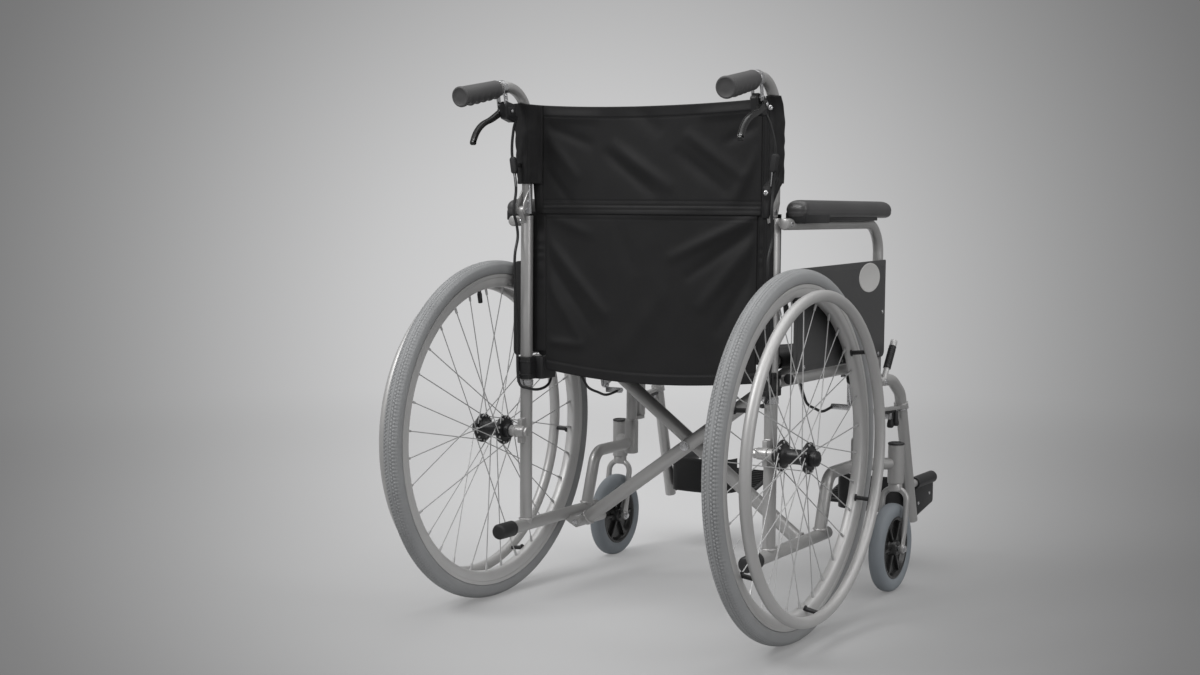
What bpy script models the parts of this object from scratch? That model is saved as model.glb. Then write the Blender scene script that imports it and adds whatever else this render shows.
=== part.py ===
"""Folding wheelchair, built as separate named pieces in metres.

The chair faces -Y, +X is the sitter's left and +Z is up. Every place along Y is written
from the rear axle, + towards the back, and an empty on the floor under that axle carries
all pieces. Side pieces are modelled on the left and mirrored for the right.
"""

import math

import bmesh
import bpy
from mathutils import Matrix, Vector

# Clearances between pieces
TOUCH = 0.0003
RUNNING = 0.0004

# The frame's half width, which the places across the chair come from
FRAME_X = 0.243

# Rear wheel
WHEEL_RADIUS = 0.305
TYRE_HALF_WIDTH = 0.016
TYRE_DEPTH = 0.024
TYRE_BEAD_RADIUS = WHEEL_RADIUS - TYRE_DEPTH
RIM_DEPTH = 0.018
RIM_HALF_WIDTH = 0.0125
WHEEL_OUTSET = 0.0556
WHEEL_X = FRAME_X + WHEEL_OUTSET
HAND_RIM_OUTSET = 0.040
HAND_RIM_X = WHEEL_X + HAND_RIM_OUTSET
HAND_RIM_INSET = 0.042
HAND_RIM_RADIUS = WHEEL_RADIUS - HAND_RIM_INSET
HAND_RIM_TUBE = 0.0095
HAND_RIM_TABS = 6
TAB_HALF_WIDTH = 0.0035
HUB_FLANGE_RADIUS = 0.026
HUB_FLANGE_WIDTH = 0.005
HUB_FLANGE_INSET = 0.0231
HUB_FLANGE_INNER_X = WHEEL_X - HUB_FLANGE_INSET
HUB_FLANGE_SPACING = 0.0469
HUB_FLANGE_OUTER_X = HUB_FLANGE_INNER_X + HUB_FLANGE_SPACING
HUB_BARREL_RADIUS = 0.013
HUB_END_OVERHANG = 0.012
SPOKES_PER_FLANGE = 16
SPOKE_WIDTH = 0.0018
SPOKE_LEAN_HOLES = 6
AXLE_RADIUS = 0.006
AXLE_HEAD_RADIUS = 0.0105
AXLE_HEAD_LENGTH = 0.006

# Side frame
FRAME_TUBE = 0.011
UPRIGHT_Y = -0.022
UPRIGHT_TOP_Z = 0.684
RAIL_Z = 0.132
RAIL_REAR_Y = 0.030
RAIL_FRONT_Y = -0.262
FRONT_TUBE_FOOT_Y = -0.228
FRONT_TUBE_Z = 0.237
FRONT_TUBE_BEND = 0.032
TOP_RAIL_Z = 0.420
TOP_RAIL_TUBE = 0.010
TOP_RAIL_FRONT_Y = -0.424
POST_Y = -0.398
POST_TUBE = 0.0105
POST_SLEEVE_TUBE = 0.0135
POST_FOOT_Z = 0.216
POST_SLEEVE_TOP_Z = 0.283
AXLE_SLEEVE_TUBE = 0.0115
AXLE_SLEEVE_REACH = 0.012
AXLE_SLEEVE_INNER_X = FRAME_X - AXLE_SLEEVE_REACH
TIP_RADIUS = 0.014
TIP_OVERLAP = 0.008
TIP_LENGTH = 0.045

# Casters
CASTER_OUTSET = 0.055
CASTER_X = FRAME_X + CASTER_OUTSET
CASTER_STEM_Y = -0.447
CASTER_TRAIL = 0.019
CASTER_RADIUS = 0.082
CASTER_TYRE_HALF_WIDTH = 0.014
CASTER_TYRE_DEPTH = 0.024
CASTER_TYRE_BEAD = CASTER_RADIUS - CASTER_TYRE_DEPTH
CASTER_BOSS_HALF = 0.0155
CASTER_BOSS_RADIUS = 0.013
HOUSING_TUBE = 0.015
HOUSING_BOTTOM_Z = 0.200
HOUSING_TOP_Z = 0.272
STEM_RADIUS = 0.008
FORK_TUBE = 0.0055
FORK_HALF_WIDTH = 0.0235
FORK_CROWN_Z = 0.189
FORK_BEND = 0.020
CASTER_AXLE_RADIUS = 0.004
CAP_HEIGHT = 0.0045

# Fold
BRACE_PIVOT_INSET = 0.0255
BRACE_PIVOT_X = FRAME_X - BRACE_PIVOT_INSET
BRACE_PIVOT_Z = 0.1185
BRACE_CENTRE_Y = -0.198
BRACE_CENTRE_Z = 0.277
BRACE_TUBE = 0.0125
BRACE_SPACING = 0.0135
BRACE_TOP_INSET = 0.021
BRACE_TOP_X = FRAME_X - BRACE_TOP_INSET
BRACE_SLEEVE_TUBE = 0.010
BRACE_SLEEVE_HALF = 0.0425
BRACE_PIN_RADIUS = 0.004
LUG_THICKNESS = 0.004
CENTRE_BOLT_RADIUS = 0.004
CENTRE_BOLT_HEAD = 0.008
SEAT_RAIL_INSET = 0.0225
SEAT_RAIL_X = FRAME_X - SEAT_RAIL_INSET
SEAT_RAIL_RISE = 0.030
SEAT_RAIL_Z = TOP_RAIL_Z + SEAT_RAIL_RISE
SEAT_RAIL_TUBE = 0.011
SEAT_RAIL_REAR_Y = -0.041
SEAT_RAIL_FRONT_Y = -0.440
SADDLE_DROP = 0.0215
SADDLE_BOTTOM_Z = TOP_RAIL_Z - SADDLE_DROP
SADDLE_HALF = 0.017
SADDLE_SHELF_FRONT_Y = -0.072

# Back
HINGE_Y = -0.008
HINGE_RISE = 0.016
HINGE_Z = UPRIGHT_TOP_Z + HINGE_RISE
HINGE_PIN_RADIUS = 0.003
HINGE_LUG_HALF = 0.005
HINGE_CHEEK_THICKNESS = 0.003
CANE_TUBE = 0.0095
CANE_FOOT_RISE = 0.014
CANE_FOOT_Z = HINGE_Z + CANE_FOOT_RISE
HANDLE_RISE = 0.2268
HANDLE_Z = HINGE_Z + HANDLE_RISE
HANDLE_BEND = 0.060
HANDLE_END_OUTSET = 0.007
HANDLE_END_Y = 0.1665
HANDLE_END_DROP = 0.0368
HANDLE_END = (FRAME_X + HANDLE_END_OUTSET, HANDLE_END_Y, HANDLE_Z - HANDLE_END_DROP)
GRIP_RADIUS = 0.0175
GRIP_TAPER = 0.0022
GRIP_LENGTH = 0.103
GRIP_END_WALL = 0.004
BACK_CLOTH = 0.0016
BACK_WRAP_RADIUS = 0.0127
BACK_SLEEVE_RADIUS = 0.0111
BACK_SAG = 0.020
BACK_LOWER_TOP_DROP = 0.0028
BACK_LOWER_TOP_Z = HINGE_Z - BACK_LOWER_TOP_DROP
BACK_PANEL_GAP = 0.0033
BACK_UPPER_BOTTOM_Z = BACK_LOWER_TOP_Z + BACK_PANEL_GAP
BACK_SLEEVE_RISE = 0.047
BACK_SLEEVE_BOTTOM_Z = HINGE_Z + BACK_SLEEVE_RISE
BACK_EDGE_DROP = 0.0388
BACK_TOP_EDGE_Z = HANDLE_Z - BACK_EDGE_DROP
BACK_SLEEVE_DROP = 0.0315
BACK_SLEEVE_TOP_Z = BACK_TOP_EDGE_Z - BACK_SLEEVE_DROP
BACK_MIDDLE_DROP = 0.010
BACK_TOP_MIDDLE_Z = BACK_TOP_EDGE_Z - BACK_MIDDLE_DROP
BACK_HEM_DROP = 0.016
BACK_HEM_Z = TOP_RAIL_Z - BACK_HEM_DROP
BACK_HEM_RISE = 0.016
BACK_SIDE_HEM_RISE = 0.0275
BACK_SIDE_HEM_Z = TOP_RAIL_Z + BACK_SIDE_HEM_RISE
BACK_STEP_INSET = 0.033
BACK_STEP_X = FRAME_X - BACK_STEP_INSET

# Seat
SEAT_REAR_Y = -0.082
SEAT_FRONT_Y = -0.432
SEAT_SAG = 0.020
SEAT_CLOTH = 0.0018
SEAT_WRAP_RADIUS = 0.0128

# Attendant brake
CLAMP_Y = 0.0565
CLAMP_RADIUS = 0.0145
CLAMP_LENGTH = 0.012
LEVER_PIVOT_SETBACK = 0.0125
LEVER_PIVOT_Y = CLAMP_Y - LEVER_PIVOT_SETBACK
LEVER_DROP = 0.0558
LEVER_PIVOT_Z = HANDLE_Z - LEVER_DROP
LEVER_PIN_RADIUS = 0.0025
LEVER_OUTSET = 0.0115
LEVER_X = FRAME_X + LEVER_OUTSET
LEVER_HALF_WIDTH = 0.0048
LEVER_THICKNESS = 0.0045
LEVER_REACH = 0.0825
LEVER_DEPTH = 0.056
CABLE_RADIUS = 0.0025
CABLE_OUTSET = 0.0085
CABLE_SETBACK = 0.0185
CABLE_BELOW_SADDLE = 0.016
CABLE_TUCK = 0.011
CABLE_BAND = 0.060
CABLE_STEPS = 1

# Armrest
ARMREST_OUTSET = 0.0235
ARMREST_X = FRAME_X + ARMREST_OUTSET
ARMREST_TUBE = 0.0095
ARMREST_DROP = 0.003
ARMREST_Z = UPRIGHT_TOP_Z - ARMREST_DROP
ARMREST_FRONT_Y = -0.416
ARMREST_BEND = 0.055
ARMREST_LOWER_RISE = 0.0065
ARMREST_LOWER_Z = TOP_RAIL_Z + ARMREST_LOWER_RISE
ARMREST_LOWER_REAR_Y = -0.040
ARMREST_FOOT_DROP = 0.015
ARMREST_FOOT_Z = TOP_RAIL_Z - ARMREST_FOOT_DROP
ARMREST_PIN_RADIUS = 0.004
PAD_OUTSET = 0.0105
PAD_X = ARMREST_X + PAD_OUTSET
PAD_HALF_WIDTH = 0.020
PAD_REAR_Y = -0.030
PAD_FRONT_Y = -0.409
PAD_THICKNESS = 0.030
PAD_EDGE_DROP = 0.70
GUARD_THICKNESS = 0.003
GUARD_RISE = 0.017
GUARD_BOTTOM_Z = TOP_RAIL_Z + GUARD_RISE
GUARD_DROP = 0.073
GUARD_TOP_Z = ARMREST_Z - GUARD_DROP
GUARD_REAR_Y = -0.032
GUARD_FRONT_Y = -0.4255
GUARD_CORNER = 0.012

# Parking brake
SHOE_GAP = 0.0085
SHOE_TUBE = 0.0095
SHOE_DROP = 0.0155
SHOE_Z = TOP_RAIL_Z - SHOE_DROP
SHOE_OVERHANG = 0.0169
SHOE_OUTER_X = WHEEL_X + SHOE_OVERHANG
SHOE_ARM_LENGTH = 0.045
BRAKE_PIN_RADIUS = 0.003
BRAKE_PLATE = 0.004
BRAKE_PLATE_OUTSET = 0.0115
BRAKE_PLATE_X = FRAME_X + BRAKE_PLATE_OUTSET
BRAKE_LEVER_OUTSET = 0.0445
BRAKE_LEVER_X = FRAME_X + BRAKE_LEVER_OUTSET
BRAKE_LEVER_TUBE = 0.0055
BRAKE_LEVER_Y = -0.388
BRAKE_LEVER_DROP = 0.026
BRAKE_LEVER_Z = TOP_RAIL_Z - BRAKE_LEVER_DROP
BRAKE_LEVER_LENGTH = 0.081
BRAKE_LEVER_LEAN = math.radians(27)
BRAKE_GRIP_TUBE = 0.007
CABLE_STOP_INSET = 0.0175
CABLE_STOP_X = FRAME_X - CABLE_STOP_INSET
CABLE_STOP_DROP = 0.011

# Footrest
HANGER_PIVOT_Y = -0.430
HANGER_TUBE = 0.011
HANGER_FOOT_Z = 0.2905
HANGER_HEAD_DROP = 0.021
HANGER_HEAD_Z = TOP_RAIL_Z - HANGER_HEAD_DROP
HANGER_PIN_RADIUS = 0.0045
HANGER_ELBOW_OUTSET = 0.019
HANGER_ELBOW_Y = -0.508
HANGER_ELBOW_DROP = 0.013
HANGER_ELBOW = (FRAME_X + HANGER_ELBOW_OUTSET, HANGER_ELBOW_Y, HANGER_HEAD_Z - HANGER_ELBOW_DROP)
HANGER_BEND = 0.030
HANGER_KNEE_OUTSET = 0.024
HANGER_KNEE_Y = -0.540
HANGER_KNEE_DROP = 0.041
HANGER_KNEE = (FRAME_X + HANGER_KNEE_OUTSET, HANGER_KNEE_Y, HANGER_HEAD_Z - HANGER_KNEE_DROP)
HANGER_END_OUTSET = 0.027
HANGER_END_Y = -0.612
HANGER_END_Z = 0.100
HANGER_END = (FRAME_X + HANGER_END_OUTSET, HANGER_END_Y, HANGER_END_Z)
HANGER_BRACKET_Z = 0.330
FOOT_ROD_OUTSET = 0.025
FOOT_ROD_X = FRAME_X + FOOT_ROD_OUTSET
FOOT_ROD_Z = 0.172
FOOT_ROD_TUBE = 0.008
FOOT_ROD_FRONT_Y = -0.728
FOOTPLATE_INNER_X = 0.078
FOOTPLATE_REAR_Y = -0.620
FOOTPLATE_FRONT_Y = -0.722
FOOTPLATE_REAR_Z = 0.118
FOOTPLATE_RISE = 0.026
FOOTPLATE_THICKNESS = 0.007
FOOTPLATE_RIBS = 5
FOOTPLATE_RIB_HEIGHT = 0.003
CHEEK_THICKNESS = 0.008
CHEEK_BOTTOM_Z = 0.104
STRAP_DEPTH = 0.052
STRAP_SPAN = 0.138
STRAP_SIDE_GAP = 0.008
STRAP_BOTTOM_Z = 0.118
STRAP_HEIGHT = 0.070
STRAP_THICKNESS = 0.0025
LATCH_PIN_Y = -0.466

FINISHES = {
    "silver_frame": ((0.48, 0.48, 0.48), 0.55, 0.38),
    "bright_steel": ((0.62, 0.62, 0.63), 0.90, 0.28),
    "grey_rubber": ((0.33, 0.34, 0.35), 0.0, 0.75),
    "black_plastic": ((0.020, 0.020, 0.021), 0.0, 0.45),
    "dark_grip": ((0.050, 0.050, 0.052), 0.0, 0.60),
    "black_cloth": ((0.012, 0.012, 0.013), 0.0, 0.80),
    "guard_panel": ((0.060, 0.060, 0.062), 0.0, 0.50),
    "anodised_alloy": ((0.62, 0.62, 0.62), 0.85, 0.35),
}

ROUND = 12
PIN_SIDES = 8
WHEEL_STEPS = 32
CASTER_STEPS = 22


def clear_scene():
    """Empty the scene of whatever it holds."""
    for item in list(bpy.data.objects):
        bpy.data.objects.remove(item, do_unlink=True)


def finish_material(name, finish):
    """A Principled material in the colour, metal and roughness of the finish."""
    colour, metallic, roughness = FINISHES[finish]
    material = bpy.data.materials.new(name)
    material.use_nodes = True
    shader = material.node_tree.nodes["Principled BSDF"]
    shader.inputs["Base Color"].default_value = (*colour, 1.0)
    shader.inputs["Metallic"].default_value = metallic
    shader.inputs["Roughness"].default_value = roughness
    material.diffuse_color = (*colour, 1.0)
    return material


def to_mesh(shape):
    """Turn a finished bmesh into mesh data with its faces pointing out."""
    bmesh.ops.remove_doubles(shape, verts=shape.verts, dist=1e-6)
    bmesh.ops.recalc_face_normals(shape, faces=shape.faces)
    mesh = bpy.data.meshes.new("shape")
    shape.to_mesh(mesh)
    shape.free()
    return mesh


def cylinder(start, end, radius, sides=ROUND):
    """A closed round bar between two points."""
    start, end = Vector(start), Vector(end)
    shape = bmesh.new()
    turn = (end - start).to_track_quat("Z", "Y").to_matrix().to_4x4()
    place = Matrix.Translation((start + end) / 2) @ turn @ Matrix.Rotation(math.pi / sides, 4, "Z")
    bmesh.ops.create_cone(shape, cap_ends=True, segments=sides, radius1=radius, radius2=radius,
                          depth=(end - start).length, matrix=place)
    return to_mesh(shape)


def block(low, high):
    """A box between two corners."""
    low, high = Vector(low), Vector(high)
    shape = bmesh.new()
    bmesh.ops.create_cube(shape, size=1.0)
    bmesh.ops.scale(shape, vec=high - low, verts=shape.verts)
    bmesh.ops.translate(shape, vec=(low + high) / 2, verts=shape.verts)
    return to_mesh(shape)


def prism(outline, axis, low, high):
    """Extrude a flat outline along X, Y or Z from low to high."""
    order = {"X": lambda a, b, c: (c, a, b), "Y": lambda a, b, c: (a, c, b), "Z": lambda a, b, c: (a, b, c)}
    place = order[axis]
    shape = bmesh.new()
    face = shape.faces.new([shape.verts.new(place(a, b, low)) for a, b in outline])
    grown = bmesh.ops.extrude_face_region(shape, geom=[face])
    moved = [item for item in grown["geom"] if isinstance(item, bmesh.types.BMVert)]
    bmesh.ops.translate(shape, vec=Vector(place(0, 0, high - low)), verts=moved)
    return to_mesh(shape)


def rounded_path(points, radius, steps=3):
    """Round each inner corner of a route with an arc of the given radius."""
    points = [Vector(point) for point in points]
    route = [points[0]]
    for before, corner, after in zip(points, points[1:], points[2:]):
        back, ahead = (before - corner).normalized(), (after - corner).normalized()
        half = back.angle(ahead) / 2
        reach = min(radius / math.tan(half), (before - corner).length * 0.48, (after - corner).length * 0.48)
        bend = reach * math.tan(half)
        centre = corner + (back + ahead).normalized() * (bend / math.sin(half))
        first, last = corner + back * reach - centre, corner + ahead * reach - centre
        for step in range(steps + 1):
            route.append(centre + first.normalized().slerp(last.normalized(), step / steps) * bend)
    route.append(points[-1])
    return route


def pipe(points, radius, bend=0.0, sides=ROUND, steps=3):
    """A round tube with flat ends along a route whose corners are rounded."""
    route = rounded_path(points, bend, steps) if bend else [Vector(point) for point in points]
    curve = bpy.data.curves.new("route", "CURVE")
    curve.dimensions = "3D"
    curve.bevel_depth = radius
    curve.bevel_resolution = sides // 2 - 2
    curve.use_fill_caps = True
    curve.resolution_u = 1
    line = curve.splines.new("POLY")
    line.points.add(len(route) - 1)
    for slot, point in zip(line.points, route):
        slot.co = (*point, 1.0)
    holder = bpy.data.objects.new("route", curve)
    bpy.context.scene.collection.objects.link(holder)
    mesh = evaluated_mesh(holder)
    bpy.data.objects.remove(holder, do_unlink=True)
    shape = bmesh.new()
    shape.from_mesh(mesh)
    return to_mesh(shape)


def evaluated_mesh(item):
    """The mesh of an object with its modifiers applied."""
    graph = bpy.context.evaluated_depsgraph_get()
    return bpy.data.meshes.new_from_object(item.evaluated_get(graph), depsgraph=graph)


def turned(profile, axis="X", centre=(0, 0, 0), steps=24):
    """Spin a profile of (along, radius) points round an axis through the centre."""
    closed = all(radius > 0 for _, radius in profile)
    shape = bmesh.new()
    verts = [shape.verts.new((along, 0, radius)) for along, radius in profile]
    pairs = list(zip(verts, verts[1:])) + ([(verts[-1], verts[0])] if closed else [])
    edges = [shape.edges.new(pair) for pair in pairs]
    bmesh.ops.spin(shape, geom=verts + edges, cent=(0, 0, 0), axis=(1, 0, 0), angle=math.tau,
                   steps=steps, use_merge=True)
    turn = {"X": Matrix(), "Y": Matrix.Rotation(math.pi / 2, 4, "Z"),
            "Z": Matrix.Rotation(-math.pi / 2, 4, "Y")}[axis]
    bmesh.ops.transform(shape, matrix=Matrix.Translation(centre) @ turn, verts=shape.verts)
    return to_mesh(shape)


def combine(base, others, operation):
    """Apply a chain of Boolean modifiers to a mesh and return the result."""
    scene = bpy.context.scene.collection.objects
    holder = bpy.data.objects.new("base", base)
    scene.link(holder)
    tools = []
    for other in others:
        tool = bpy.data.objects.new("tool", other)
        tool.hide_render = True
        tool.display_type = "WIRE"
        scene.link(tool)
        tools.append(tool)
        step = holder.modifiers.new("step", "BOOLEAN")
        step.operation = operation
        step.solver = "EXACT"
        step.object = tool
    mesh = evaluated_mesh(holder)
    for item in [holder, *tools]:
        bpy.data.objects.remove(item, do_unlink=True)
    return mesh


def weld(parts):
    """Join overlapping solids into one."""
    return combine(parts[0], parts[1:], "UNION")


def cut(base, tools):
    """Cut holes or slots out of a solid."""
    return combine(base, tools, "DIFFERENCE")


def mirrored(mesh):
    """The same shape on the other side of the chair."""
    shape = bmesh.new()
    shape.from_mesh(mesh)
    bmesh.ops.scale(shape, vec=(-1, 1, 1), verts=shape.verts)
    bmesh.ops.reverse_faces(shape, faces=shape.faces)
    return to_mesh(shape)


def add_piece(datum, name, mesh, finish, pivot=(0, 0, 0)):
    """Make the named piece, with its origin at the pivot and the datum as its parent."""
    pivot = Vector(pivot)
    mesh.transform(Matrix.Translation(-pivot))
    mesh.name = name
    mesh.materials.clear()
    mesh.materials.append(finish_material(name, finish))
    mesh.shade_smooth()
    mesh.set_sharp_from_angle(angle=math.radians(35))
    piece = bpy.data.objects.new(name, mesh)
    piece.parent = datum
    piece.location = pivot
    bpy.context.scene.collection.objects.link(piece)
    return piece


def add_pair(datum, name, mesh, finish, pivot=(0, 0, 0)):
    """Make the left piece and its mirror image on the right."""
    other = mirrored(mesh)
    add_piece(datum, "left_" + name, mesh, finish, pivot)
    add_piece(datum, "right_" + name, other, finish, (-pivot[0], pivot[1], pivot[2]))


def circle(centre, radius, start, end, steps):
    """Points on an arc in a plane, angles in degrees."""
    angles = [math.radians(start + (end - start) * step / steps) for step in range(steps + 1)]
    return [(centre[0] + radius * math.cos(a), centre[1] + radius * math.sin(a)) for a in angles]


def slot_outline(first, second, radius, steps=5):
    """The outline of a bar with round ends between two points of a plane."""
    heading = math.degrees(math.atan2(second[1] - first[1], second[0] - first[0]))
    return (circle(second, radius, heading - 90, heading + 90, steps)
            + circle(first, radius, heading + 90, heading + 270, steps))


def band_outline(route, half_width):
    """The outline of a band of constant width along a flat route."""
    left, right = [], []
    for index, (a, b) in enumerate(route):
        before, after = route[max(index - 1, 0)], route[min(index + 1, len(route) - 1)]
        heading = Vector((after[0] - before[0], after[1] - before[1])).normalized()
        left.append((a - heading.y * half_width, b + heading.x * half_width))
        right.append((a + heading.y * half_width, b - heading.x * half_width))
    return left + right[::-1]


# Side frame

def side_frame():
    """The welded tube frame of one side, with its pins, lugs and bores."""
    x = FRAME_X
    rail = cylinder((x, RAIL_REAR_Y, RAIL_Z), (x, RAIL_FRONT_Y, RAIL_Z), FRAME_TUBE)
    upright = cylinder((x, UPRIGHT_Y, RAIL_Z), (x, UPRIGHT_Y, UPRIGHT_TOP_Z), FRAME_TUBE)
    front = pipe([(x, FRONT_TUBE_FOOT_Y, RAIL_Z), (x, FRONT_TUBE_FOOT_Y - 0.034, FRONT_TUBE_Z),
                  (x, POST_Y + 0.018, FRONT_TUBE_Z), (CASTER_X, CASTER_STEM_Y, FRONT_TUBE_Z)],
                 FRAME_TUBE, FRONT_TUBE_BEND, steps=4)
    housing = cylinder((CASTER_X, CASTER_STEM_Y, HOUSING_BOTTOM_Z), (CASTER_X, CASTER_STEM_Y, HOUSING_TOP_Z),
                       HOUSING_TUBE, 14)
    post = cylinder((x, POST_Y, POST_FOOT_Z), (x, POST_Y, TOP_RAIL_Z), POST_TUBE)
    sleeve = cylinder((x, POST_Y, POST_FOOT_Z + 0.001), (x, POST_Y, POST_SLEEVE_TOP_Z), POST_SLEEVE_TUBE)
    top = cylinder((x, UPRIGHT_Y, TOP_RAIL_Z), (x, TOP_RAIL_FRONT_Y, TOP_RAIL_Z), TOP_RAIL_TUBE)
    axle = cylinder((AXLE_SLEEVE_INNER_X, 0, WHEEL_RADIUS), (axle_sleeve_outer_x(), 0, WHEEL_RADIUS),
                    AXLE_SLEEVE_TUBE)
    receiver = block((x - 0.005, UPRIGHT_Y, WHEEL_RADIUS - 0.022), (x + 0.005, 0, WHEEL_RADIUS + 0.022))
    parts = [upright, rail, front, housing, sleeve, post, top, axle, receiver]
    parts += hanger_lugs() + brace_lugs() + back_hinge_lug() + armrest_seat()
    bores = [cylinder((0, 0, WHEEL_RADIUS), (WHEEL_X, 0, WHEEL_RADIUS), AXLE_RADIUS + RUNNING),
             cylinder((CASTER_X, CASTER_STEM_Y, HOUSING_BOTTOM_Z - 0.01),
                      (CASTER_X, CASTER_STEM_Y, HOUSING_TOP_Z + 0.01), STEM_RADIUS + RUNNING)]
    return cut(weld(parts), bores)


def axle_sleeve_outer_x():
    """Where the frame's axle sleeve ends, just inside the hub."""
    return hub_end_x() - TOUCH


def hub_end_x():
    """The inner end of the wheel hub."""
    return HUB_FLANGE_INNER_X - HUB_FLANGE_WIDTH / 2 - HUB_END_OVERHANG


def hanger_lugs():
    """Two lugs on the front post with the pins that the hanger turns on."""
    x, half = FRAME_X, 0.008
    rear = POST_Y - POST_TUBE / 2
    front = HANGER_PIVOT_Y - HANGER_TUBE - 0.001
    thick = 0.007
    low = HANGER_FOOT_Z - TOUCH
    high = HANGER_HEAD_Z + TOUCH
    pin = 0.016
    return [block((x - half, front, low - thick), (x + half, rear, low)),
            cylinder((x, HANGER_PIVOT_Y, low - thick / 2), (x, HANGER_PIVOT_Y, low + pin), HANGER_PIN_RADIUS),
            block((x - half, front, high), (x + half, rear, high + thick)),
            cylinder((x, HANGER_PIVOT_Y, high + thick / 2), (x, HANGER_PIVOT_Y, high - pin), HANGER_PIN_RADIUS)]


def brace_lugs():
    """The pair of lugs on the lower rail and the pin that a cross bar turns on."""
    outline = (circle((BRACE_PIVOT_X, BRACE_PIVOT_Z), BRACE_SLEEVE_TUBE, 90, 270, 5)
               + [(FRAME_X, RAIL_Z - FRAME_TUBE), (FRAME_X, RAIL_Z)])
    reach = BRACE_SLEEVE_HALF + RUNNING
    lugs = [prism(outline, "Y", BRACE_CENTRE_Y + side * reach, BRACE_CENTRE_Y + side * (reach + LUG_THICKNESS))
            for side in (-1, 1)]
    half = reach + LUG_THICKNESS / 2
    pin = cylinder((BRACE_PIVOT_X, BRACE_CENTRE_Y - half, BRACE_PIVOT_Z),
                   (BRACE_PIVOT_X, BRACE_CENTRE_Y + half, BRACE_PIVOT_Z), BRACE_PIN_RADIUS)
    return [*lugs, pin]


def back_hinge_lug():
    """The lug on top of the upright with the pin of the back hinge."""
    outline = (circle((HINGE_Y, HINGE_Z), 0.008, -40, 160, 6)
               + [(UPRIGHT_Y - 0.004, UPRIGHT_TOP_Z - 0.004), (HINGE_Y - 0.006, UPRIGHT_TOP_Z - 0.012)])
    lug = prism(outline, "X", FRAME_X - HINGE_LUG_HALF, FRAME_X + HINGE_LUG_HALF)
    reach = HINGE_LUG_HALF + HINGE_CHEEK_THICKNESS + 2 * RUNNING + 0.001
    pin = cylinder((FRAME_X - reach, HINGE_Y, HINGE_Z), (FRAME_X + reach, HINGE_Y, HINGE_Z), HINGE_PIN_RADIUS, 10)
    return [lug, pin]


def armrest_seat():
    """The plate under the armrest's front leg and the pin of its rear hinge."""
    outer = ARMREST_X + ARMREST_TUBE
    top = ARMREST_FOOT_Z - TOUCH
    bottom = top - 0.005
    head = GUARD_THICKNESS
    eye = outer + TOUCH
    return [block((FRAME_X - 0.004, ARMREST_FRONT_Y - 0.010, bottom), (outer, ARMREST_FRONT_Y + 0.010, top)),
            block((FRAME_X - 0.006, ARMREST_FRONT_Y - 0.006, bottom), (FRAME_X + 0.006, POST_Y, TOP_RAIL_Z)),
            cylinder((FRAME_X, UPRIGHT_Y, ARMREST_Z), (eye + head / 2, UPRIGHT_Y, ARMREST_Z), ARMREST_PIN_RADIUS),
            cylinder((eye, UPRIGHT_Y, ARMREST_Z), (eye + head, UPRIGHT_Y, ARMREST_Z), 2 * ARMREST_PIN_RADIUS)]


def rail_tip():
    """The black cup pushed over the rear end of the lower rail."""
    bore = FRAME_TUBE / math.cos(math.pi / ROUND) + TOUCH
    mouth = RAIL_REAR_Y - TIP_OVERLAP
    floor = RAIL_REAR_Y + TOUCH
    end = mouth + TIP_LENGTH
    profile = [(floor, 0), (floor, bore), (mouth, bore), (mouth, TIP_RADIUS), (end - 0.003, TIP_RADIUS),
               (end, TIP_RADIUS - 0.003), (end, 0)]
    return turned(profile, "Y", (FRAME_X, 0, RAIL_Z), ROUND)


def seat_saddle():
    """The black clamp round the upright with the shelf that the seat rail lies on."""
    low, high = SADDLE_BOTTOM_Z, SEAT_RAIL_Z - SEAT_RAIL_TUBE - TOUCH
    inner = FRAME_X - FRAME_TUBE
    body = block((FRAME_X - SADDLE_HALF, UPRIGHT_Y - SADDLE_HALF, low),
                 (FRAME_X + FRAME_TUBE - TOUCH, UPRIGHT_Y + SADDLE_HALF, high))
    shelf = block((SEAT_RAIL_X - 0.009, SADDLE_SHELF_FRONT_Y, low),
                  (inner - TOUCH, UPRIGHT_Y - 0.004, high))
    upright = cylinder((FRAME_X, UPRIGHT_Y, low - 0.01), (FRAME_X, UPRIGHT_Y, high + 0.01), FRAME_TUBE + TOUCH)
    top = cylinder((FRAME_X, UPRIGHT_Y, TOP_RAIL_Z), (FRAME_X, -0.2, TOP_RAIL_Z), TOP_RAIL_TUBE + TOUCH)
    return cut(weld([body, shelf]), [upright, top])


# Rear wheel

def tyre():
    """The solid tyre, round outside and flat where it sits on the rim."""
    round_part = [(WHEEL_X + TYRE_HALF_WIDTH * math.cos(a),
                   WHEEL_RADIUS - TYRE_HALF_WIDTH + TYRE_HALF_WIDTH * math.sin(a))
                  for a in [math.pi * step / 5 for step in range(6)]]
    bead = [(WHEEL_X - RIM_HALF_WIDTH, TYRE_BEAD_RADIUS), (WHEEL_X + RIM_HALF_WIDTH, TYRE_BEAD_RADIUS)]
    return turned(round_part + bead, "X", (0, 0, WHEEL_RADIUS), WHEEL_STEPS)


def rim():
    """The rim under the tyre, with sloping walls."""
    outer = TYRE_BEAD_RADIUS - TOUCH
    inner = outer - RIM_DEPTH
    profile = [(WHEEL_X - RIM_HALF_WIDTH, outer), (WHEEL_X - RIM_HALF_WIDTH, outer - RIM_DEPTH * 0.5),
               (WHEEL_X - RIM_HALF_WIDTH * 0.45, inner), (WHEEL_X + RIM_HALF_WIDTH * 0.45, inner),
               (WHEEL_X + RIM_HALF_WIDTH, outer - RIM_DEPTH * 0.5), (WHEEL_X + RIM_HALF_WIDTH, outer)]
    return turned(profile, "X", (0, 0, WHEEL_RADIUS), WHEEL_STEPS)


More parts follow.
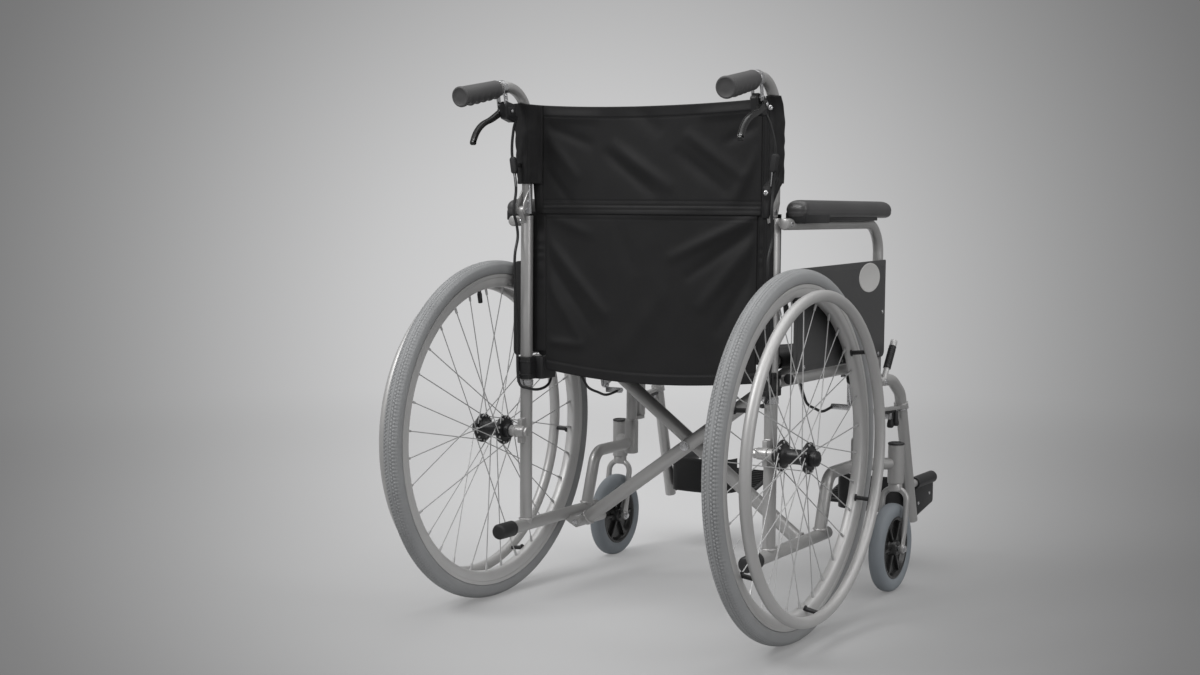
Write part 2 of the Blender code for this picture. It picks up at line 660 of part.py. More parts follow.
def hand_rim():
    """The push ring and the tabs that reach in to the rim."""
    ring = turned([(HAND_RIM_X + HAND_RIM_TUBE * math.cos(a), HAND_RIM_RADIUS + HAND_RIM_TUBE * math.sin(a))
                   for a in [math.tau * step / 7 for step in range(7)]],
                  "X", (0, 0, WHEEL_RADIUS), WHEEL_STEPS)
    rim_face = WHEEL_X + RIM_HALF_WIDTH + TOUCH
    rim_middle = TYRE_BEAD_RADIUS - RIM_DEPTH * 0.26
    outline = [(rim_face, rim_middle - TAB_HALF_WIDTH), (HAND_RIM_X, HAND_RIM_RADIUS - TAB_HALF_WIDTH * 0.6),
               (HAND_RIM_X, HAND_RIM_RADIUS + TAB_HALF_WIDTH * 0.6), (rim_face, rim_middle + TAB_HALF_WIDTH)]
    tabs = []
    for index in range(HAND_RIM_TABS):
        turn = Matrix.Rotation(math.tau * (index + 0.5) / HAND_RIM_TABS, 4, "X")
        tab = prism([(x, r) for x, r in outline], "Y", -TAB_HALF_WIDTH, TAB_HALF_WIDTH)
        tab.transform(Matrix.Translation((0, 0, WHEEL_RADIUS)) @ turn)
        tabs.append(tab)
    return weld([ring, *tabs])


def hub_with_spokes():
    """The hub with its two flanges, each with crossing spokes drawn out to the rim."""
    count = 2 * SPOKES_PER_FLANGE
    half = HUB_FLANGE_WIDTH / 2
    bore = AXLE_RADIUS + RUNNING
    inner, outer = HUB_FLANGE_INNER_X, HUB_FLANGE_OUTER_X
    profile = [(hub_end_x(), bore), (hub_end_x(), HUB_BARREL_RADIUS)]
    profile += [(inner + step, HUB_FLANGE_RADIUS) for step in (-half, 0, half)]
    profile += [(inner + 3 * half, HUB_BARREL_RADIUS), (outer - 3 * half, HUB_BARREL_RADIUS)]
    profile += [(outer + step, HUB_FLANGE_RADIUS) for step in (-half, 0, half)]
    end = 2 * WHEEL_X - hub_end_x()
    profile += [(end, HUB_BARREL_RADIUS), (end, bore)]
    shape = bmesh.new()
    shape.from_mesh(turned(profile, "X", (0, 0, 0), count))
    pitch = math.tau / count
    seats = []
    for face in shape.faces:
        middle = face.calc_center_median()
        outward = Vector((0, middle.y, middle.z)).normalized()
        if face.normal.dot(outward) < 0.9 or math.hypot(middle.y, middle.z) < HUB_FLANGE_RADIUS * 0.9:
            continue
        on_inner = middle.x < WHEEL_X
        row = 1 if middle.x > (inner if on_inner else outer) else -1
        hole = round(math.atan2(middle.y, middle.z) / pitch - 0.5)
        if hole % 4 == (0 if on_inner else 1) + (2 if row > 0 else 0):
            seats.append((face, middle.copy(), row))
    for face, middle, row in seats:
        draw_spoke(shape, face, middle, row, pitch)
    mesh = to_mesh(shape)
    mesh.transform(Matrix.Translation((0, 0, WHEEL_RADIUS)))
    return mesh


def draw_spoke(shape, face, middle, row, pitch):
    """Pull one face of a flange out into a spoke that leans round the wheel."""
    reach = (TYRE_BEAD_RADIUS - TOUCH - RIM_DEPTH) * math.cos(math.pi / WHEEL_STEPS) - TOUCH
    grown = bmesh.ops.extrude_face_region(shape, geom=[face])
    tip = next(item for item in grown["geom"] if isinstance(item, bmesh.types.BMFace))
    bmesh.ops.delete(shape, geom=[face], context="FACES_ONLY")
    angle = math.atan2(middle.y, middle.z) + row * SPOKE_LEAN_HOLES * pitch
    outward = Vector((0, math.sin(angle), math.cos(angle)))
    along = Vector((0, outward.z, -outward.y))
    end = Vector((WHEEL_X + row * HUB_FLANGE_WIDTH / 4, 0, 0)) + outward * reach
    round_hub = Vector((0, middle.z, -middle.y))
    half = SPOKE_WIDTH / 2
    for vert in tip.verts:
        side = 1 if (vert.co - middle).dot(round_hub) > 0 else -1
        rise = 1 if vert.co.x > middle.x else -1
        vert.co = end + along * side * half + Vector((rise * half, 0, 0))


def wheel_axle():
    """The quick axle: shaft, outer head and inner nut."""
    end = 2 * WHEEL_X - hub_end_x()
    head = end + TOUCH
    nut = AXLE_SLEEVE_INNER_X - TOUCH
    profile = [(nut - AXLE_HEAD_LENGTH, 0), (nut - AXLE_HEAD_LENGTH, AXLE_HEAD_RADIUS), (nut, AXLE_HEAD_RADIUS),
               (nut, AXLE_RADIUS), (head, AXLE_RADIUS), (head, AXLE_HEAD_RADIUS),
               (head + AXLE_HEAD_LENGTH * 0.6, AXLE_HEAD_RADIUS), (head + AXLE_HEAD_LENGTH, AXLE_RADIUS),
               (head + AXLE_HEAD_LENGTH, 0)]
    return turned(profile, "X", (0, 0, WHEEL_RADIUS), 10)


# Casters

def caster_axle_y():
    """The caster wheel's axle, behind the stem by the trail."""
    return CASTER_STEM_Y + CASTER_TRAIL


def caster_tyre():
    """The solid caster tyre."""
    half = CASTER_TYRE_HALF_WIDTH
    shoulder = CASTER_RADIUS - half
    crown = [(half * math.cos(a), shoulder + half * math.sin(a)) for a in [math.pi * s / 4 for s in range(5)]]
    profile = crown + [(-half * 0.8, CASTER_TYRE_BEAD), (half * 0.8, CASTER_TYRE_BEAD)]
    return turned(profile, "X", (CASTER_X, caster_axle_y(), CASTER_RADIUS), CASTER_STEPS)


def caster_hub():
    """The dished caster hub with its boss and bore."""
    half = CASTER_TYRE_HALF_WIDTH * 0.8
    outer = CASTER_TYRE_BEAD - TOUCH
    bore = CASTER_AXLE_RADIUS + RUNNING
    web = 0.005
    right = [(CASTER_BOSS_HALF, bore), (CASTER_BOSS_HALF, CASTER_BOSS_RADIUS), (web, CASTER_BOSS_RADIUS + 0.004),
             (web, outer - 0.010), (half, outer)]
    profile = right + [(-a, r) for a, r in right[::-1]]
    return turned(profile, "X", (CASTER_X, caster_axle_y(), CASTER_RADIUS), CASTER_STEPS)


def caster_fork():
    """The bent tube fork with its stem and the axle bolt."""
    x, y, z = CASTER_X, caster_axle_y(), CASTER_RADIUS
    half = FORK_HALF_WIDTH
    arch = pipe([(x - half, y, z), (x - half, CASTER_STEM_Y, FORK_CROWN_Z), (x + half, CASTER_STEM_Y, FORK_CROWN_Z),
                 (x + half, y, z)], FORK_TUBE, FORK_BEND, 8, 3)
    stem = cylinder((x, CASTER_STEM_Y, FORK_CROWN_Z - 0.003), (x, CASTER_STEM_Y, HOUSING_TOP_Z - 0.012),
                    STEM_RADIUS, PIN_SIDES)
    collar = cylinder((x, CASTER_STEM_Y, FORK_CROWN_Z - 0.004), (x, CASTER_STEM_Y, HOUSING_BOTTOM_Z - TOUCH),
                      HOUSING_TUBE - 0.002)
    bolt = cylinder((x - half - FORK_TUBE, y, z), (x + half + FORK_TUBE, y, z), CASTER_AXLE_RADIUS, PIN_SIDES)
    ends = [cylinder((x + side * (half - FORK_TUBE * 0.7), y, z), (x + side * (half + FORK_TUBE + 0.002), y, z),
                     0.009, PIN_SIDES) for side in (-1, 1)]
    return weld([arch, stem, collar, bolt, *ends])


def housing_cap():
    """The black cap pushed into the top of the caster housing."""
    top = HOUSING_TOP_Z + TOUCH
    plug = STEM_RADIUS - TOUCH / 2
    profile = [(top - 0.008, 0), (top - 0.008, plug), (top, plug), (top, HOUSING_TUBE + 0.0005),
               (top + CAP_HEIGHT * 0.6, HOUSING_TUBE + 0.0005), (top + CAP_HEIGHT, HOUSING_TUBE - 0.003),
               (top + CAP_HEIGHT, 0)]
    return turned(profile, "Z", (CASTER_X, CASTER_STEM_Y, 0), ROUND)


# Cross brace

def brace(low_side, y):
    """One bar of the cross: lower sleeve, tube, centre boss and the seat rail it carries."""
    pivot = Vector((low_side * BRACE_PIVOT_X, y, BRACE_PIVOT_Z))
    centre = Vector((0, y, BRACE_CENTRE_Z))
    slope = (centre - pivot) / BRACE_PIVOT_X
    top = centre + slope * BRACE_TOP_X
    rail_x = -low_side * SEAT_RAIL_X
    tube = cylinder(pivot, top, BRACE_TUBE, 14)
    sleeve = cylinder((pivot.x, BRACE_CENTRE_Y - BRACE_SLEEVE_HALF, BRACE_PIVOT_Z),
                      (pivot.x, BRACE_CENTRE_Y + BRACE_SLEEVE_HALF, BRACE_PIVOT_Z), BRACE_SLEEVE_TUBE)
    rail = cylinder((rail_x, SEAT_RAIL_REAR_Y, SEAT_RAIL_Z), (rail_x, SEAT_RAIL_FRONT_Y, SEAT_RAIL_Z), SEAT_RAIL_TUBE)
    reach = BRACE_SPACING + BRACE_TUBE + 0.05
    pin_bore = cylinder((pivot.x, BRACE_CENTRE_Y - reach, BRACE_PIVOT_Z), (pivot.x, BRACE_CENTRE_Y + reach, BRACE_PIVOT_Z),
                        BRACE_PIN_RADIUS + RUNNING)
    bolt_bore = cylinder((0, y - 0.03, BRACE_CENTRE_Z), (0, y + 0.03, BRACE_CENTRE_Z), CENTRE_BOLT_RADIUS + RUNNING)
    return cut(weld([tube, sleeve, rail]), [pin_bore, bolt_bore])


def centre_bolt():
    """The bolt where the two bars cross, with a head and a nut."""
    half = BRACE_SPACING + BRACE_TUBE + TOUCH
    profile = [(-half - 0.005, 0), (-half - 0.005, CENTRE_BOLT_HEAD), (-half, CENTRE_BOLT_HEAD),
               (-half, CENTRE_BOLT_RADIUS), (half, CENTRE_BOLT_RADIUS), (half, CENTRE_BOLT_HEAD),
               (half + 0.005, CENTRE_BOLT_HEAD), (half + 0.005, 0)]
    return turned(profile, "Y", (0, BRACE_CENTRE_Y, BRACE_CENTRE_Z), PIN_SIDES)


# Upholstery

def sheet_solid(rows, cloth):
    """A closed sheet from rows of points, thickened by its surface normals."""
    shape = bmesh.new()
    grid = [[shape.verts.new(point) for point in row] for row in rows]
    for first, second in zip(grid, grid[1:]):
        for a, b, c, d in zip(first, first[1:], second[1:], second):
            shape.faces.new((a, b, c, d))
    bmesh.ops.recalc_face_normals(shape, faces=shape.faces)
    mesh = bpy.data.meshes.new("sheet")
    shape.to_mesh(mesh)
    shape.free()
    holder = bpy.data.objects.new("sheet", mesh)
    bpy.context.scene.collection.objects.link(holder)
    wall = holder.modifiers.new("wall", "SOLIDIFY")
    wall.thickness = cloth
    wall.offset = 0.0
    solid = evaluated_mesh(holder)
    bpy.data.objects.remove(holder, do_unlink=True)
    return solid


def back_route(sleeve):
    """Plan of the back cloth from the middle to the left tube and round it."""
    wrap = BACK_SLEEVE_RADIUS if sleeve else BACK_WRAP_RADIUS
    web_y = UPRIGHT_Y - wrap
    inner = [BACK_STEP_X * step / 6 for step in range(6)]
    web = [(x, web_y + BACK_SAG * (1 - (x / FRAME_X) ** 2) ** 2)
           for x in [*inner, BACK_STEP_X - 0.004, BACK_STEP_X, (BACK_STEP_X + FRAME_X) / 2]]
    turn = circle((FRAME_X, UPRIGHT_Y), wrap, -90, 145 if sleeve else -28, 7 if sleeve else 2)
    return web + turn


def full_width(route):
    """Both sides of a route that is given from the middle to the left."""
    return [(-a, b) for a, b in route[:0:-1]] + route


def back_lower():
    """The lower back cloth, stretched in front of the uprights down to a curved hem."""
    route = full_width(back_route(False))
    levels = 1
    rows = []
    for level in range(levels + 1):
        row = []
        for x, y in route:
            side = abs(x) > BACK_STEP_X - 0.001
            hem = BACK_SIDE_HEM_Z if side else BACK_HEM_Z + BACK_HEM_RISE * (x / FRAME_X) ** 2
            row.append((x, y, hem + (BACK_LOWER_TOP_Z - hem) * level / levels))
        rows.append(row)
    return sheet_solid(rows, BACK_CLOTH)


def back_upper():
    """The upper back cloth with a sleeve round each cane."""
    route = full_width(back_route(True))
    web_points = len(back_route(False)) - 2
    middle = len(route) // 2
    levels = 1
    rows = []
    for level in range(levels + 1):
        row = []
        for index, (x, y) in enumerate(route):
            wrapped = abs(index - middle) >= web_points
            bottom = BACK_SLEEVE_BOTTOM_Z if wrapped else BACK_UPPER_BOTTOM_Z
            top = BACK_TOP_MIDDLE_Z + (BACK_TOP_EDGE_Z - BACK_TOP_MIDDLE_Z) * min(abs(x) / FRAME_X, 1) ** 2
            top = min(top, BACK_SLEEVE_TOP_Z) if wrapped and y > UPRIGHT_Y - 0.001 else top
            row.append((x, y, bottom + (top - bottom) * level / levels))
        rows.append(row)
    return sheet_solid(rows, BACK_CLOTH)


def seat_cloth():
    """The seat cloth slung between the seat rails and wrapped round them."""
    top = SEAT_RAIL_Z + SEAT_WRAP_RADIUS
    web = []
    for step in range(8):
        x = SEAT_RAIL_X * step / 8
        web.append((x, top - SEAT_SAG * (1 - (x / SEAT_RAIL_X) ** 2) ** 2))
    route = full_width(web + circle((SEAT_RAIL_X, SEAT_RAIL_Z), SEAT_WRAP_RADIUS, 90, -75, 6))
    rows = []
    levels = 1
    for level in range(levels + 1):
        y = SEAT_REAR_Y + (SEAT_FRONT_Y - SEAT_REAR_Y) * level / levels
        rows.append([(x, y, z) for x, z in route])
    return sheet_solid(rows, SEAT_CLOTH)


# Back canes and attendant brakes

def cane():
    """The upper back tube with its push handle and the hinge cheeks at its foot."""
    tube = pipe([(FRAME_X, UPRIGHT_Y, CANE_FOOT_Z), (FRAME_X, UPRIGHT_Y, HANDLE_Z), HANDLE_END],
                CANE_TUBE, HANDLE_BEND, steps=8)
    outline = (circle((HINGE_Y, HINGE_Z), 0.008, -90, 0, 3)
               + [(HINGE_Y + 0.008, CANE_FOOT_Z), (UPRIGHT_Y + CANE_TUBE * 0.5, CANE_FOOT_Z + 0.024),
                  (UPRIGHT_Y - CANE_TUBE * 0.5, CANE_FOOT_Z + 0.024), (UPRIGHT_Y - CANE_TUBE * 0.5, CANE_FOOT_Z),
                  (HINGE_Y - 0.010, HINGE_Z - 0.008)])
    inner = HINGE_LUG_HALF + RUNNING
    cheeks = [prism(outline, "X", FRAME_X + side * inner, FRAME_X + side * (inner + HINGE_CHEEK_THICKNESS))
              for side in (-1, 1)]
    bore = cylinder((0, HINGE_Y, HINGE_Z), (0.5, HINGE_Y, HINGE_Z), HINGE_PIN_RADIUS + RUNNING, 10)
    return cut(weld([tube, *cheeks]), [bore])


def handle_axis():
    """Start and direction of the straight handle."""
    start = Vector((FRAME_X, UPRIGHT_Y, HANDLE_Z))
    return start, (Vector(HANDLE_END) - start).normalized()


def along_handle(y):
    """The point of the handle's axis at a given y."""
    start, heading = handle_axis()
    return start + heading * ((y - start.y) / heading.y)


def grip():
    """The moulded grip over the handle's end."""
    start, heading = handle_axis()
    bore = CANE_TUBE / math.cos(math.pi / ROUND) + TOUCH
    floor = TOUCH
    end = floor + GRIP_END_WALL
    mouth = end - GRIP_LENGTH
    slim = GRIP_RADIUS - GRIP_TAPER
    profile = [(floor, 0), (floor, bore), (mouth, bore), (mouth, slim - 0.001), (mouth + 0.002, slim),
               (end - 0.008, GRIP_RADIUS - 0.0005), (end - 0.003, GRIP_RADIUS), (end, GRIP_RADIUS - 0.001), (end, 0)]
    mesh = turned(profile, "X", (0, 0, 0), ROUND)
    turn = heading.to_track_quat("X", "Z").to_matrix().to_4x4()
    mesh.transform(Matrix.Translation(HANDLE_END) @ turn)
    return mesh


def lever_bracket():
    """The clamp round the handle with the body that holds lever and cable."""
    centre = along_handle(CLAMP_Y)
    heading = handle_axis()[1]
    half = CLAMP_LENGTH / 2
    ring = cylinder(centre - heading * half, centre + heading * half, CLAMP_RADIUS, 16)
    y, z = LEVER_PIVOT_Y, LEVER_PIVOT_Z
    neck = block((centre.x - 0.005, CLAMP_Y - half, z + 0.004), (centre.x + 0.005, CLAMP_Y + half, centre.z - 0.010))
    body = prism([(y - 0.022, z - 0.014), (y - 0.014, z - 0.018), (y + 0.010, z - 0.012),
                  (y + 0.0145, z + 0.010), (y + 0.008, z + 0.018), (y - 0.016, z + 0.014)],
                 "X", centre.x - 0.011, LEVER_X - LEVER_HALF_WIDTH - TOUCH)
    pin = cylinder((centre.x, LEVER_PIVOT_Y, LEVER_PIVOT_Z), (LEVER_X + LEVER_HALF_WIDTH + 0.0015, LEVER_PIVOT_Y, LEVER_PIVOT_Z),
                   LEVER_PIN_RADIUS, 10)
    bore = cylinder(centre - heading * 0.03, centre + heading * 0.03, CANE_TUBE + TOUCH, 16)
    return cut(weld([body, neck, ring, pin]), [bore])


def attendant_lever():
    """The curved brake blade that hangs below the grip."""
    y, z = LEVER_PIVOT_Y, LEVER_PIVOT_Z
    shares = [(0, 0), (0.186, 0.140), (0.392, 0.281), (0.598, 0.386), (0.763, 0.526), (0.887, 0.702), (0.979, 0.912), (1, 1)]
    route = [(y + LEVER_REACH * along, z - LEVER_DEPTH * down) for along, down in shares]
    half = LEVER_HALF_WIDTH - 0.0006
    blade = prism(band_outline(route, LEVER_THICKNESS / 2), "X", LEVER_X - half, LEVER_X + half)
    eye = cylinder((LEVER_X - LEVER_HALF_WIDTH, y, z), (LEVER_X + LEVER_HALF_WIDTH, y, z), 0.0065)
    bore = cylinder((LEVER_X - 0.02, y, z), (LEVER_X + 0.02, y, z), LEVER_PIN_RADIUS + RUNNING, PIN_SIDES)
    return cut(weld([eye, blade]), [bore])


def smooth_route(points, per_span):
    """Points of a smooth curve that passes through all the given points."""
    points = [Vector(point) for point in points]
    ends = [2 * points[0] - points[1], *points, 2 * points[-1] - points[-2]]
    route = []
    for p0, p1, p2, p3 in zip(ends, ends[1:], ends[2:], ends[3:]):
        for step in range(per_span):
            t = step / per_span
            route.append(0.5 * ((2 * p1) + (p2 - p0) * t + (2 * p0 - 5 * p1 + 4 * p2 - p3) * t * t
                                + (3 * p1 - p0 - 3 * p2 + p3) * t ** 3))
    return [*route, points[-1]]


def brake_cable():
    """The brake cable from the lever body down the upright to the shoe arm."""
    outer = FRAME_X + CABLE_OUTSET
    behind = UPRIGHT_Y + CABLE_SETBACK
    inner = CABLE_STOP_X
    low = SADDLE_BOTTOM_Z - CABLE_BELOW_SADDLE
    arm_y, arm_z = shoe_pivot()
    leave = LEVER_PIVOT_Y - 0.0222
    tucked = TOP_RAIL_Z - CABLE_TUCK
    points = [(FRAME_X - 0.002, leave, LEVER_PIVOT_Z - 0.006), (FRAME_X - 0.002, leave - 0.0060, LEVER_PIVOT_Z - 0.009),
              (FRAME_X + 0.002, leave - 0.0100, LEVER_PIVOT_Z - 0.030),
              (outer, 0.004, HINGE_Z + CABLE_BAND * 1.67), (outer, 0.001, HINGE_Z + CABLE_BAND * 0.67),
              (outer + 0.001, 0.007, HINGE_Z), (outer - 0.001, behind + 0.004, HINGE_Z - CABLE_BAND * 0.40),
              (outer - 0.002, behind + 0.0015, HINGE_Z - CABLE_BAND * 0.80), (outer - 0.0035, 0.009, HINGE_Z - CABLE_BAND * 1.33),
              (outer - 0.002, 0.0065, HINGE_Z - CABLE_BAND * 2.1), (outer, behind, HINGE_Z - CABLE_BAND * 3.1),
              (outer - 0.001, behind, low + 1.3 * CABLE_BAND),
              (FRAME_X + 0.002, behind + 0.003, low + 0.012), (inner + 0.004, behind - 0.006, low),
              (inner, UPRIGHT_Y - 0.016, low - 0.004), (inner + 0.001, SADDLE_SHELF_FRONT_Y + 0.002, low + 0.003),
              (inner + 0.003, SADDLE_SHELF_FRONT_Y - 0.022, tucked), (inner + 0.003, arm_y * 0.50, tucked),
              (inner + 0.001, arm_y * 0.575, tucked - 0.022), (inner, arm_y * 0.64, low - 0.016),
              (inner, arm_y * 0.747, low - 0.028), (inner, arm_y * 0.847, low - 0.036),
              (inner, arm_y + 0.0046, arm_z - CABLE_STOP_DROP)]
    return pipe(smooth_route(points, CABLE_STEPS), CABLE_RADIUS, sides=6)


# Armrest

def armrest_frame():
    """The armrest's bent tube with its lower bar and rear eye."""
    x = ARMREST_X
    tube = pipe([(x, UPRIGHT_Y + 0.010, ARMREST_Z), (x, ARMREST_FRONT_Y, ARMREST_Z), (x, ARMREST_FRONT_Y, ARMREST_FOOT_Z)],
                ARMREST_TUBE, ARMREST_BEND, steps=5)
    lower = cylinder((x, ARMREST_FRONT_Y, ARMREST_LOWER_Z), (x, ARMREST_LOWER_REAR_Y, ARMREST_LOWER_Z),
                     ARMREST_TUBE - 0.0003)
    bore = cylinder((0, UPRIGHT_Y, ARMREST_Z), (0.5, UPRIGHT_Y, ARMREST_Z), ARMREST_PIN_RADIUS + RUNNING)
    return cut(weld([tube, lower]), [bore])


def armrest_pad():
    """The padded armrest top: crowned, with rounded ends."""
    low = ARMREST_Z + ARMREST_TUBE + TOUCH
    length = PAD_REAR_Y - PAD_FRONT_Y
    middle = (PAD_REAR_Y + PAD_FRONT_Y) / 2
    shape = bmesh.new()
    bmesh.ops.create_cube(shape, size=1.0)
    bmesh.ops.scale(shape, vec=(2 * PAD_HALF_WIDTH, length, PAD_THICKNESS), verts=shape.verts)
    long_edges = [edge for edge in shape.edges if abs(edge.verts[0].co.y - edge.verts[1].co.y) > length / 2]
    bmesh.ops.subdivide_edges(shape, edges=long_edges, cuts=5, use_grid_fill=True)
    wide = [edge for edge in shape.edges if abs(edge.verts[0].co.x - edge.verts[1].co.x) > PAD_HALF_WIDTH]
    bmesh.ops.subdivide_edges(shape, edges=wide, cuts=2, use_grid_fill=True)
    tall = [edge for edge in shape.edges if abs(edge.verts[0].co.z - edge.verts[1].co.z) > PAD_THICKNESS / 2]
    bmesh.ops.subdivide_edges(shape, edges=tall, cuts=1, use_grid_fill=True)
    for vert in shape.verts:
        across, along, up = vert.co.x / PAD_HALF_WIDTH, 2 * vert.co.y / length, 2 * vert.co.z / PAD_THICKNESS
        ends = 1 if abs(along) < 0.9 else 0.35
        side = 1 - 0.12 * up * up
        crown = PAD_EDGE_DROP if abs(across) > 0.5 else 1
        vert.co.x = across * PAD_HALF_WIDTH * side * (0.45 + 0.55 * ends)
        vert.co.z = (up * crown * (0.6 + 0.4 * ends) if up > 0 else up) * PAD_THICKNESS / 2
    bmesh.ops.translate(shape, vec=(PAD_X, middle, low + PAD_THICKNESS / 2), verts=shape.verts)
    return to_mesh(shape)


def skirt_guard():
    """The flat guard panel between sitter and wheel, with rounded corners."""
    r = GUARD_CORNER
    outline = (circle((GUARD_REAR_Y - r, GUARD_TOP_Z - r), r, 0, 90, 3)
               + circle((GUARD_FRONT_Y + r, GUARD_TOP_Z - r), r, 90, 180, 3)
               + circle((GUARD_FRONT_Y + r, GUARD_BOTTOM_Z + r), r, 180, 270, 3)
               + circle((GUARD_REAR_Y - r, GUARD_BOTTOM_Z + r), r, 270, 360, 3))
    inner = ARMREST_X + ARMREST_TUBE + TOUCH
    return prism(outline, "X", inner, inner + GUARD_THICKNESS)


# Parking brake

def shoe_centre():
    """Where the released shoe lies in front of the tyre, as y and z."""
    reach = WHEEL_RADIUS + SHOE_GAP + SHOE_TUBE
    rise = SHOE_Z - WHEEL_RADIUS
    return -math.sqrt(reach * reach - rise * rise), SHOE_Z


def shoe_pivot():
    """The shoe arm's pivot, square below the line from shoe to axle."""
    y, z = shoe_centre()
    reach = WHEEL_RADIUS + SHOE_GAP + SHOE_TUBE
    return y - SHOE_ARM_LENGTH * (z - WHEEL_RADIUS) / reach, z + SHOE_ARM_LENGTH * y / reach


def brake_arm_x():
    """The inner face of the shoe arm, just outside the bracket plate."""
    return BRAKE_PLATE_X + BRAKE_PLATE + TOUCH


def brake_bracket():
    """The plate clamped to the top rail, with the pins of shoe arm and lever."""
    y, z = shoe_pivot()
    top = ARMREST_LOWER_Z - ARMREST_TUBE - 0.001
    outline = (circle((y, z), 0.009, 180, 360, 5)
               + [(y + 0.009, top), (BRAKE_LEVER_Y + 0.004, top), (BRAKE_LEVER_Y - 0.009, top - 0.006)]
               + circle((BRAKE_LEVER_Y, BRAKE_LEVER_Z), 0.009, 180, 250, 2))
    plate = prism(outline, "X", BRAKE_PLATE_X, BRAKE_PLATE_X + BRAKE_PLATE)
    x_out = brake_arm_x() + BRAKE_PLATE + TOUCH
    clamp_y = (y + BRAKE_LEVER_Y) / 2
    arm_pin = cylinder((BRAKE_PLATE_X, y, z), (x_out + 0.002, y, z), BRAKE_PIN_RADIUS, 10)
    arm_head = cylinder((x_out, y, z), (x_out + 0.002, y, z), 2 * BRAKE_PIN_RADIUS, 10)
    lever_pin = cylinder((BRAKE_PLATE_X, BRAKE_LEVER_Y, BRAKE_LEVER_Z),
                         (lever_boss_end() + 0.003, BRAKE_LEVER_Y, BRAKE_LEVER_Z), BRAKE_PIN_RADIUS, 10)
    lever_head = cylinder((lever_boss_end() + TOUCH, BRAKE_LEVER_Y, BRAKE_LEVER_Z),
                          (lever_boss_end() + 0.003, BRAKE_LEVER_Y, BRAKE_LEVER_Z), 2 * BRAKE_PIN_RADIUS, 10)
    clamp = block((FRAME_X - TOP_RAIL_TUBE - 0.004, clamp_y - 0.012, TOP_RAIL_Z - TOP_RAIL_TUBE - 0.008),
                  (BRAKE_PLATE_X + 0.001, clamp_y + 0.012, top - 0.001))
    stop = block((CABLE_STOP_X - 0.004, y - 0.004, z - CABLE_STOP_DROP - 0.005),
                 (BRAKE_PLATE_X + 0.001, y + 0.004, z - CABLE_STOP_DROP + 0.005))
    rail = cylinder((FRAME_X, 0, TOP_RAIL_Z), (FRAME_X, -0.5, TOP_RAIL_Z), TOP_RAIL_TUBE + TOUCH)
    return cut(weld([plate, clamp, stop, arm_pin, arm_head, lever_pin, lever_head]), [rail])


def lever_boss_end():
    """Where the lever's boss ends on its pin."""
    return BRAKE_LEVER_X + BRAKE_LEVER_TUBE


def brake_shoe():
    """The shoe arm with the round shoe that lies across the tyre."""
    y, z = shoe_centre()
    py, pz = shoe_pivot()
    inner = brake_arm_x()
    arm = prism(slot_outline((py, pz), (y, z), 0.008), "X", inner + TOUCH, inner + BRAKE_PLATE)
    shoe = cylinder((inner, y, z), (SHOE_OUTER_X, y, z), SHOE_TUBE)
    bore = cylinder((inner - 0.01, py, pz), (inner + 0.02, py, pz), BRAKE_PIN_RADIUS + RUNNING, 10)
    return cut(weld([shoe, arm]), [bore])


def parking_lever():
    """The hand lever of the parking brake with its grip."""
    y, z = BRAKE_LEVER_Y, BRAKE_LEVER_Z
    inner = brake_arm_x()
    boss = cylinder((inner, y, z), (lever_boss_end(), y, z), 0.008)
    lean = Vector((0, -math.sin(BRAKE_LEVER_LEAN), math.cos(BRAKE_LEVER_LEAN)))
    start = Vector((BRAKE_LEVER_X, y, z))
    arm = cylinder(start, start + lean * BRAKE_LEVER_LENGTH, BRAKE_LEVER_TUBE)
    hold = cylinder(start + lean * BRAKE_LEVER_LENGTH * 0.36, start + lean * (BRAKE_LEVER_LENGTH - 0.008), BRAKE_GRIP_TUBE)
    bore = cylinder((inner - 0.01, y, z), (lever_boss_end() + 0.01, y, z), BRAKE_PIN_RADIUS + RUNNING, 10)
    return cut(weld([boss, arm, hold]), [bore])


# Footrest

def hanger():
    """The swing-away footrest tube with its pivot tube, bracket and footplate rod."""
    x = FRAME_X
    pivot = cylinder((x, HANGER_PIVOT_Y, HANGER_FOOT_Z), (x, HANGER_PIVOT_Y, HANGER_HEAD_Z), HANGER_TUBE)
    arm_z = HANGER_HEAD_Z - HANGER_TUBE - 0.001
    tube = pipe([(x, HANGER_PIVOT_Y, arm_z), HANGER_ELBOW, HANGER_KNEE, HANGER_END], HANGER_TUBE, HANGER_BEND, steps=3)
    low = Vector(HANGER_END)
    knee = Vector(HANGER_KNEE)
    share = (knee.z - HANGER_BRACKET_Z) / (knee.z - low.z)
    joint = knee.lerp(low, share)
    bracket = prism([(x - 0.006, HANGER_PIVOT_Y), (x + 0.006, HANGER_PIVOT_Y + 0.002), (joint.x + 0.006, joint.y),
                     (joint.x - 0.006, joint.y)], "Z", HANGER_BRACKET_Z - 0.003, HANGER_BRACKET_Z + 0.003)
    rod_start = knee.lerp(low, (knee.z - FOOT_ROD_Z) / (knee.z - low.z))
    rod = cylinder((FOOT_ROD_X, rod_start.y, FOOT_ROD_Z), (FOOT_ROD_X, FOOT_ROD_FRONT_Y, FOOT_ROD_Z), FOOT_ROD_TUBE)
    latch_pin = cylinder((latch_x(), LATCH_PIN_Y, HANGER_BRACKET_Z), (latch_x(), LATCH_PIN_Y, HANGER_BRACKET_Z - 0.012), 0.0025, 8)
    pin_bore = cylinder((x, HANGER_PIVOT_Y, HANGER_FOOT_Z - 0.01), (x, HANGER_PIVOT_Y, HANGER_HEAD_Z + 0.01),
                        HANGER_PIN_RADIUS + RUNNING)
    return cut(weld([pivot, tube, bracket, rod, latch_pin]), [pin_bore])


def latch_x():
    """The latch pin lies on the bracket, between pivot and tube."""
    return FRAME_X + (HANGER_KNEE[0] - FRAME_X) * 0.35


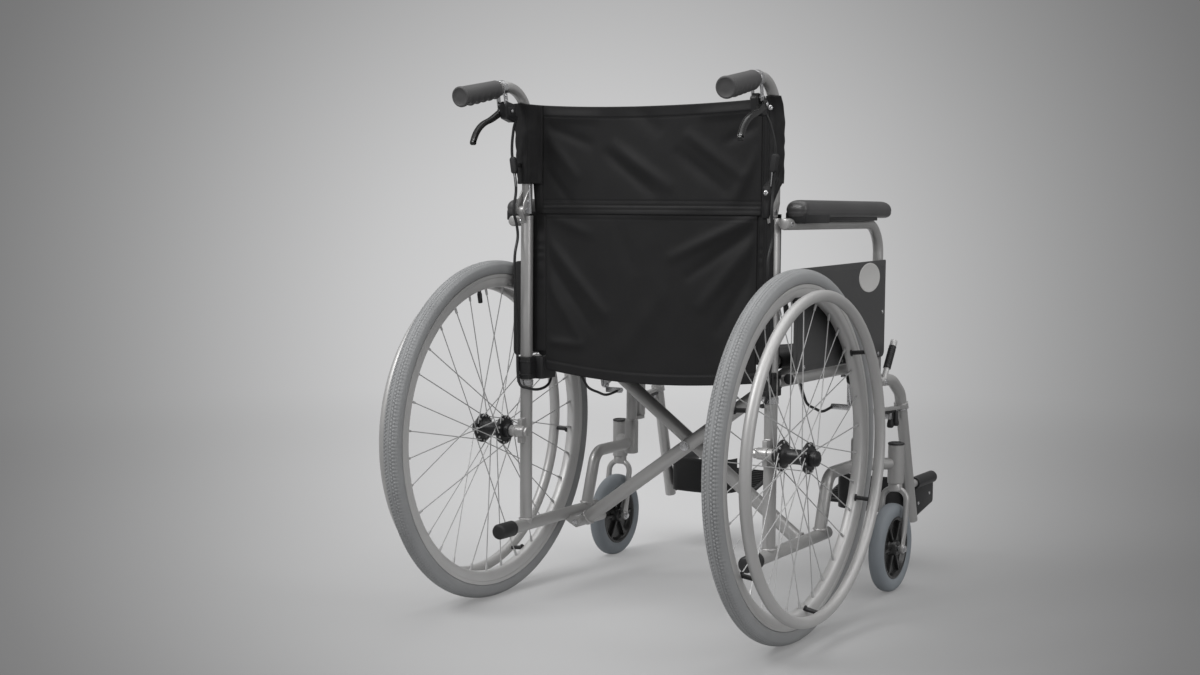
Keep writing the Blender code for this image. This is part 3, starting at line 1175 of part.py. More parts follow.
def hanger_latch():
    """The release latch below the bracket with its black knob."""
    x, top = latch_x(), HANGER_BRACKET_Z - 0.003 - TOUCH
    reach = 0.052
    plate = prism(slot_outline((x, LATCH_PIN_Y), (x - 0.004, LATCH_PIN_Y - reach), 0.006), "Z", top - 0.005, top)
    knob = cylinder((x - 0.004, LATCH_PIN_Y - reach, top - 0.002), (x - 0.004, LATCH_PIN_Y - reach, top - 0.026), 0.008)
    bore = cylinder((x, LATCH_PIN_Y, top + 0.01), (x, LATCH_PIN_Y, top - 0.02), 0.0025 + RUNNING, 8)
    return cut(weld([plate, knob]), [bore])


def footplate():
    """The ribbed footplate with the side cheek that turns on the rod."""
    rise = FOOTPLATE_RISE / (FOOTPLATE_REAR_Y - FOOTPLATE_FRONT_Y)
    top = []
    pitch = (FOOTPLATE_REAR_Y - FOOTPLATE_FRONT_Y) / (2 * FOOTPLATE_RIBS + 1)
    for index in range(2 * FOOTPLATE_RIBS + 1):
        height = FOOTPLATE_RIB_HEIGHT if index % 2 == 0 else 0.0
        for y in (FOOTPLATE_REAR_Y - index * pitch, FOOTPLATE_REAR_Y - (index + 1) * pitch):
            top.append((y, FOOTPLATE_REAR_Z + FOOTPLATE_THICKNESS + height + rise * (FOOTPLATE_REAR_Y - y)))
    bottom = [(FOOTPLATE_FRONT_Y, FOOTPLATE_REAR_Z + FOOTPLATE_RISE), (FOOTPLATE_REAR_Y, FOOTPLATE_REAR_Z)]
    cheek_x = FOOT_ROD_X - CHEEK_THICKNESS / 2
    plate = prism(top + bottom, "X", FOOTPLATE_INNER_X, cheek_x + CHEEK_THICKNESS * 0.5)
    boss = FOOT_ROD_TUBE + 0.004
    front, rear = FOOTPLATE_FRONT_Y, FOOTPLATE_REAR_Y - 0.004
    cheek = prism([(rear, CHEEK_BOTTOM_Z), (rear, FOOT_ROD_Z - 0.006), (rear - 0.014, FOOT_ROD_Z + boss * 0.5),
                   (front, FOOT_ROD_Z + boss * 0.5), (front, CHEEK_BOTTOM_Z + 0.018)], "X",
                  cheek_x, cheek_x + CHEEK_THICKNESS)
    sleeve = cylinder((FOOT_ROD_X, rear, FOOT_ROD_Z), (FOOT_ROD_X, front, FOOT_ROD_Z), boss)
    bore = cylinder((FOOT_ROD_X, -0.5, FOOT_ROD_Z), (FOOT_ROD_X, -0.9, FOOT_ROD_Z), FOOT_ROD_TUBE + RUNNING)
    return cut(weld([plate, cheek, sleeve]), [bore])


def heel_strap():
    """The webbing strap behind the heel, from the cheek round to the plate's rear edge."""
    outer = FOOT_ROD_X - CHEEK_THICKNESS / 2 - STRAP_SIDE_GAP
    start, reach = FOOTPLATE_REAR_Y + TOUCH, STRAP_DEPTH - TOUCH
    shares = [(0, 0), (0.0145, 0.346), (0.116, 0.885), (0.326, 1), (0.616, 1), (0.870, 0.885), (0.986, 0.346), (1, 0)]
    route = [(outer - STRAP_SPAN * across, start + reach * back) for across, back in shares]
    return prism(band_outline(route, STRAP_THICKNESS / 2), "Z", STRAP_BOTTOM_Z, STRAP_BOTTOM_Z + STRAP_HEIGHT)


def chair_datum():
    """The empty on the floor under the rear axle, set so that the chair's middle is at y = 0."""
    datum = bpy.data.objects.new("axle_datum", None)
    datum.location = (0, -(WHEEL_RADIUS + FOOT_ROD_FRONT_Y) / 2, 0)
    bpy.context.scene.collection.objects.link(datum)
    return datum


def build():
    """Model every piece of the chair."""
    clear_scene()
    datum = chair_datum()
    axle = (WHEEL_X, 0, WHEEL_RADIUS)
    stem = (CASTER_X, CASTER_STEM_Y, CASTER_RADIUS)
    caster_axle = (CASTER_X, caster_axle_y(), CASTER_RADIUS)
    back_hinge = (FRAME_X, HINGE_Y, HINGE_Z)
    lever_pin = (LEVER_X, LEVER_PIVOT_Y, LEVER_PIVOT_Z)
    arm_hinge = (ARMREST_X, UPRIGHT_Y, ARMREST_Z)
    shoe_pin = (brake_arm_x(), *shoe_pivot())
    lock_pin = (BRAKE_LEVER_X, BRAKE_LEVER_Y, BRAKE_LEVER_Z)
    hanger_pin = (FRAME_X, HANGER_PIVOT_Y, HANGER_FOOT_Z)
    latch_pin = (latch_x(), LATCH_PIN_Y, HANGER_BRACKET_Z)
    foot_rod = (FOOT_ROD_X, HANGER_END[1], FOOT_ROD_Z)
    frame_lug = (BRACE_PIVOT_X, BRACE_CENTRE_Y, BRACE_PIVOT_Z)
    pairs = [
        ("side_frame", side_frame, "silver_frame", frame_lug),
        ("rail_tip", rail_tip, "black_plastic", (FRAME_X, RAIL_REAR_Y, RAIL_Z)),
        ("seat_saddle", seat_saddle, "black_plastic", (FRAME_X, UPRIGHT_Y, SADDLE_BOTTOM_Z)),
        ("wheel_axle", wheel_axle, "bright_steel", axle),
        ("tyre", tyre, "grey_rubber", axle),
        ("rim", rim, "anodised_alloy", axle),
        ("hub_with_spokes", hub_with_spokes, "black_plastic", axle),
        ("hand_rim", hand_rim, "anodised_alloy", axle),
        ("caster_fork", caster_fork, "silver_frame", stem),
        ("caster_tyre", caster_tyre, "grey_rubber", caster_axle),
        ("caster_hub", caster_hub, "black_plastic", caster_axle),
        ("housing_cap", housing_cap, "black_plastic", (CASTER_X, CASTER_STEM_Y, HOUSING_TOP_Z)),
        ("back_cane", cane, "silver_frame", back_hinge),
        ("handle_grip", grip, "dark_grip", back_hinge),
        ("lever_bracket", lever_bracket, "black_plastic", back_hinge),
        ("attendant_lever", attendant_lever, "black_plastic", lever_pin),
        ("brake_cable", brake_cable, "black_plastic", back_hinge),
        ("armrest_frame", armrest_frame, "silver_frame", arm_hinge),
        ("armrest_pad", armrest_pad, "black_plastic", arm_hinge),
        ("skirt_guard", skirt_guard, "guard_panel", arm_hinge),
        ("brake_bracket", brake_bracket, "bright_steel", shoe_pin),
        ("brake_shoe", brake_shoe, "bright_steel", shoe_pin),
        ("parking_lever", parking_lever, "black_plastic", lock_pin),
        ("hanger", hanger, "silver_frame", hanger_pin),
        ("hanger_latch", hanger_latch, "black_plastic", latch_pin),
        ("footplate", footplate, "black_plastic", foot_rod),
        ("heel_strap", heel_strap, "black_cloth", foot_rod),
    ]
    for name, shape, finish, pivot in pairs:
        add_pair(datum, name, shape(), finish, pivot)
    rear_y, front_y = BRACE_CENTRE_Y + BRACE_SPACING, BRACE_CENTRE_Y - BRACE_SPACING
    add_piece(datum, "brace_from_right", brace(-1, front_y), "silver_frame", (-BRACE_PIVOT_X, front_y, BRACE_PIVOT_Z))
    add_piece(datum, "brace_from_left", brace(1, rear_y), "silver_frame", (0, rear_y, BRACE_CENTRE_Z))
    add_piece(datum, "brace_bolt", centre_bolt(), "bright_steel", (0, BRACE_CENTRE_Y, BRACE_CENTRE_Z))
    add_piece(datum, "seat_cloth", seat_cloth(), "black_cloth", (0, SEAT_REAR_Y, SEAT_RAIL_Z))
    add_piece(datum, "back_cloth_lower", back_lower(), "black_cloth", (0, UPRIGHT_Y, HINGE_Z))
    add_piece(datum, "back_cloth_upper", back_upper(), "black_cloth", (0, HINGE_Y, HINGE_Z))


build()
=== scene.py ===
"""Folding wheelchair: every visible piece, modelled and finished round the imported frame.

Places are written in metres from the rear axle: +X is the sitter's left, +Y the back and
+Z up. The pieces of one side are modelled on the left and mirrored for the right.
"""

import logging
import math
from dataclasses import dataclass
from enum import Enum
from typing import Callable, Iterable, Optional, Sequence

import bmesh
import bpy
from mathutils import Matrix, Vector, noise

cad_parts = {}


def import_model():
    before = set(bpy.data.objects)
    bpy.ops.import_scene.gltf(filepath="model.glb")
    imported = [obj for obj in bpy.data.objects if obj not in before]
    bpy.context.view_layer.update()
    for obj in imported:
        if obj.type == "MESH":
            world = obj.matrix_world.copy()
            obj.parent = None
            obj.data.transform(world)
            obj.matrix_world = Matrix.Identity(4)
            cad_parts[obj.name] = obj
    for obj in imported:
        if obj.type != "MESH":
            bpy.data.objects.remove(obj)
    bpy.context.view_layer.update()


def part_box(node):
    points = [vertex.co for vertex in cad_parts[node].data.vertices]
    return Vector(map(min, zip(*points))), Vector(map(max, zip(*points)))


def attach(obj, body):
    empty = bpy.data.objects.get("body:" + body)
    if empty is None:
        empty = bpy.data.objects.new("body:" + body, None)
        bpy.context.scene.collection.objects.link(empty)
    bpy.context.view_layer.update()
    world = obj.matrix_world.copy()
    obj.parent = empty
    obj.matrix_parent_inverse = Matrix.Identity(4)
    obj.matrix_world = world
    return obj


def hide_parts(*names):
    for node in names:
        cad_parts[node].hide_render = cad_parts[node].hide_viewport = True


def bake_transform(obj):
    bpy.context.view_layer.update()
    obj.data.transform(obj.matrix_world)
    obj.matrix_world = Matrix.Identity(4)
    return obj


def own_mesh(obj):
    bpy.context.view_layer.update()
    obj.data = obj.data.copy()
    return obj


LOG = logging.getLogger("wheelchair")

Point = tuple[float, float, float]
Flat = tuple[float, float]
Spot = Point | Vector

TOUCH = 0.0003
STITCH_PITCH = 0.0048
STITCH_RADIUS = 0.00038
STITCH_PROUD = 0.00015
STITCH_SUNK = 0.0004
WELD_SEED = 7


class Axis(Enum):
    """A main direction, with the turn that brings X onto it."""

    X = Matrix.Identity(4)
    Y = Matrix.Rotation(math.pi / 2, 4, "Z")
    Z = Matrix.Rotation(-math.pi / 2, 4, "Y")


def arc(centre: Flat, radius: float, start: float, end: float, steps: int) -> list[Flat]:
    """Points on an arc of a plane.

    Args:
        centre: The middle of the arc.
        radius: Its radius.
        start: The first angle in degrees.
        end: The last angle in degrees.
        steps: How many stretches the arc has.

    Returns:
        The points from start to end.
    """
    turns = [math.radians(start + (end - start) * step / steps) for step in range(steps + 1)]
    return [(centre[0] + radius * math.cos(a), centre[1] + radius * math.sin(a)) for a in turns]


def slot_outline(first: Flat, second: Flat, radius: float, steps: int = 8) -> list[Flat]:
    """The outline of a bar with round ends between two points of a plane."""
    heading = math.degrees(math.atan2(second[1] - first[1], second[0] - first[0]))
    return (arc(second, radius, heading - 90, heading + 90, steps)
            + arc(first, radius, heading + 90, heading + 270, steps))


def rounded_outline(corners: Sequence[tuple[float, float, float]], steps: int = 6) -> list[Flat]:
    """The outline of a polygon whose corners are rounded.

    Args:
        corners: Each corner's two places and its radius.
        steps: How many stretches each round has.

    Returns:
        The points of the outline.
    """
    points: list[Flat] = []
    for index, (a, b, radius) in enumerate(corners):
        here = Vector((a, b))
        before = (Vector(corners[index - 1][:2]) - here).normalized()
        after = (Vector(corners[(index + 1) % len(corners)][:2]) - here).normalized()
        half = before.angle(after) / 2
        back = radius / math.tan(half)
        middle = here + (before + after).normalized() * (radius / math.sin(half))
        first, last = here + before * back - middle, here + after * back - middle
        for step in range(steps + 1):
            point = first.lerp(last, step / steps).normalized() * radius + middle
            points.append((point.x, point.y))
    return points


def band_outline(route: Sequence[Flat], widths: Sequence[float]) -> list[Flat]:
    """The outline of a band along a flat route, with its half width at each point."""
    left, right = [], []
    for index, (a, b) in enumerate(route):
        before, after = route[max(index - 1, 0)], route[min(index + 1, len(route) - 1)]
        heading = Vector((after[0] - before[0], after[1] - before[1])).normalized()
        half = widths[index]
        left.append((a - heading.y * half, b + heading.x * half))
        right.append((a + heading.y * half, b - heading.x * half))
    return left + right[::-1]


def smooth_curve(points: Iterable[Point], per_span: int) -> list[Vector]:
    """Points of a smooth curve through all the given points."""
    given = [Vector(point) for point in points]
    ends = [2 * given[0] - given[1], *given, 2 * given[-1] - given[-2]]
    route = []
    for p0, p1, p2, p3 in zip(ends, ends[1:], ends[2:], ends[3:]):
        for step in range(per_span):
            t = step / per_span
            route.append(0.5 * ((2 * p1) + (p2 - p0) * t + (2 * p0 - 5 * p1 + 4 * p2 - p3) * t * t
                                + (3 * p1 - p0 - 3 * p2 + p3) * t ** 3))
    return [*route, given[-1]]


def lengths(route: Sequence[Vector]) -> list[float]:
    """The length along a route at each of its points."""
    found = [0.0]
    for before, after in zip(route, route[1:]):
        found.append(found[-1] + (after - before).length)
    return found


def step_up(low: float, high: float, value: float) -> float:
    """A smooth step from 0 at low to 1 at high."""
    share = max(0.0, min(1.0, (value - low) / (high - low)))
    return share * share * (3 - 2 * share)


def groove(off: float, width: float = 0.0011) -> float:
    """How deep a stitched line presses the cloth at a distance from it."""
    return 0.0006 * math.exp(-(off / width) ** 2)


def aim(direction: Vector, axis: str = "Z", up: str = "X") -> Matrix:
    """The turn that brings an axis onto a direction."""
    return direction.to_track_quat(axis, up).to_matrix().to_4x4()


def only(items: Iterable[object], kind: type) -> list:
    """The items of one kind among the results of an operator."""
    return [item for item in items if isinstance(item, kind)]


def first_loop(part: bmesh.types.BMesh, centre: Vector, heading: Vector, radius: float, sides: int) -> list:
    """A capped circle across a heading, from which a tube is drawn out."""
    made = bmesh.ops.create_circle(part, cap_ends=True, segments=sides, radius=radius,
                                   matrix=Matrix.Translation(centre) @ aim(heading))
    return list({edge for vert in made["verts"] for edge in vert.link_edges})


def draw_out(part: bmesh.types.BMesh, loop: list, step: Vector) -> tuple[list, list]:
    """Extrude a loop of edges by a step, and give its new vertices and edges."""
    grown = bmesh.ops.extrude_edge_only(part, edges=loop)["geom"]
    verts = only(grown, bmesh.types.BMVert)
    bmesh.ops.translate(part, vec=step, verts=verts)
    return verts, only(grown, bmesh.types.BMEdge)


def spun(points: Sequence[Point], axis: Point, steps: int, merge: float, ring: bool = False) -> bmesh.types.BMesh:
    """Turn a line of points fully round an axis through the origin.

    Args:
        points: The points of the line.
        axis: The axis to turn round.
        steps: How many stretches the turn has.
        merge: How close points have to be to become one.
        ring: Whether the line's ends are joined first.

    Returns:
        The turned mesh.
    """
    part = bmesh.new()
    verts = [part.verts.new(point) for point in points]
    edges = [part.edges.new(pair) for pair in zip(verts, verts[1:])]
    if ring:
        edges.append(part.edges.new((verts[-1], verts[0])))
    bmesh.ops.spin(part, geom=[*verts, *edges], cent=(0, 0, 0), axis=axis, angle=math.tau, steps=steps,
                   use_merge=True, use_duplicate=False)
    bmesh.ops.remove_doubles(part, verts=part.verts, dist=merge)
    bmesh.ops.recalc_face_normals(part, faces=part.faces)
    return part


def close_tube(part: bmesh.types.BMesh, loop: list) -> None:
    """Fill a tube's open end and point its faces outwards."""
    bmesh.ops.holes_fill(part, edges=loop, sides=0)
    bmesh.ops.recalc_face_normals(part, faces=part.faces)


class Shape:
    """One piece's mesh while bmesh operators shape it, part by part."""

    def __init__(self) -> None:
        """Start with an empty mesh."""
        self.mesh = bmesh.new()

    def take(self, part: bmesh.types.BMesh, place: Matrix = Matrix.Identity(4)) -> "Shape":
        """Move a finished part to its place and take it into the piece."""
        bmesh.ops.transform(part, matrix=place, verts=part.verts)
        held = bpy.data.meshes.new("part")
        part.to_mesh(held)
        part.free()
        self.mesh.from_mesh(held)
        bpy.data.meshes.remove(held)
        return self

    @staticmethod
    def _soften(part: bmesh.types.BMesh, size: float, segments: int = 2, above: float = 30.0) -> None:
        """Round the edges of a part that turn by more than the given angle."""
        if size <= 0:
            return
        limit = math.radians(above)
        edges = [edge for edge in part.edges if edge.is_manifold and edge.calc_face_angle(0) > limit]
        if edges:
            bmesh.ops.bevel(part, geom=edges, offset=size, offset_type="OFFSET", segments=segments, profile=0.5,
                            affect="EDGES", material=-1, clamp_overlap=True)

    def lathe(self, profile: Sequence[Flat], axis: Axis = Axis.X, centre: Point = (0, 0, 0), steps: int = 40,
              shift: Optional[Callable[[Vector, float], Vector]] = None) -> "Shape":
        """Turn a profile round an axis.

        Args:
            profile: Places along the axis with their radius. It is closed to a ring where it keeps off the axis.
            axis: The axis to turn round.
            centre: A point of that axis.
            steps: How many stretches a full turn has.
            shift: Moves each vertex of the turned part, given its place and its angle, before it is placed.

        Returns:
            The piece itself.
        """
        part = spun([(along, 0.0, radius) for along, radius in profile], (1, 0, 0), steps, 1e-6,
                    profile[0][1] > 1e-6 and profile[-1][1] > 1e-6)
        if shift is not None:
            for vert in part.verts:
                vert.co = shift(vert.co, math.atan2(vert.co.y, vert.co.z))
        return self.take(part, Matrix.Translation(centre) @ axis.value)

    def ring(self, centre: Point, axis: Axis, radius: float, size: float, steps: int = 24,
             sides: int = 8) -> "Shape":
        """A torus, such as a weld bead round a tube."""
        profile = arc((0, radius), size, 0, 360, sides)[:-1]
        return self.lathe(profile, axis, centre, steps)

    def block(self, low: Spot, high: Spot, bevel: float = 0.001, segments: int = 2) -> "Shape":
        """A box between two corners, with rounded edges."""
        part = bmesh.new()
        bmesh.ops.create_cube(part, size=1.0)
        bmesh.ops.scale(part, vec=Vector(high) - Vector(low), verts=part.verts)
        self._soften(part, bevel, segments)
        return self.take(part, Matrix.Translation((Vector(low) + Vector(high)) / 2))

    def rod(self, start: Spot, end: Spot, radius: float, sides: int = 20, bevel: float = 0.0005,
            end_radius: Optional[float] = None) -> "Shape":
        """A round or many-sided bar between two points, with rounded rims."""
        part = bmesh.new()
        first, last = Vector(start), Vector(end)
        bmesh.ops.create_cone(part, cap_ends=True, cap_tris=False, segments=sides, radius1=radius,
                              radius2=radius if end_radius is None else end_radius, depth=(last - first).length)
        self._soften(part, bevel, 2, 50.0 if sides > 8 else 30.0)
        return self.take(part, Matrix.Translation((first + last) / 2) @ aim(last - first))

    def plate(self, outline: Sequence[Flat], axis: Axis, low: float, high: float, bevel: float = 0.0008,
              segments: int = 2) -> "Shape":
        """A flat shape drawn out along an axis, with rounded rims.

        Args:
            outline: Its points in the plane across the axis: (y, z) for X, (x, z) for Y and (x, y) for Z.
            axis: The direction of its thickness.
            low: Where it starts along the axis.
            high: Where it ends along the axis.
            bevel: How much its rims are rounded.
            segments: How many stretches that round has.

        Returns:
            The piece itself.
        """
        index = (Axis.X, Axis.Y, Axis.Z).index(axis)
        part = bmesh.new()
        face = part.faces.new([part.verts.new((*spot[:index], low, *spot[index:])) for spot in outline])
        grown = bmesh.ops.extrude_face_region(part, geom=[face])["geom"]
        bmesh.ops.translate(part, vec=[high - low if place == index else 0 for place in range(3)],
                            verts=only(grown, bmesh.types.BMVert))
        bmesh.ops.recalc_face_normals(part, faces=part.faces)
        self._soften(part, bevel, segments, 50.0)
        return self.take(part)

    def tube(self, corners: Sequence[Spot], radius: float, bend: float = 0.0, sides: int = 24, steps: int = 8,
             rim: float = 0.0008) -> "Shape":
        """A round tube along straight runs joined by bends of one radius.

        Args:
            corners: The ends of the runs.
            radius: The tube's outer radius.
            bend: The radius of its bends, on the middle line.
            sides: How many sides the tube has.
            steps: How many stretches a bend has.
            rim: How much its end rims are rounded.

        Returns:
            The piece itself.
        """
        part = bmesh.new()
        line = [Vector(corner) for corner in corners]
        here = line[0]
        loop = first_loop(part, here, (line[1] - here).normalized(), radius, sides)
        for index in range(1, len(line)):
            heading = (line[index] - line[index - 1]).normalized()
            stop = line[index]
            if index < len(line) - 1:
                after = (line[index + 1] - line[index]).normalized()
                turn = heading.angle(after)
                stop = line[index] - heading * (bend * math.tan(turn / 2))
            loop = draw_out(part, loop, stop - here)[1]
            here = stop
            if index < len(line) - 1 and turn > 1e-4:
                inward = (after - heading * heading.dot(after)).normalized()
                swept = bmesh.ops.spin(part, geom=[*loop, *{vert for edge in loop for vert in edge.verts}],
                                       cent=here + inward * bend, axis=heading.cross(inward), angle=turn,
                                       steps=steps, use_merge=False, use_duplicate=False)
                loop = only(swept["geom_last"], bmesh.types.BMEdge)
                here = line[index] + after * (bend * math.tan(turn / 2))
        close_tube(part, loop)
        self._soften(part, rim, 2, 60.0)
        return self.take(part)

    def cord(self, points: Sequence[Vector], radius: float, sides: int = 10) -> "Shape":
        """A thin round cord through many close points, with closed ends."""
        part = bmesh.new()
        heading = (points[1] - points[0]).normalized()
        loop = first_loop(part, points[0], heading, radius, sides)
        for index in range(1, len(points)):
            before = heading
            heading = (points[min(index + 1, len(points) - 1)] - points[index - 1]).normalized()
            verts, loop = draw_out(part, loop, points[index] - points[index - 1])
            turn = before.rotation_difference(heading).to_matrix()
            bmesh.ops.rotate(part, cent=points[index], matrix=turn, verts=verts)
        close_tube(part, loop)
        return self.take(part)

    def sheet(self, columns: int, rows: int, place: Callable[[float, float], tuple[Vector, Flat]]) -> "Shape":
        """A single layer of cloth whose UV map is in metres.

        Args:
            columns: How many faces it has across.
            rows: How many faces it has along.
            place: The place and the map point of each share across and along.

        Returns:
            The piece itself.
        """
        part = bmesh.new()
        bmesh.ops.create_grid(part, x_segments=columns, y_segments=rows, size=0.5)
        lay = part.loops.layers.uv.new("UVMap")
        spots = {}
        for vert in part.verts:
            vert.co, spots[vert.index] = place(vert.co.x + 0.5, vert.co.y + 0.5)
        for face in part.faces:
            for loop in face.loops:
                loop[lay].uv = spots[loop.vert.index]
        return self.take(part)

    def screw(self, centre: Spot, toward: Point, radius: float, height: float) -> "Shape":
        """A domed screw head with a cross recess, seated at centre and facing toward."""
        dome = ((0, 0), (1, 0), (1, 0.35), (0.8, 0.75), (0.42, 1), (0, 1))
        part = spun([(radius * out, 0, height * up) for out, up in dome], (0, 0, 1), 16, 1e-7)
        for vert in part.verts:
            flat = math.hypot(vert.co.x, vert.co.y)
            across = min(abs(vert.co.x), abs(vert.co.y))
            if vert.co.z > height * 0.9 and (flat < radius * 0.1 or across < radius * 0.1):
                vert.co.z -= height * 0.45
        return self.take(part, Matrix.Translation(centre) @ aim(Vector(toward).normalized()))

    def hexagon(self, centre: Spot, toward: Point, across: float, height: float) -> "Shape":
        """A hexagonal bolt head or nut, seated at centre and facing toward."""
        tip = Vector(centre) + Vector(toward).normalized() * height
        return self.rod(centre, tip, across / 2 / math.cos(math.pi / 6), 6, height * 0.12)

    def stitches(self, line: Callable[[float], Vector], count: int) -> "Shape":
        """Thread along a line that is given by its share."""
        for index in range(count):
            self.rod(line((index + 0.18) / count), line((index + 0.8) / count), STITCH_RADIUS, 5, 0)
        return self

    def uneven(self, grain: float = 420.0, depth: float = 0.00035) -> "Shape":
        """Give a weld bead its rough skin, the same in each run."""
        noise.seed_set(WELD_SEED)
        for vert in self.mesh.verts:
            vert.co += Vector(noise.noise_vector(vert.co * grain)) * depth
        return self

    def turned(self, matrix: Matrix) -> "Shape":
        """Move the whole piece by a matrix."""
        bmesh.ops.transform(self.mesh, matrix=matrix, verts=self.mesh.verts)
        return self

    def mirrored(self) -> "Shape":
        """The same piece for the other side of the chair."""
        other = Shape()
        other.mesh = self.mesh.copy()
        bmesh.ops.scale(other.mesh, vec=(-1, 1, 1), verts=other.mesh.verts)
        bmesh.ops.reverse_faces(other.mesh, faces=other.mesh.faces)
        return other


# Finishes


class Wiring:
    """Puts nodes into a shader tree and joins them."""

    def __init__(self, tree: bpy.types.NodeTree) -> None:
        """Work on the given tree."""
        self.tree = tree

    def add(self, kind: str, *inputs: object, **settings: object) -> bpy.types.Node:
        """A new node.

        Args:
            kind: Its type.
            inputs: Values or sockets for its inputs in their order, or None to leave one.
            settings: Its properties, or values or sockets for its inputs by name.

        Returns:
            The node.
        """
        node = self.tree.nodes.new(kind)
        for name, value in settings.items():
            if hasattr(node, name):
                setattr(node, name, value)
            else:
                self.feed(value, node.inputs[name.replace("_", " ")])
        for value, socket in zip(inputs, node.inputs):
            if value is not None:
                self.feed(value, socket)
        return node

    def feed(self, value: object, socket: bpy.types.NodeSocket) -> None:
        """Link an output to an input, or set the input's value."""
        if isinstance(value, bpy.types.NodeSocket):
            self.tree.links.new(value, socket)
        else:
            socket.default_value = value

    def math(self, operation: str, first: object, second: object = 0.0) -> bpy.types.NodeSocket:
        """The result of a sum of two sockets or numbers."""
        return self.add("ShaderNodeMath", first, second, operation=operation).outputs[0]

    def vector(self, operation: str, *inputs: object) -> bpy.types.NodeSocket:
        """The result of a sum of vectors, which is a number for a length or a dot product."""
        node = self.add("ShaderNodeVectorMath", *inputs, operation=operation)
        return node.outputs["Value" if operation in ("LENGTH", "DOT_PRODUCT") else "Vector"]

    def mix(self, share: object, first: object, second: object) -> bpy.types.NodeSocket:
        """Two colours mixed by a share."""
        node = self.add("ShaderNodeMix", share, data_type="RGBA")
        self.feed(first, node.inputs[6])
        self.feed(second, node.inputs[7])
        return node.outputs[2]


class Effect:
    """The shared shader groups: each is built once and placed in every finish that uses it."""

    @staticmethod
    def _group(name: str, inputs: Sequence[tuple[str, str, object]], outputs: Sequence[tuple[str, str]]) -> tuple:
        """An empty group with named sockets, and whether it is new."""
        found = bpy.data.node_groups.get(name)
        if found is not None:
            return found, None, None, None
        group = bpy.data.node_groups.new(name, "ShaderNodeTree")
        for label, kind, value in inputs:
            socket = group.interface.new_socket(name=label, in_out="INPUT", socket_type=kind)
            socket.default_value = value
        for label, kind in outputs:
            group.interface.new_socket(name=label, in_out="OUTPUT", socket_type=kind)
        wiring = Wiring(group)
        return group, wiring, wiring.add("NodeGroupInput"), wiring.add("NodeGroupOutput")

    @classmethod
    def surface(cls) -> bpy.types.NodeTree:
        """Colour drift, settled dust, scuffs and fine grain of a hard or rubber surface."""
        group, wiring, source, result = cls._group(
            "surface_life",
            [("Colour", "NodeSocketColor", (0.5, 0.5, 0.5, 1)), ("Roughness", "NodeSocketFloat", 0.5),
             ("Drift", "NodeSocketFloat", 0.1), ("Dust", "NodeSocketFloat", 0.05), ("Scuffs", "NodeSocketFloat", 0.1),
             ("Grain Scale", "NodeSocketFloat", 900.0)],
            [("Colour", "NodeSocketColor"), ("Roughness", "NodeSocketFloat"), ("Height", "NodeSocketFloat")])
        if wiring is None:
            return group
        given = source.outputs
        place = wiring.add("ShaderNodeTexCoord").outputs["Object"]
        broad, streak, grain = (
            wiring.add("ShaderNodeTexNoise", place, Scale=scale, Detail=detail, Roughness=rough,
                       Distortion=bent).outputs["Fac"]
            for scale, detail, rough, bent in ((14.0, 4.0, 0.6, 0.0), (160.0, 6.0, 0.7, 0.6),
                                               (given["Grain Scale"], 2.0, 0.55, 0.0)))
        lift = wiring.math("MULTIPLY", wiring.math("SUBTRACT", broad, 0.5), given["Drift"])
        bright = wiring.math("ADD", wiring.math("MULTIPLY", lift, 4.0), 1.0)
        tinted = wiring.add("ShaderNodeVectorMath", given["Colour"], operation="SCALE", Scale=bright).outputs[0]
        normal = wiring.add("ShaderNodeNewGeometry").outputs["Normal"]
        facing = wiring.math("MAXIMUM", wiring.add("ShaderNodeSeparateXYZ", normal).outputs["Z"], 0.0)
        settled = wiring.math("MULTIPLY", wiring.math("MULTIPLY", facing, broad), given["Dust"])
        worn = wiring.math("MULTIPLY", wiring.math("SUBTRACT", streak, 0.5), given["Scuffs"])
        rough = wiring.math("ADD", wiring.math("ADD", given["Roughness"], worn), settled)
        for value, label in ((wiring.mix(settled, tinted, (0.42, 0.41, 0.4, 1)), "Colour"), (rough, "Roughness"),
                             (grain, "Height")):
            wiring.feed(value, result.inputs[label])
        return group

    @classmethod
    def weave(cls) -> bpy.types.NodeTree:
        """Threads over and under each other, in metres of the piece's own UV map, with a share that follows their
        height for painted light and shade on them.
        """
        group, wiring, source, result = cls._group(
            "thread_weave", [("Pitch", "NodeSocketFloat", 0.0011), ("Slub", "NodeSocketFloat", 0.3)],
            [("Height", "NodeSocketFloat"), ("Mask", "NodeSocketFloat")])
        if wiring is None:
            return group
        lay = wiring.add("ShaderNodeUVMap").outputs[0]
        parts = wiring.add("ShaderNodeSeparateXYZ", lay).outputs
        waves = [
            wiring.math("SINE", wiring.math(
                "MULTIPLY", wiring.math("DIVIDE", parts[name], source.outputs["Pitch"]), math.pi))
            for name in ("X", "Y")]
        cross = wiring.math("MULTIPLY", wiring.math("MULTIPLY", *waves), 0.5)
        slub = wiring.add("ShaderNodeTexNoise", lay, Scale=420.0, Detail=3.0).outputs["Fac"]
        uneven = wiring.math("MULTIPLY", slub, source.outputs["Slub"])
        wiring.feed(wiring.math("ADD", cross, uneven), result.inputs["Height"])
        # The share for painted light and shade: high where threads stand high, low where they lie low.
        wiring.feed(wiring.math("ADD", cross, 0.5), result.inputs["Mask"])
        return group


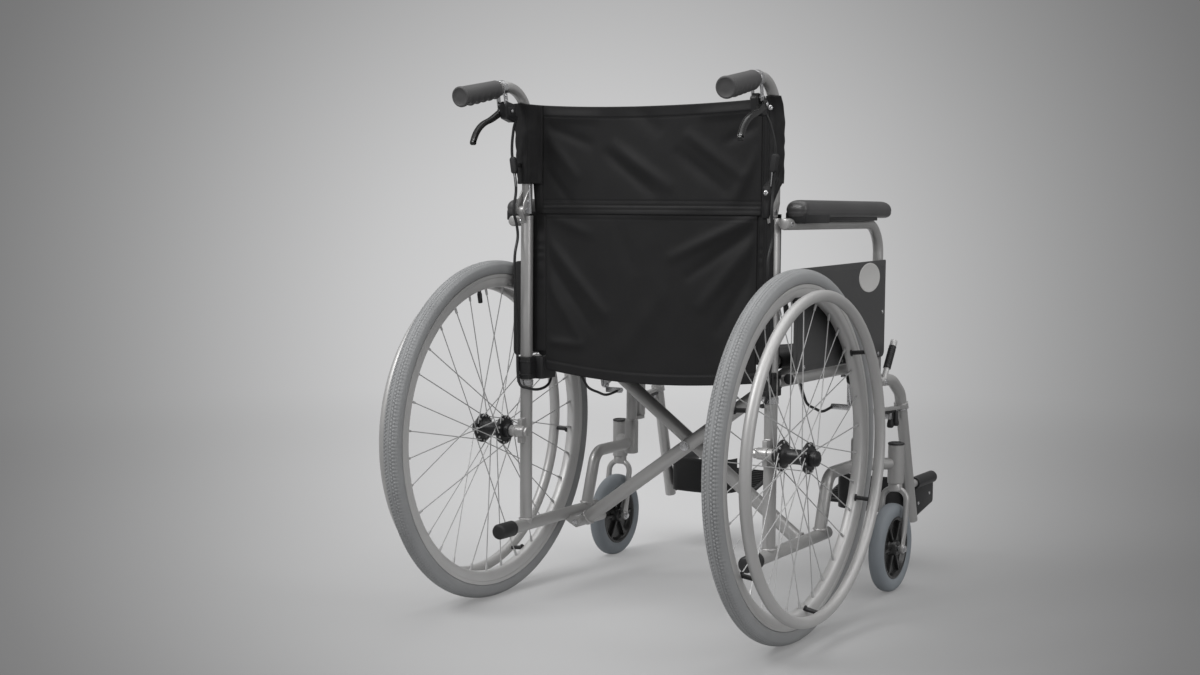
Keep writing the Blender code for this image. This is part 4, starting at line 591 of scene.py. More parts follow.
@dataclass(frozen=True)
class Finish:
    """A hard or rubber finish: its colour and shine, and how lived-in it looks."""

    name: str
    colour: Point
    roughness: float
    metallic: float = 0.0
    drift: float = 0.05
    dust: float = 0.04
    scuffs: float = 0.1
    grain_scale: float = 900.0
    grain_depth: float = 0.00002
    coat: float = 0.0
    coat_roughness: float = 0.15
    specular: float = 0.5

    def base(self, wiring: Wiring) -> tuple[object, Optional[bpy.types.NodeSocket]]:
        """The plain colour, and no height but the grain's."""
        return (*self.colour, 1), None

    def shine(self) -> dict[str, float]:
        """The shader's own plain values."""
        return {"Metallic": self.metallic, "Coat Weight": self.coat, "Coat Roughness": self.coat_roughness,
                "Specular IOR Level": self.specular}

    def material(self) -> bpy.types.Material:
        """The Blender material of this finish, made once."""
        found = bpy.data.materials.get(self.name)
        if found is not None:
            return found
        made = bpy.data.materials.new(self.name)
        made.use_nodes = True
        wiring = Wiring(made.node_tree)
        shader = made.node_tree.nodes["Principled BSDF"].inputs
        colour, height = self.base(wiring)
        life = wiring.add("ShaderNodeGroup", node_tree=Effect.surface(), Colour=colour, Roughness=self.roughness,
                          Drift=self.drift, Dust=self.dust, Scuffs=self.scuffs,
                          Grain_Scale=self.grain_scale).outputs
        bump = wiring.add("ShaderNodeBump", Strength=1.0, Distance=self.grain_depth,
                          Height=life["Height"] if height is None else height)
        wiring.feed(life["Colour"], shader["Base Color"])
        wiring.feed(life["Roughness"], shader["Roughness"])
        wiring.feed(bump.outputs[0], shader["Normal"])
        for label, value in self.shine().items():
            shader[label].default_value = value
        return made


@dataclass(frozen=True)
class ClothFinish(Finish):
    """A woven cloth, with its thread pitch and sheen."""

    roughness: float = 0.62
    drift: float = 0.1
    dust: float = 0.015
    scuffs: float = 0.16
    grain_scale: float = 260.0
    grain_depth: float = 0.00012
    specular: float = 0.45
    pitch: float = 0.0011
    sheen: float = 0.12

    def base(self, wiring: Wiring) -> tuple[object, Optional[bpy.types.NodeSocket]]:
        """The colour of the threads, with painted shade where they lie low and painted light where they stand high, and
        their height.
        """
        weave = wiring.add("ShaderNodeGroup", node_tree=Effect.weave(), Pitch=self.pitch).outputs
        # Painted shade darkens the low threads; painted light brightens the high ones.
        shaded_sunk, raised = ((*(share * part for part in self.colour), 1) for share in (0.72, 1.25))
        return wiring.mix(weave["Mask"], shaded_sunk, raised), weave["Height"]

    def shine(self) -> dict[str, float]:
        """The shader's own plain values."""
        return {"Sheen Weight": self.sheen, "Sheen Roughness": 0.45, "Specular IOR Level": self.specular}


class Look:
    """The finishes of this chair."""

    PAINT = Finish("silver_powder_paint", (0.47, 0.465, 0.46), 0.38, metallic=0.55, drift=0.03, grain_scale=1500.0,
                   grain_depth=0.00004)
    ALLOY = Finish("satin_alloy", (0.53, 0.525, 0.52), 0.48, metallic=0.5, drift=0.03, grain_scale=2200.0)
    RIM = Finish("rim_alloy", (0.6, 0.595, 0.59), 0.46, metallic=0.4, drift=0.03, grain_scale=1800.0)
    STEEL = Finish("bright_zinc", (0.66, 0.66, 0.67), 0.26, metallic=0.95, drift=0.06, scuffs=0.18)
    SPOKE = Finish("satin_spoke_steel", (0.5, 0.5, 0.5), 0.48, metallic=0.35, drift=0.02, scuffs=0.04)
    WELD = Finish("painted_weld", (0.52, 0.515, 0.51), 0.42, metallic=0.5, drift=0.08, grain_scale=500.0,
                  grain_depth=0.0002)
    TYRE = Finish("grey_tyre_rubber", (0.285, 0.29, 0.295), 0.72, drift=0.07, dust=0.1, grain_scale=700.0,
                  grain_depth=0.0001)
    CASTER_TYRE = Finish("blue_grey_caster_rubber", (0.215, 0.237, 0.258), 0.62, drift=0.06, dust=0.08)
    HUB = Finish("black_hub_plastic", (0.013, 0.013, 0.014), 0.36, drift=0.1)
    PLASTIC = Finish("black_moulded_plastic", (0.018, 0.018, 0.019), 0.46, drift=0.1, grain_scale=1300.0,
                     grain_depth=0.00008)
    GLOSS = Finish("black_gloss_plastic", (0.016, 0.016, 0.017), 0.24, drift=0.08, coat=0.4)
    GRIP = Finish("dark_grey_grip_rubber", (0.072, 0.071, 0.072), 0.55, drift=0.1, grain_scale=1100.0,
                  grain_depth=0.00012)
    VINYL = Finish("black_foam_skin", (0.052, 0.051, 0.052), 0.32, drift=0.1, grain_scale=1700.0,
                   grain_depth=0.00016, coat=0.15, coat_roughness=0.3)
    PANEL = Finish("dark_grey_panel", (0.062, 0.062, 0.063), 0.52, drift=0.05, grain_scale=1500.0,
                   grain_depth=0.0001)
    BADGE = Finish("pale_blank_disc", (0.56, 0.555, 0.545), 0.45, drift=0.03)
    CLOTH = ClothFinish("black_nylon_cloth", (0.0092, 0.009, 0.0096), roughness=0.6, sheen=0.03, specular=0.34)
    WEBBING = ClothFinish("black_webbing", (0.011, 0.011, 0.0115), grain_depth=0.00025, pitch=0.0017, sheen=0.06)
    THREAD = Finish("black_thread", (0.016, 0.016, 0.017), 0.6)


class Side(Enum):
    """The sitter's left and right."""

    LEFT = "left"
    RIGHT = "right"


def give_wall(piece: bpy.types.Object, thickness: float) -> None:
    """Give a sheet its thickness."""
    wall = piece.modifiers.new("cloth", "SOLIDIFY")
    wall.thickness = thickness
    wall.offset = 0.0


class Bench:
    """Turns finished shapes into pieces of the chair."""

    def __init__(self, axle_y: float) -> None:
        """Keep where the rear axle lies in the frame's own coordinates."""
        self.shift = Matrix.Translation((0, axle_y, 0))

    def point(self, place: Spot) -> Point:
        """A place that is written from the axle, in the frame's own coordinates."""
        return tuple(self.shift @ Vector(place))

    def put(self, name: str, shape: Shape, look: Finish, body: str, replaces: Sequence[str] = (),
            crease: float = 38.0) -> bpy.types.Object:
        """Make one piece that rides on a body.

        Args:
            name: The piece's name.
            shape: Its mesh, written from the axle.
            look: Its finish.
            body: The body that it rides on, or nothing to leave it on no body.
            replaces: The CAD nodes that it stands for.
            crease: Edges that turn by more than this stay sharp, in degrees.

        Returns:
            The piece.
        """
        bmesh.ops.transform(shape.mesh, matrix=self.shift, verts=shape.mesh.verts)
        mesh = bpy.data.meshes.new(name)
        shape.mesh.to_mesh(mesh)
        shape.mesh.free()
        mesh.materials.append(look.material())
        mesh.shade_smooth()
        mesh.set_sharp_from_angle(angle=math.radians(crease))
        piece = bpy.data.objects.new(name, mesh)
        bpy.context.scene.collection.objects.link(piece)
        if body:
            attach(piece, body)
        if replaces:
            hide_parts(*replaces)
        LOG.info("%s: %d faces on %s", name, len(mesh.polygons), body or "two bodies")
        return piece

    def pair(self, name: str, make: Callable[[], Shape], look: Finish, body: str, slot: str,
             replaces: Sequence[str] = (), crease: float = 38.0) -> dict[Side, bpy.types.Object]:
        """Make a piece for the left and its mirror image for the right, with names and bodies of each side."""
        shape = make()
        shapes = {Side.RIGHT: shape.mirrored(), Side.LEFT: shape}
        return {side: self.put(f"{side.value}_{name}", shapes[side], look, f"{side.value}_{body}" if body else "",
                               [f"{side.value}_{node}" for node in replaces], crease)
                for side in (Side.LEFT, Side.RIGHT)}


# The studio


@dataclass
class Studio:
    """Camera, floor, backdrop and lamps."""

    camera_at: Point = (-1.402, 2.411, 0.704)
    yaw: float = 31.49
    pitch: float = -4.5
    roll: float = 0.44
    lens: float = 49.11
    reach: float = 9.0
    height: float = 9.0
    ambient: float = 0.52

    def build(self, bench: Bench) -> None:
        """Set up everything that isn't part of the chair."""
        self.camera(bench)
        self.surfaces(bench)
        self.lamps(bench)
        bpy.context.scene.view_settings.view_transform = "Standard"

    def heading(self) -> Vector:
        """The direction that the middle of the picture looks in."""
        yaw, pitch = math.radians(self.yaw), math.radians(self.pitch)
        return Vector((math.sin(yaw) * math.cos(pitch), -math.cos(yaw) * math.cos(pitch), math.sin(pitch)))

    def camera(self, bench: Bench) -> None:
        """Place the camera behind the chair, a little to its right."""
        ahead = self.heading()
        right = ahead.cross(Vector((0, 0, 1))).normalized()
        up = right.cross(ahead)
        roll = math.radians(self.roll)
        across = right * math.cos(roll) + up * math.sin(roll)
        over = up * math.cos(roll) - right * math.sin(roll)
        data = bpy.data.cameras.new("studio_camera")
        data.lens = self.lens
        data.sensor_width = 36.0
        holder = bpy.data.objects.new("studio_camera", data)
        holder.matrix_world = (Matrix.Translation(bench.point(self.camera_at))
                               @ Matrix((across, over, -ahead)).transposed().to_4x4())
        bpy.context.scene.collection.objects.link(holder)
        bpy.context.scene.camera = holder

    def painted_light_fan(self, wiring: Wiring, bench: Bench) -> bpy.types.NodeSocket:
        """Painted light on the paper sweep: a broad pale fan of light, in greys, behind the chair that dims to its
        sides.
        """
        flat = Vector((*self.heading().xy, 0)).normalized()
        way = wiring.vector("SUBTRACT", wiring.add("ShaderNodeTexCoord").outputs["Object"],
                            bench.point(self.camera_at))
        level = wiring.vector("MULTIPLY", way, (1, 1, 0))
        along = wiring.vector("DOT_PRODUCT", wiring.vector("NORMALIZE", level), flat)
        aside = wiring.math("ARCCOSINE", wiring.math("MINIMUM", along, 0.99999))
        climb = wiring.math("ARCTAN2", wiring.add("ShaderNodeSeparateXYZ", way).outputs["Z"],
                            wiring.vector("LENGTH", level))
        rise = wiring.math("ADD", climb, math.radians(-self.pitch))
        off = wiring.math("SQRT", wiring.math("ADD", wiring.math("POWER", aside, 2.0),
                                              wiring.math("POWER", rise, 2.0)))
        ramp = wiring.add("ShaderNodeValToRGB", wiring.math("DIVIDE", off, math.radians(60)))
        ramp.color_ramp.interpolation = "B_SPLINE"
        # Greys of the painted light fan by angle off its middle. Past the picture's edge it brightens again as painted
        # light for reflections.
        fan_light_stops = [(0.0, 0.62), (4.0, 0.62), (7.0, 0.6), (10.0, 0.512), (13.0, 0.421), (16.0, 0.327), (19.0, 0.252),
                 (22.0, 0.188), (26.0, 0.145), (40.0, 0.24), (60.0, 0.3)]
        marks = ramp.color_ramp.elements
        while len(marks) < len(fan_light_stops):
            marks.new(0.5)
        for mark, (angle, grey) in zip(marks, fan_light_stops):
            mark.position = angle / 60.0
            mark.color = (grey, grey, grey * 1.005, 1)
        return ramp.outputs[0]

    def paper(self, name: str, bench: Bench, near: float, far: float) -> bpy.types.Material:
        """The sweep's paper: lit near the chair, with at least a third of glowing painted light blended in there, and
        only glowing painted light in the picture's distance and in reflections.
        """
        made = bpy.data.materials.new(name)
        made.use_nodes = True
        wiring = Wiring(made.node_tree)
        made.node_tree.nodes.clear()
        painted_light_fan = self.painted_light_fan(wiring, bench)
        path = wiring.add("ShaderNodeLightPath").outputs
        seen = wiring.math("MAXIMUM", wiring.math("MAXIMUM", path["Is Camera Ray"], path["Is Glossy Ray"]),
                           path["Is Transmission Ray"])
        # The glow is the painted light fan: a glowing surface that is no lamp.
        glow = wiring.add("ShaderNodeEmission", painted_light_fan)
        if far > 0:
            base = wiring.add("ShaderNodeBsdfPrincipled", painted_light_fan, Roughness=0.9, Specular_IOR_Level=0.0)
            away = wiring.vector("LENGTH", wiring.add("ShaderNodeTexCoord").outputs["Object"])
            # At least 0.35 of the floor near the chair glows with painted light for camera and reflection rays, which
            # paints the chair's shadow lighter.
            reach = wiring.add("ShaderNodeMapRange", away, interpolation_type="SMOOTHSTEP", From_Min=near,
                               From_Max=far, To_Min=0.35)
            share = wiring.math("MULTIPLY", reach.outputs[0], seen)
        else:
            base, share = wiring.add("ShaderNodeBsdfTransparent"), seen
        blend = wiring.add("ShaderNodeMixShader", share, base.outputs[0], glow.outputs[0])
        wiring.add("ShaderNodeOutputMaterial", blend.outputs[0])
        return made

    def surfaces(self, bench: Bench) -> None:
        """The floor and the round backdrop."""
        floor = bmesh.new()
        bmesh.ops.create_circle(floor, cap_ends=True, segments=96, radius=self.reach)
        wall = bmesh.new()
        ring = bmesh.ops.create_circle(wall, cap_ends=False, segments=96, radius=self.reach)
        draw_out(wall, list({edge for vert in ring["verts"] for edge in vert.link_edges}),
                 Vector((0, 0, self.height)))
        for name, part, near, far in (("studio_floor", floor, 1.5, 3.6), ("studio_backdrop", wall, 0.0, 0.0)):
            mesh = bpy.data.meshes.new(name)
            part.to_mesh(mesh)
            part.free()
            mesh.materials.append(self.paper(name, bench, near, far))
            holder = bpy.data.objects.new(name, mesh)
            bpy.context.scene.collection.objects.link(holder)

    def lamps(self, bench: Bench) -> None:
        """Soft boxes over and beside the chair, and an even room light."""
        world = bpy.data.worlds.new("studio_room")
        world.use_nodes = True
        world.node_tree.nodes["Background"].inputs["Color"].default_value = (1.0, 1.0, 1.0, 1)
        world.node_tree.nodes["Background"].inputs["Strength"].default_value = self.ambient
        bpy.context.scene.world = world
        for name, place, size, power in (("key_box", (1.35, 2.58, 3.2), (1.4, 1.2), 74.0),
                                         ("top_box", (0.0, -0.2, 4.2), (4.0, 4.0), 66.0),
                                         ("side_box", (-3.2, 0.6, 1.9), (1.6, 2.2), 24.0)):
            data = bpy.data.lights.new(name, "AREA")
            data.shape = "RECTANGLE"
            data.size, data.size_y = size
            data.energy = power
            lamp = bpy.data.objects.new(name, data)
            lamp.location = bench.point(place)
            aim = Vector(bench.point((0.0, -0.15, 0.4))) - lamp.location
            lamp.rotation_euler = aim.to_track_quat("-Z", "Y").to_euler()
            lamp.visible_camera = False
            bpy.context.scene.collection.objects.link(lamp)


# Rolling gear


@dataclass
class RearWheel:
    """Tyre, rim, hub, spokes and push ring of a rear wheel."""

    x: float = 0.2986
    radius: float = 0.305
    bead: float = 0.281
    rim_half: float = 0.0125
    rim_inner: float = 0.257
    blocks: int = 300
    block_depth: float = 0.0008
    flanges: tuple[float, float] = (0.2755, 0.3224)
    flange_radius: float = 0.026
    hub_ends: tuple[float, float] = (0.261, 0.3362)
    spokes: int = 32
    ring_x: float = 0.3386
    ring_radius: float = 0.263
    ring_tube: float = 0.0095
    tabs: int = 6
    tab_turns: tuple[float, float] = (23.5, 7.0)

    def centre(self) -> Point:
        """The middle of the hub's axis."""
        return (0, 0, self.radius)

    def around(self, x: float, radius: float, angle: float) -> Point:
        """A place on the wheel: across, from the axle, and turned from the top towards the back."""
        return (x, radius * math.sin(angle), self.radius + radius * math.cos(angle))

    def tyre(self) -> Shape:
        """The grey tyre with its small tread blocks."""
        half = [(a, self.radius - deep) for a, deep in (
            (0.0, 0.0), (0.0018, 0.0001), (0.0021, 0.0008), (0.0029, 0.0008), (0.0032, 0.0002), (0.0058, 0.0006),
            (0.0061, 0.0014), (0.0068, 0.0016), (0.0071, 0.001), (0.01, 0.0023), (0.0103, 0.0031), (0.0109, 0.0034),
            (0.0112, 0.0032), (0.0136, 0.0058), (0.0144, 0.0072), (0.0152, 0.0096), (0.0159, 0.0125), (0.016, 0.015),
            (0.0156, 0.018), (0.0146, 0.0206), (0.0132, 0.0226), (0.0124, 0.0234))] + [(0.0119, self.bead + TOUCH)]
        profile = [(-a, r) for a, r in half[:0:-1]] + half
        pitch = math.tau / self.blocks

        def tread(co: Vector, angle: float) -> Vector:
            """Press the grooves between the blocks."""
            span = math.hypot(co.y, co.z)
            across = abs(co.x)
            if span < self.radius - 0.0068 or across < 0.003:
                return co
            phase = (angle / pitch + (0.5 if (across > 0.0064) != (co.x > 0) else 0.0)) % 1.0
            groove = 1.0 if phase < 0.37 or phase > 0.98 else 0.0
            fade = min(1.0, (span - self.radius + 0.0068) / 0.0012)
            scale = (span - groove * fade * self.block_depth) / span
            return Vector((co.x, co.y * scale, co.z * scale))

        return Shape().lathe([(self.x + a, r) for a, r in profile], Axis.X, self.centre(), self.blocks * 4,
                             lambda co, angle: tread(co - Vector((self.x, 0, 0)), angle) + Vector((self.x, 0, 0)))

    def rim(self) -> Shape:
        """The rim with its hooked edges and sloping walls."""
        half = [(self.rim_half, self.bead - 0.0003), (self.rim_half, 0.2752), (0.0119, 0.2743), (0.0112, 0.2738),
                (0.0109, 0.2705), (0.0106, 0.266), (0.0096, 0.262), (0.008, 0.2588), (0.0056, self.rim_inner)]
        profile = [(self.x + a, r) for a, r in half] + [(self.x - a, r) for a, r in half[::-1]]
        return Shape().lathe(profile, Axis.X, self.centre(), 160)

    def spoke_ends(self) -> list[tuple[Point, Point, float]]:
        """Each spoke's place on its flange and on the rim, and the side of the flange it leaves from."""
        pitch = math.tau / self.spokes
        ends = []
        for hole in range(self.spokes):
            flange = self.flanges[hole % 2]
            row = 1 if hole % 4 in (2, 3) else -1
            angle = (hole + 0.5) * pitch
            start = self.around(flange + row * 0.0031, 0.0228, angle)
            end = self.around(self.x + row * 0.00125, self.rim_inner + 0.0006, angle + row * 6 * pitch)
            ends.append((start, end, row))
        return ends

    def wires(self) -> Shape:
        """The crossing steel spokes with their nipples."""
        shape = Shape()
        for start, end, row in self.spoke_ends():
            first, last = Vector(start), Vector(end)
            foot = last + (first - last).normalized() * 0.013
            shape.rod(start, end, 0.00095, 6, 0)
            shape.rod(foot, end, 0.002, 6, 0, 0.0024)
            for low, high, radius, sides in ((-0.007, 0.0006, 0.0012, 6), (-0.0076, -0.006, 0.0021, 8)):
                shape.rod((start[0] + row * low, *start[1:]), (start[0] + row * high, *start[1:]), radius, sides, 0)
        return shape

    def hub(self) -> Shape:
        """The black hub shell with two large flanges."""
        inner, outer = self.flanges
        low, high = self.hub_ends
        profile = [(low, 0.0066), (low, 0.0118), (low + 0.0012, 0.013), (inner - 0.0031, 0.0136),
                   (inner - 0.0025, 0.015), (inner - 0.0025, 0.025), (inner - 0.0015, self.flange_radius),
                   (inner + 0.0015, self.flange_radius), (inner + 0.0025, 0.025), (inner + 0.003, 0.0205),
                   (inner + 0.0058, 0.0158), (inner + 0.0105, 0.0132), (inner + 0.015, 0.0124),
                   (outer - 0.015, 0.0124), (outer - 0.0105, 0.0132), (outer - 0.0058, 0.0158),
                   (outer - 0.003, 0.0205), (outer - 0.0025, 0.025), (outer - 0.0015, self.flange_radius),
                   (outer + 0.0015, self.flange_radius), (outer + 0.0025, 0.025), (outer + 0.0025, 0.015),
                   (outer + 0.0032, 0.0136), (high - 0.0012, 0.013), (high, 0.0118), (high, 0.0066)]
        return Shape().lathe(profile, Axis.X, self.centre(), 64)

    def ring(self) -> Shape:
        """The push ring."""
        profile = [(self.ring_x + a, r) for a, r in arc((0, self.ring_radius), self.ring_tube, 0, 360, 20)[:-1]]
        return Shape().lathe(profile, Axis.X, self.centre(), 160)

    def standoffs(self, turn: float) -> Shape:
        """The black posts between the rim's wall and the push ring, with the first one turned from the top."""
        shape = Shape()
        for index in range(self.tabs):
            angle = math.radians(turn + 360 * index / self.tabs)
            rim = self.around(self.x + 0.0062, self.rim_inner + 0.0006, angle)
            ring = self.around(self.ring_x - 0.0074, self.ring_radius - 0.001, angle)
            shape.rod(rim, ring, 0.0038, 16, 0.0006, 0.0036)
            shape.rod(rim, self.around(self.x + 0.009, self.rim_inner + 0.0012, angle), 0.0062, 18, 0.0008)
        return shape

    def valve(self) -> Shape:
        """The black valve stem with its cap."""
        angle = math.radians(10.5)
        shape = Shape().rod(self.around(self.x, 0.2575, angle), self.around(self.x, 0.238, angle), 0.0034, 12,
                            0.0004)
        shape.rod(self.around(self.x, 0.252, angle), self.around(self.x, 0.234, angle), 0.0044, 12, 0.001, 0.004)
        return shape

    def axle(self) -> Shape:
        """The quick axle's shaft with its inner nut."""
        shape = Shape().rod((0.231, 0, self.radius), (self.hub_ends[1], 0, self.radius), 0.0059, 24, 0.0004)
        return shape.hexagon((0.2307, 0, self.radius), (-1, 0, 0), 0.016, 0.006)

    def button(self) -> Shape:
        """The axle's black domed end."""
        end = self.hub_ends[1] + TOUCH
        return Shape().lathe([(end, 0), (end, 0.0125), (end + 0.0016, 0.0125), (end + 0.0026, 0.0114),
                              (end + 0.0036, 0.0082), (end + 0.005, 0.0068), (end + 0.006, 0.004),
                              (end + 0.0062, 0)], Axis.X, self.centre(), 32)

    def build(self, bench: Bench) -> None:
        """Make both rear wheels."""
        bench.pair("tread_tyre", self.tyre, Look.TYRE, "wheel", "grey_tyre", ["tyre"], 24)
        bench.pair("hooked_rim", self.rim, Look.RIM, "wheel", "alloy", ["rim"])
        bench.pair("wire_spokes", self.wires, Look.SPOKE, "wheel", "bright_steel", ["hub_with_spokes"])
        bench.pair("hub_shell", self.hub, Look.HUB, "wheel", "black_hub", ["hub_with_spokes"])
        bench.pair("push_ring", self.ring, Look.ALLOY, "wheel", "alloy", ["hand_rim"])
        for side, turn in zip(Side, self.tab_turns):
            posts = self.standoffs(turn)
            bench.put(f"{side.value}_ring_posts", posts if side is Side.LEFT else posts.mirrored(), Look.PLASTIC,
                      f"{side.value}_wheel", [f"{side.value}_hand_rim"])
        bench.pair("valve_stem", self.valve, Look.PLASTIC, "wheel", "black_plastic")
        bench.pair("quick_axle", self.axle, Look.PAINT, "side", "bright_steel", ["wheel_axle"])
        bench.pair("axle_button", self.button, Look.HUB, "side", "black_hub", ["wheel_axle"])


@dataclass
class Caster:
    """A front caster: tyre, hub, fork and cap."""

    x: float = 0.298
    stem_y: float = -0.447
    axle_y: float = -0.428
    radius: float = 0.082
    bead: float = 0.058
    boss_half: float = 0.0155
    fork_half: float = 0.0235
    fork_tube: float = 0.0055
    crown_z: float = 0.189
    housing_bottom: float = 0.2
    housing_top: float = 0.272
    ribs: int = 6

    def centre(self) -> Point:
        """The middle of the caster's axle."""
        return (self.x, self.axle_y, self.radius)

    def tyre(self) -> Shape:
        """The rounded rubber tyre."""
        half = [(0.0, 0.082), (0.0035, 0.08185), (0.0066, 0.0811), (0.0092, 0.0797), (0.0113, 0.0777),
                (0.0128, 0.075), (0.0137, 0.072), (0.014, 0.069), (0.0138, 0.0655), (0.0131, 0.0625),
                (0.0121, 0.0602), (0.0113, 0.0586), (0.0108, self.bead)]
        return Shape().lathe([(-a, r) for a, r in half[:0:-1]] + half, Axis.X, self.centre(), 96)

    def hub(self) -> Shape:
        """The moulded hub: rim ring, web, ribs and boss."""
        rim = self.bead - TOUCH
        ring = [(0.0108, rim), (0.0112, rim - 0.0008), (0.0112, rim - 0.0035), (0.0104, rim - 0.0048),
                (0.0098, rim - 0.0056), (0.005, rim - 0.0075), (0.0026, rim - 0.01), (0.0024, 0.018),
                (0.005, 0.016), (0.011, 0.0144), (self.boss_half - 0.001, 0.0136), (self.boss_half, 0.0126),
                (self.boss_half, 0.0044)]
        profile = ring + [(-a, r) for a, r in ring[::-1]]
        shape = Shape().lathe(profile, Axis.X, self.centre(), 72)
        for index in range(self.ribs):
            turn = Matrix.Translation(self.centre()) @ Matrix.Rotation(math.tau * index / self.ribs, 4, "X")
            rib = Shape().plate(band_outline([(0.0125, 0.0), (0.03, 0.0), (0.052, 0.0)], [0.0036, 0.0026, 0.004]),
                                Axis.X, -0.009, 0.009, 0.001)
            shape.take(rib.turned(turn).mesh)
        return shape

    def fork(self) -> Shape:
        """The arched tube fork with flattened ends, its crown and stem."""
        x, y, z, half = self.x, self.axle_y, self.radius, self.fork_half
        arch = Shape().tube([(x - half, y, z - 0.004), (x - half, self.stem_y, self.crown_z),
                             (x + half, self.stem_y, self.crown_z), (x + half, y, z - 0.004)], self.fork_tube, 0.02,
                            20, 8, 0.001)
        bmesh.ops.subdivide_edges(arch.mesh, edges=[edge for edge in arch.mesh.edges if edge.calc_length() > 0.05],
                                  cuts=12, use_grid_fill=True)
        for vert in arch.mesh.verts:
            low = max(0.0, min(1.0, (z + 0.034 - vert.co.z) / 0.024))
            low = low * low * (3 - 2 * low)
            side = math.copysign(half, vert.co.x - x) + x
            spine = y + (self.stem_y - y) * (vert.co.z - z) / (self.crown_z - z)
            if low > 0:
                vert.co.x = side + (vert.co.x - side) * (1 - 0.5 * low)
                vert.co.y = spine + (vert.co.y - spine) * (1 + 0.55 * low)
        arch.rod((x, self.stem_y, self.crown_z - 0.003), (x, self.stem_y, self.housing_top - 0.012), 0.0079, 20)
        arch.lathe([(self.crown_z - 0.004, 0), (self.crown_z - 0.004, 0.0105), (self.crown_z - 0.002, 0.013),
                    (self.housing_bottom - 0.0014, 0.013), (self.housing_bottom - TOUCH, 0.0122),
                    (self.housing_bottom - TOUCH, 0)], Axis.Z, (x, self.stem_y, 0), 40)
        for side in (-1, 1):
            arch.rod((x + side * (half - 0.004), y, z), (x + side * (half + 0.0034), y, z), 0.0088, 28, 0.001)
        return arch

    def bolt(self) -> Shape:
        """The axle bolt with its head, nut and washers."""
        x, y, z, half = self.x, self.axle_y, self.radius, self.fork_half
        shape = Shape().rod((x - half - 0.004, y, z), (x + half + 0.004, y, z), 0.0039, 16)
        for side in (-1, 1):
            face = x + side * (half + 0.0034)
            shape.rod((face, y, z), (face + side * 0.0009, y, z), 0.0074, 24, 0.0002)
            shape.hexagon((face + side * 0.0009, y, z), (side, 0, 0), 0.01, 0.0028)
            spacer = x + side * (self.boss_half + TOUCH)
            shape.rod((spacer, y, z), (x + side * (half - 0.0042), y, z), 0.0062, 20, 0.0003)
        return shape

    def cap(self) -> Shape:
        """The black cap pressed into the top of the caster housing."""
        top = self.housing_top + TOUCH
        return Shape().lathe([(top - 0.008, 0), (top - 0.008, 0.0078), (top, 0.0078), (top, 0.0153),
                              (top + 0.0018, 0.0155), (top + 0.0033, 0.0145), (top + 0.0042, 0.012),
                              (top + 0.0042, 0.0098), (top + 0.003, 0.009), (top + 0.0026, 0)], Axis.Z,
                             (self.x, self.stem_y, 0), 40)

    def build(self, bench: Bench) -> None:
        """Make both casters."""
        bench.pair("caster_rubber", self.tyre, Look.CASTER_TYRE, "caster", "grey_tyre", ["caster_tyre"])
        bench.pair("caster_spider", self.hub, Look.GLOSS, "caster", "black_gloss_plastic", ["caster_hub"])
        bench.pair("arch_fork", self.fork, Look.PAINT, "fork", "silver_paint", ["caster_fork"])
        bench.pair("caster_bolt", self.bolt, Look.STEEL, "fork", "bright_steel")
        bench.pair("stem_cap", self.cap, Look.PLASTIC, "side", "black_plastic", ["housing_cap"])


# Frame


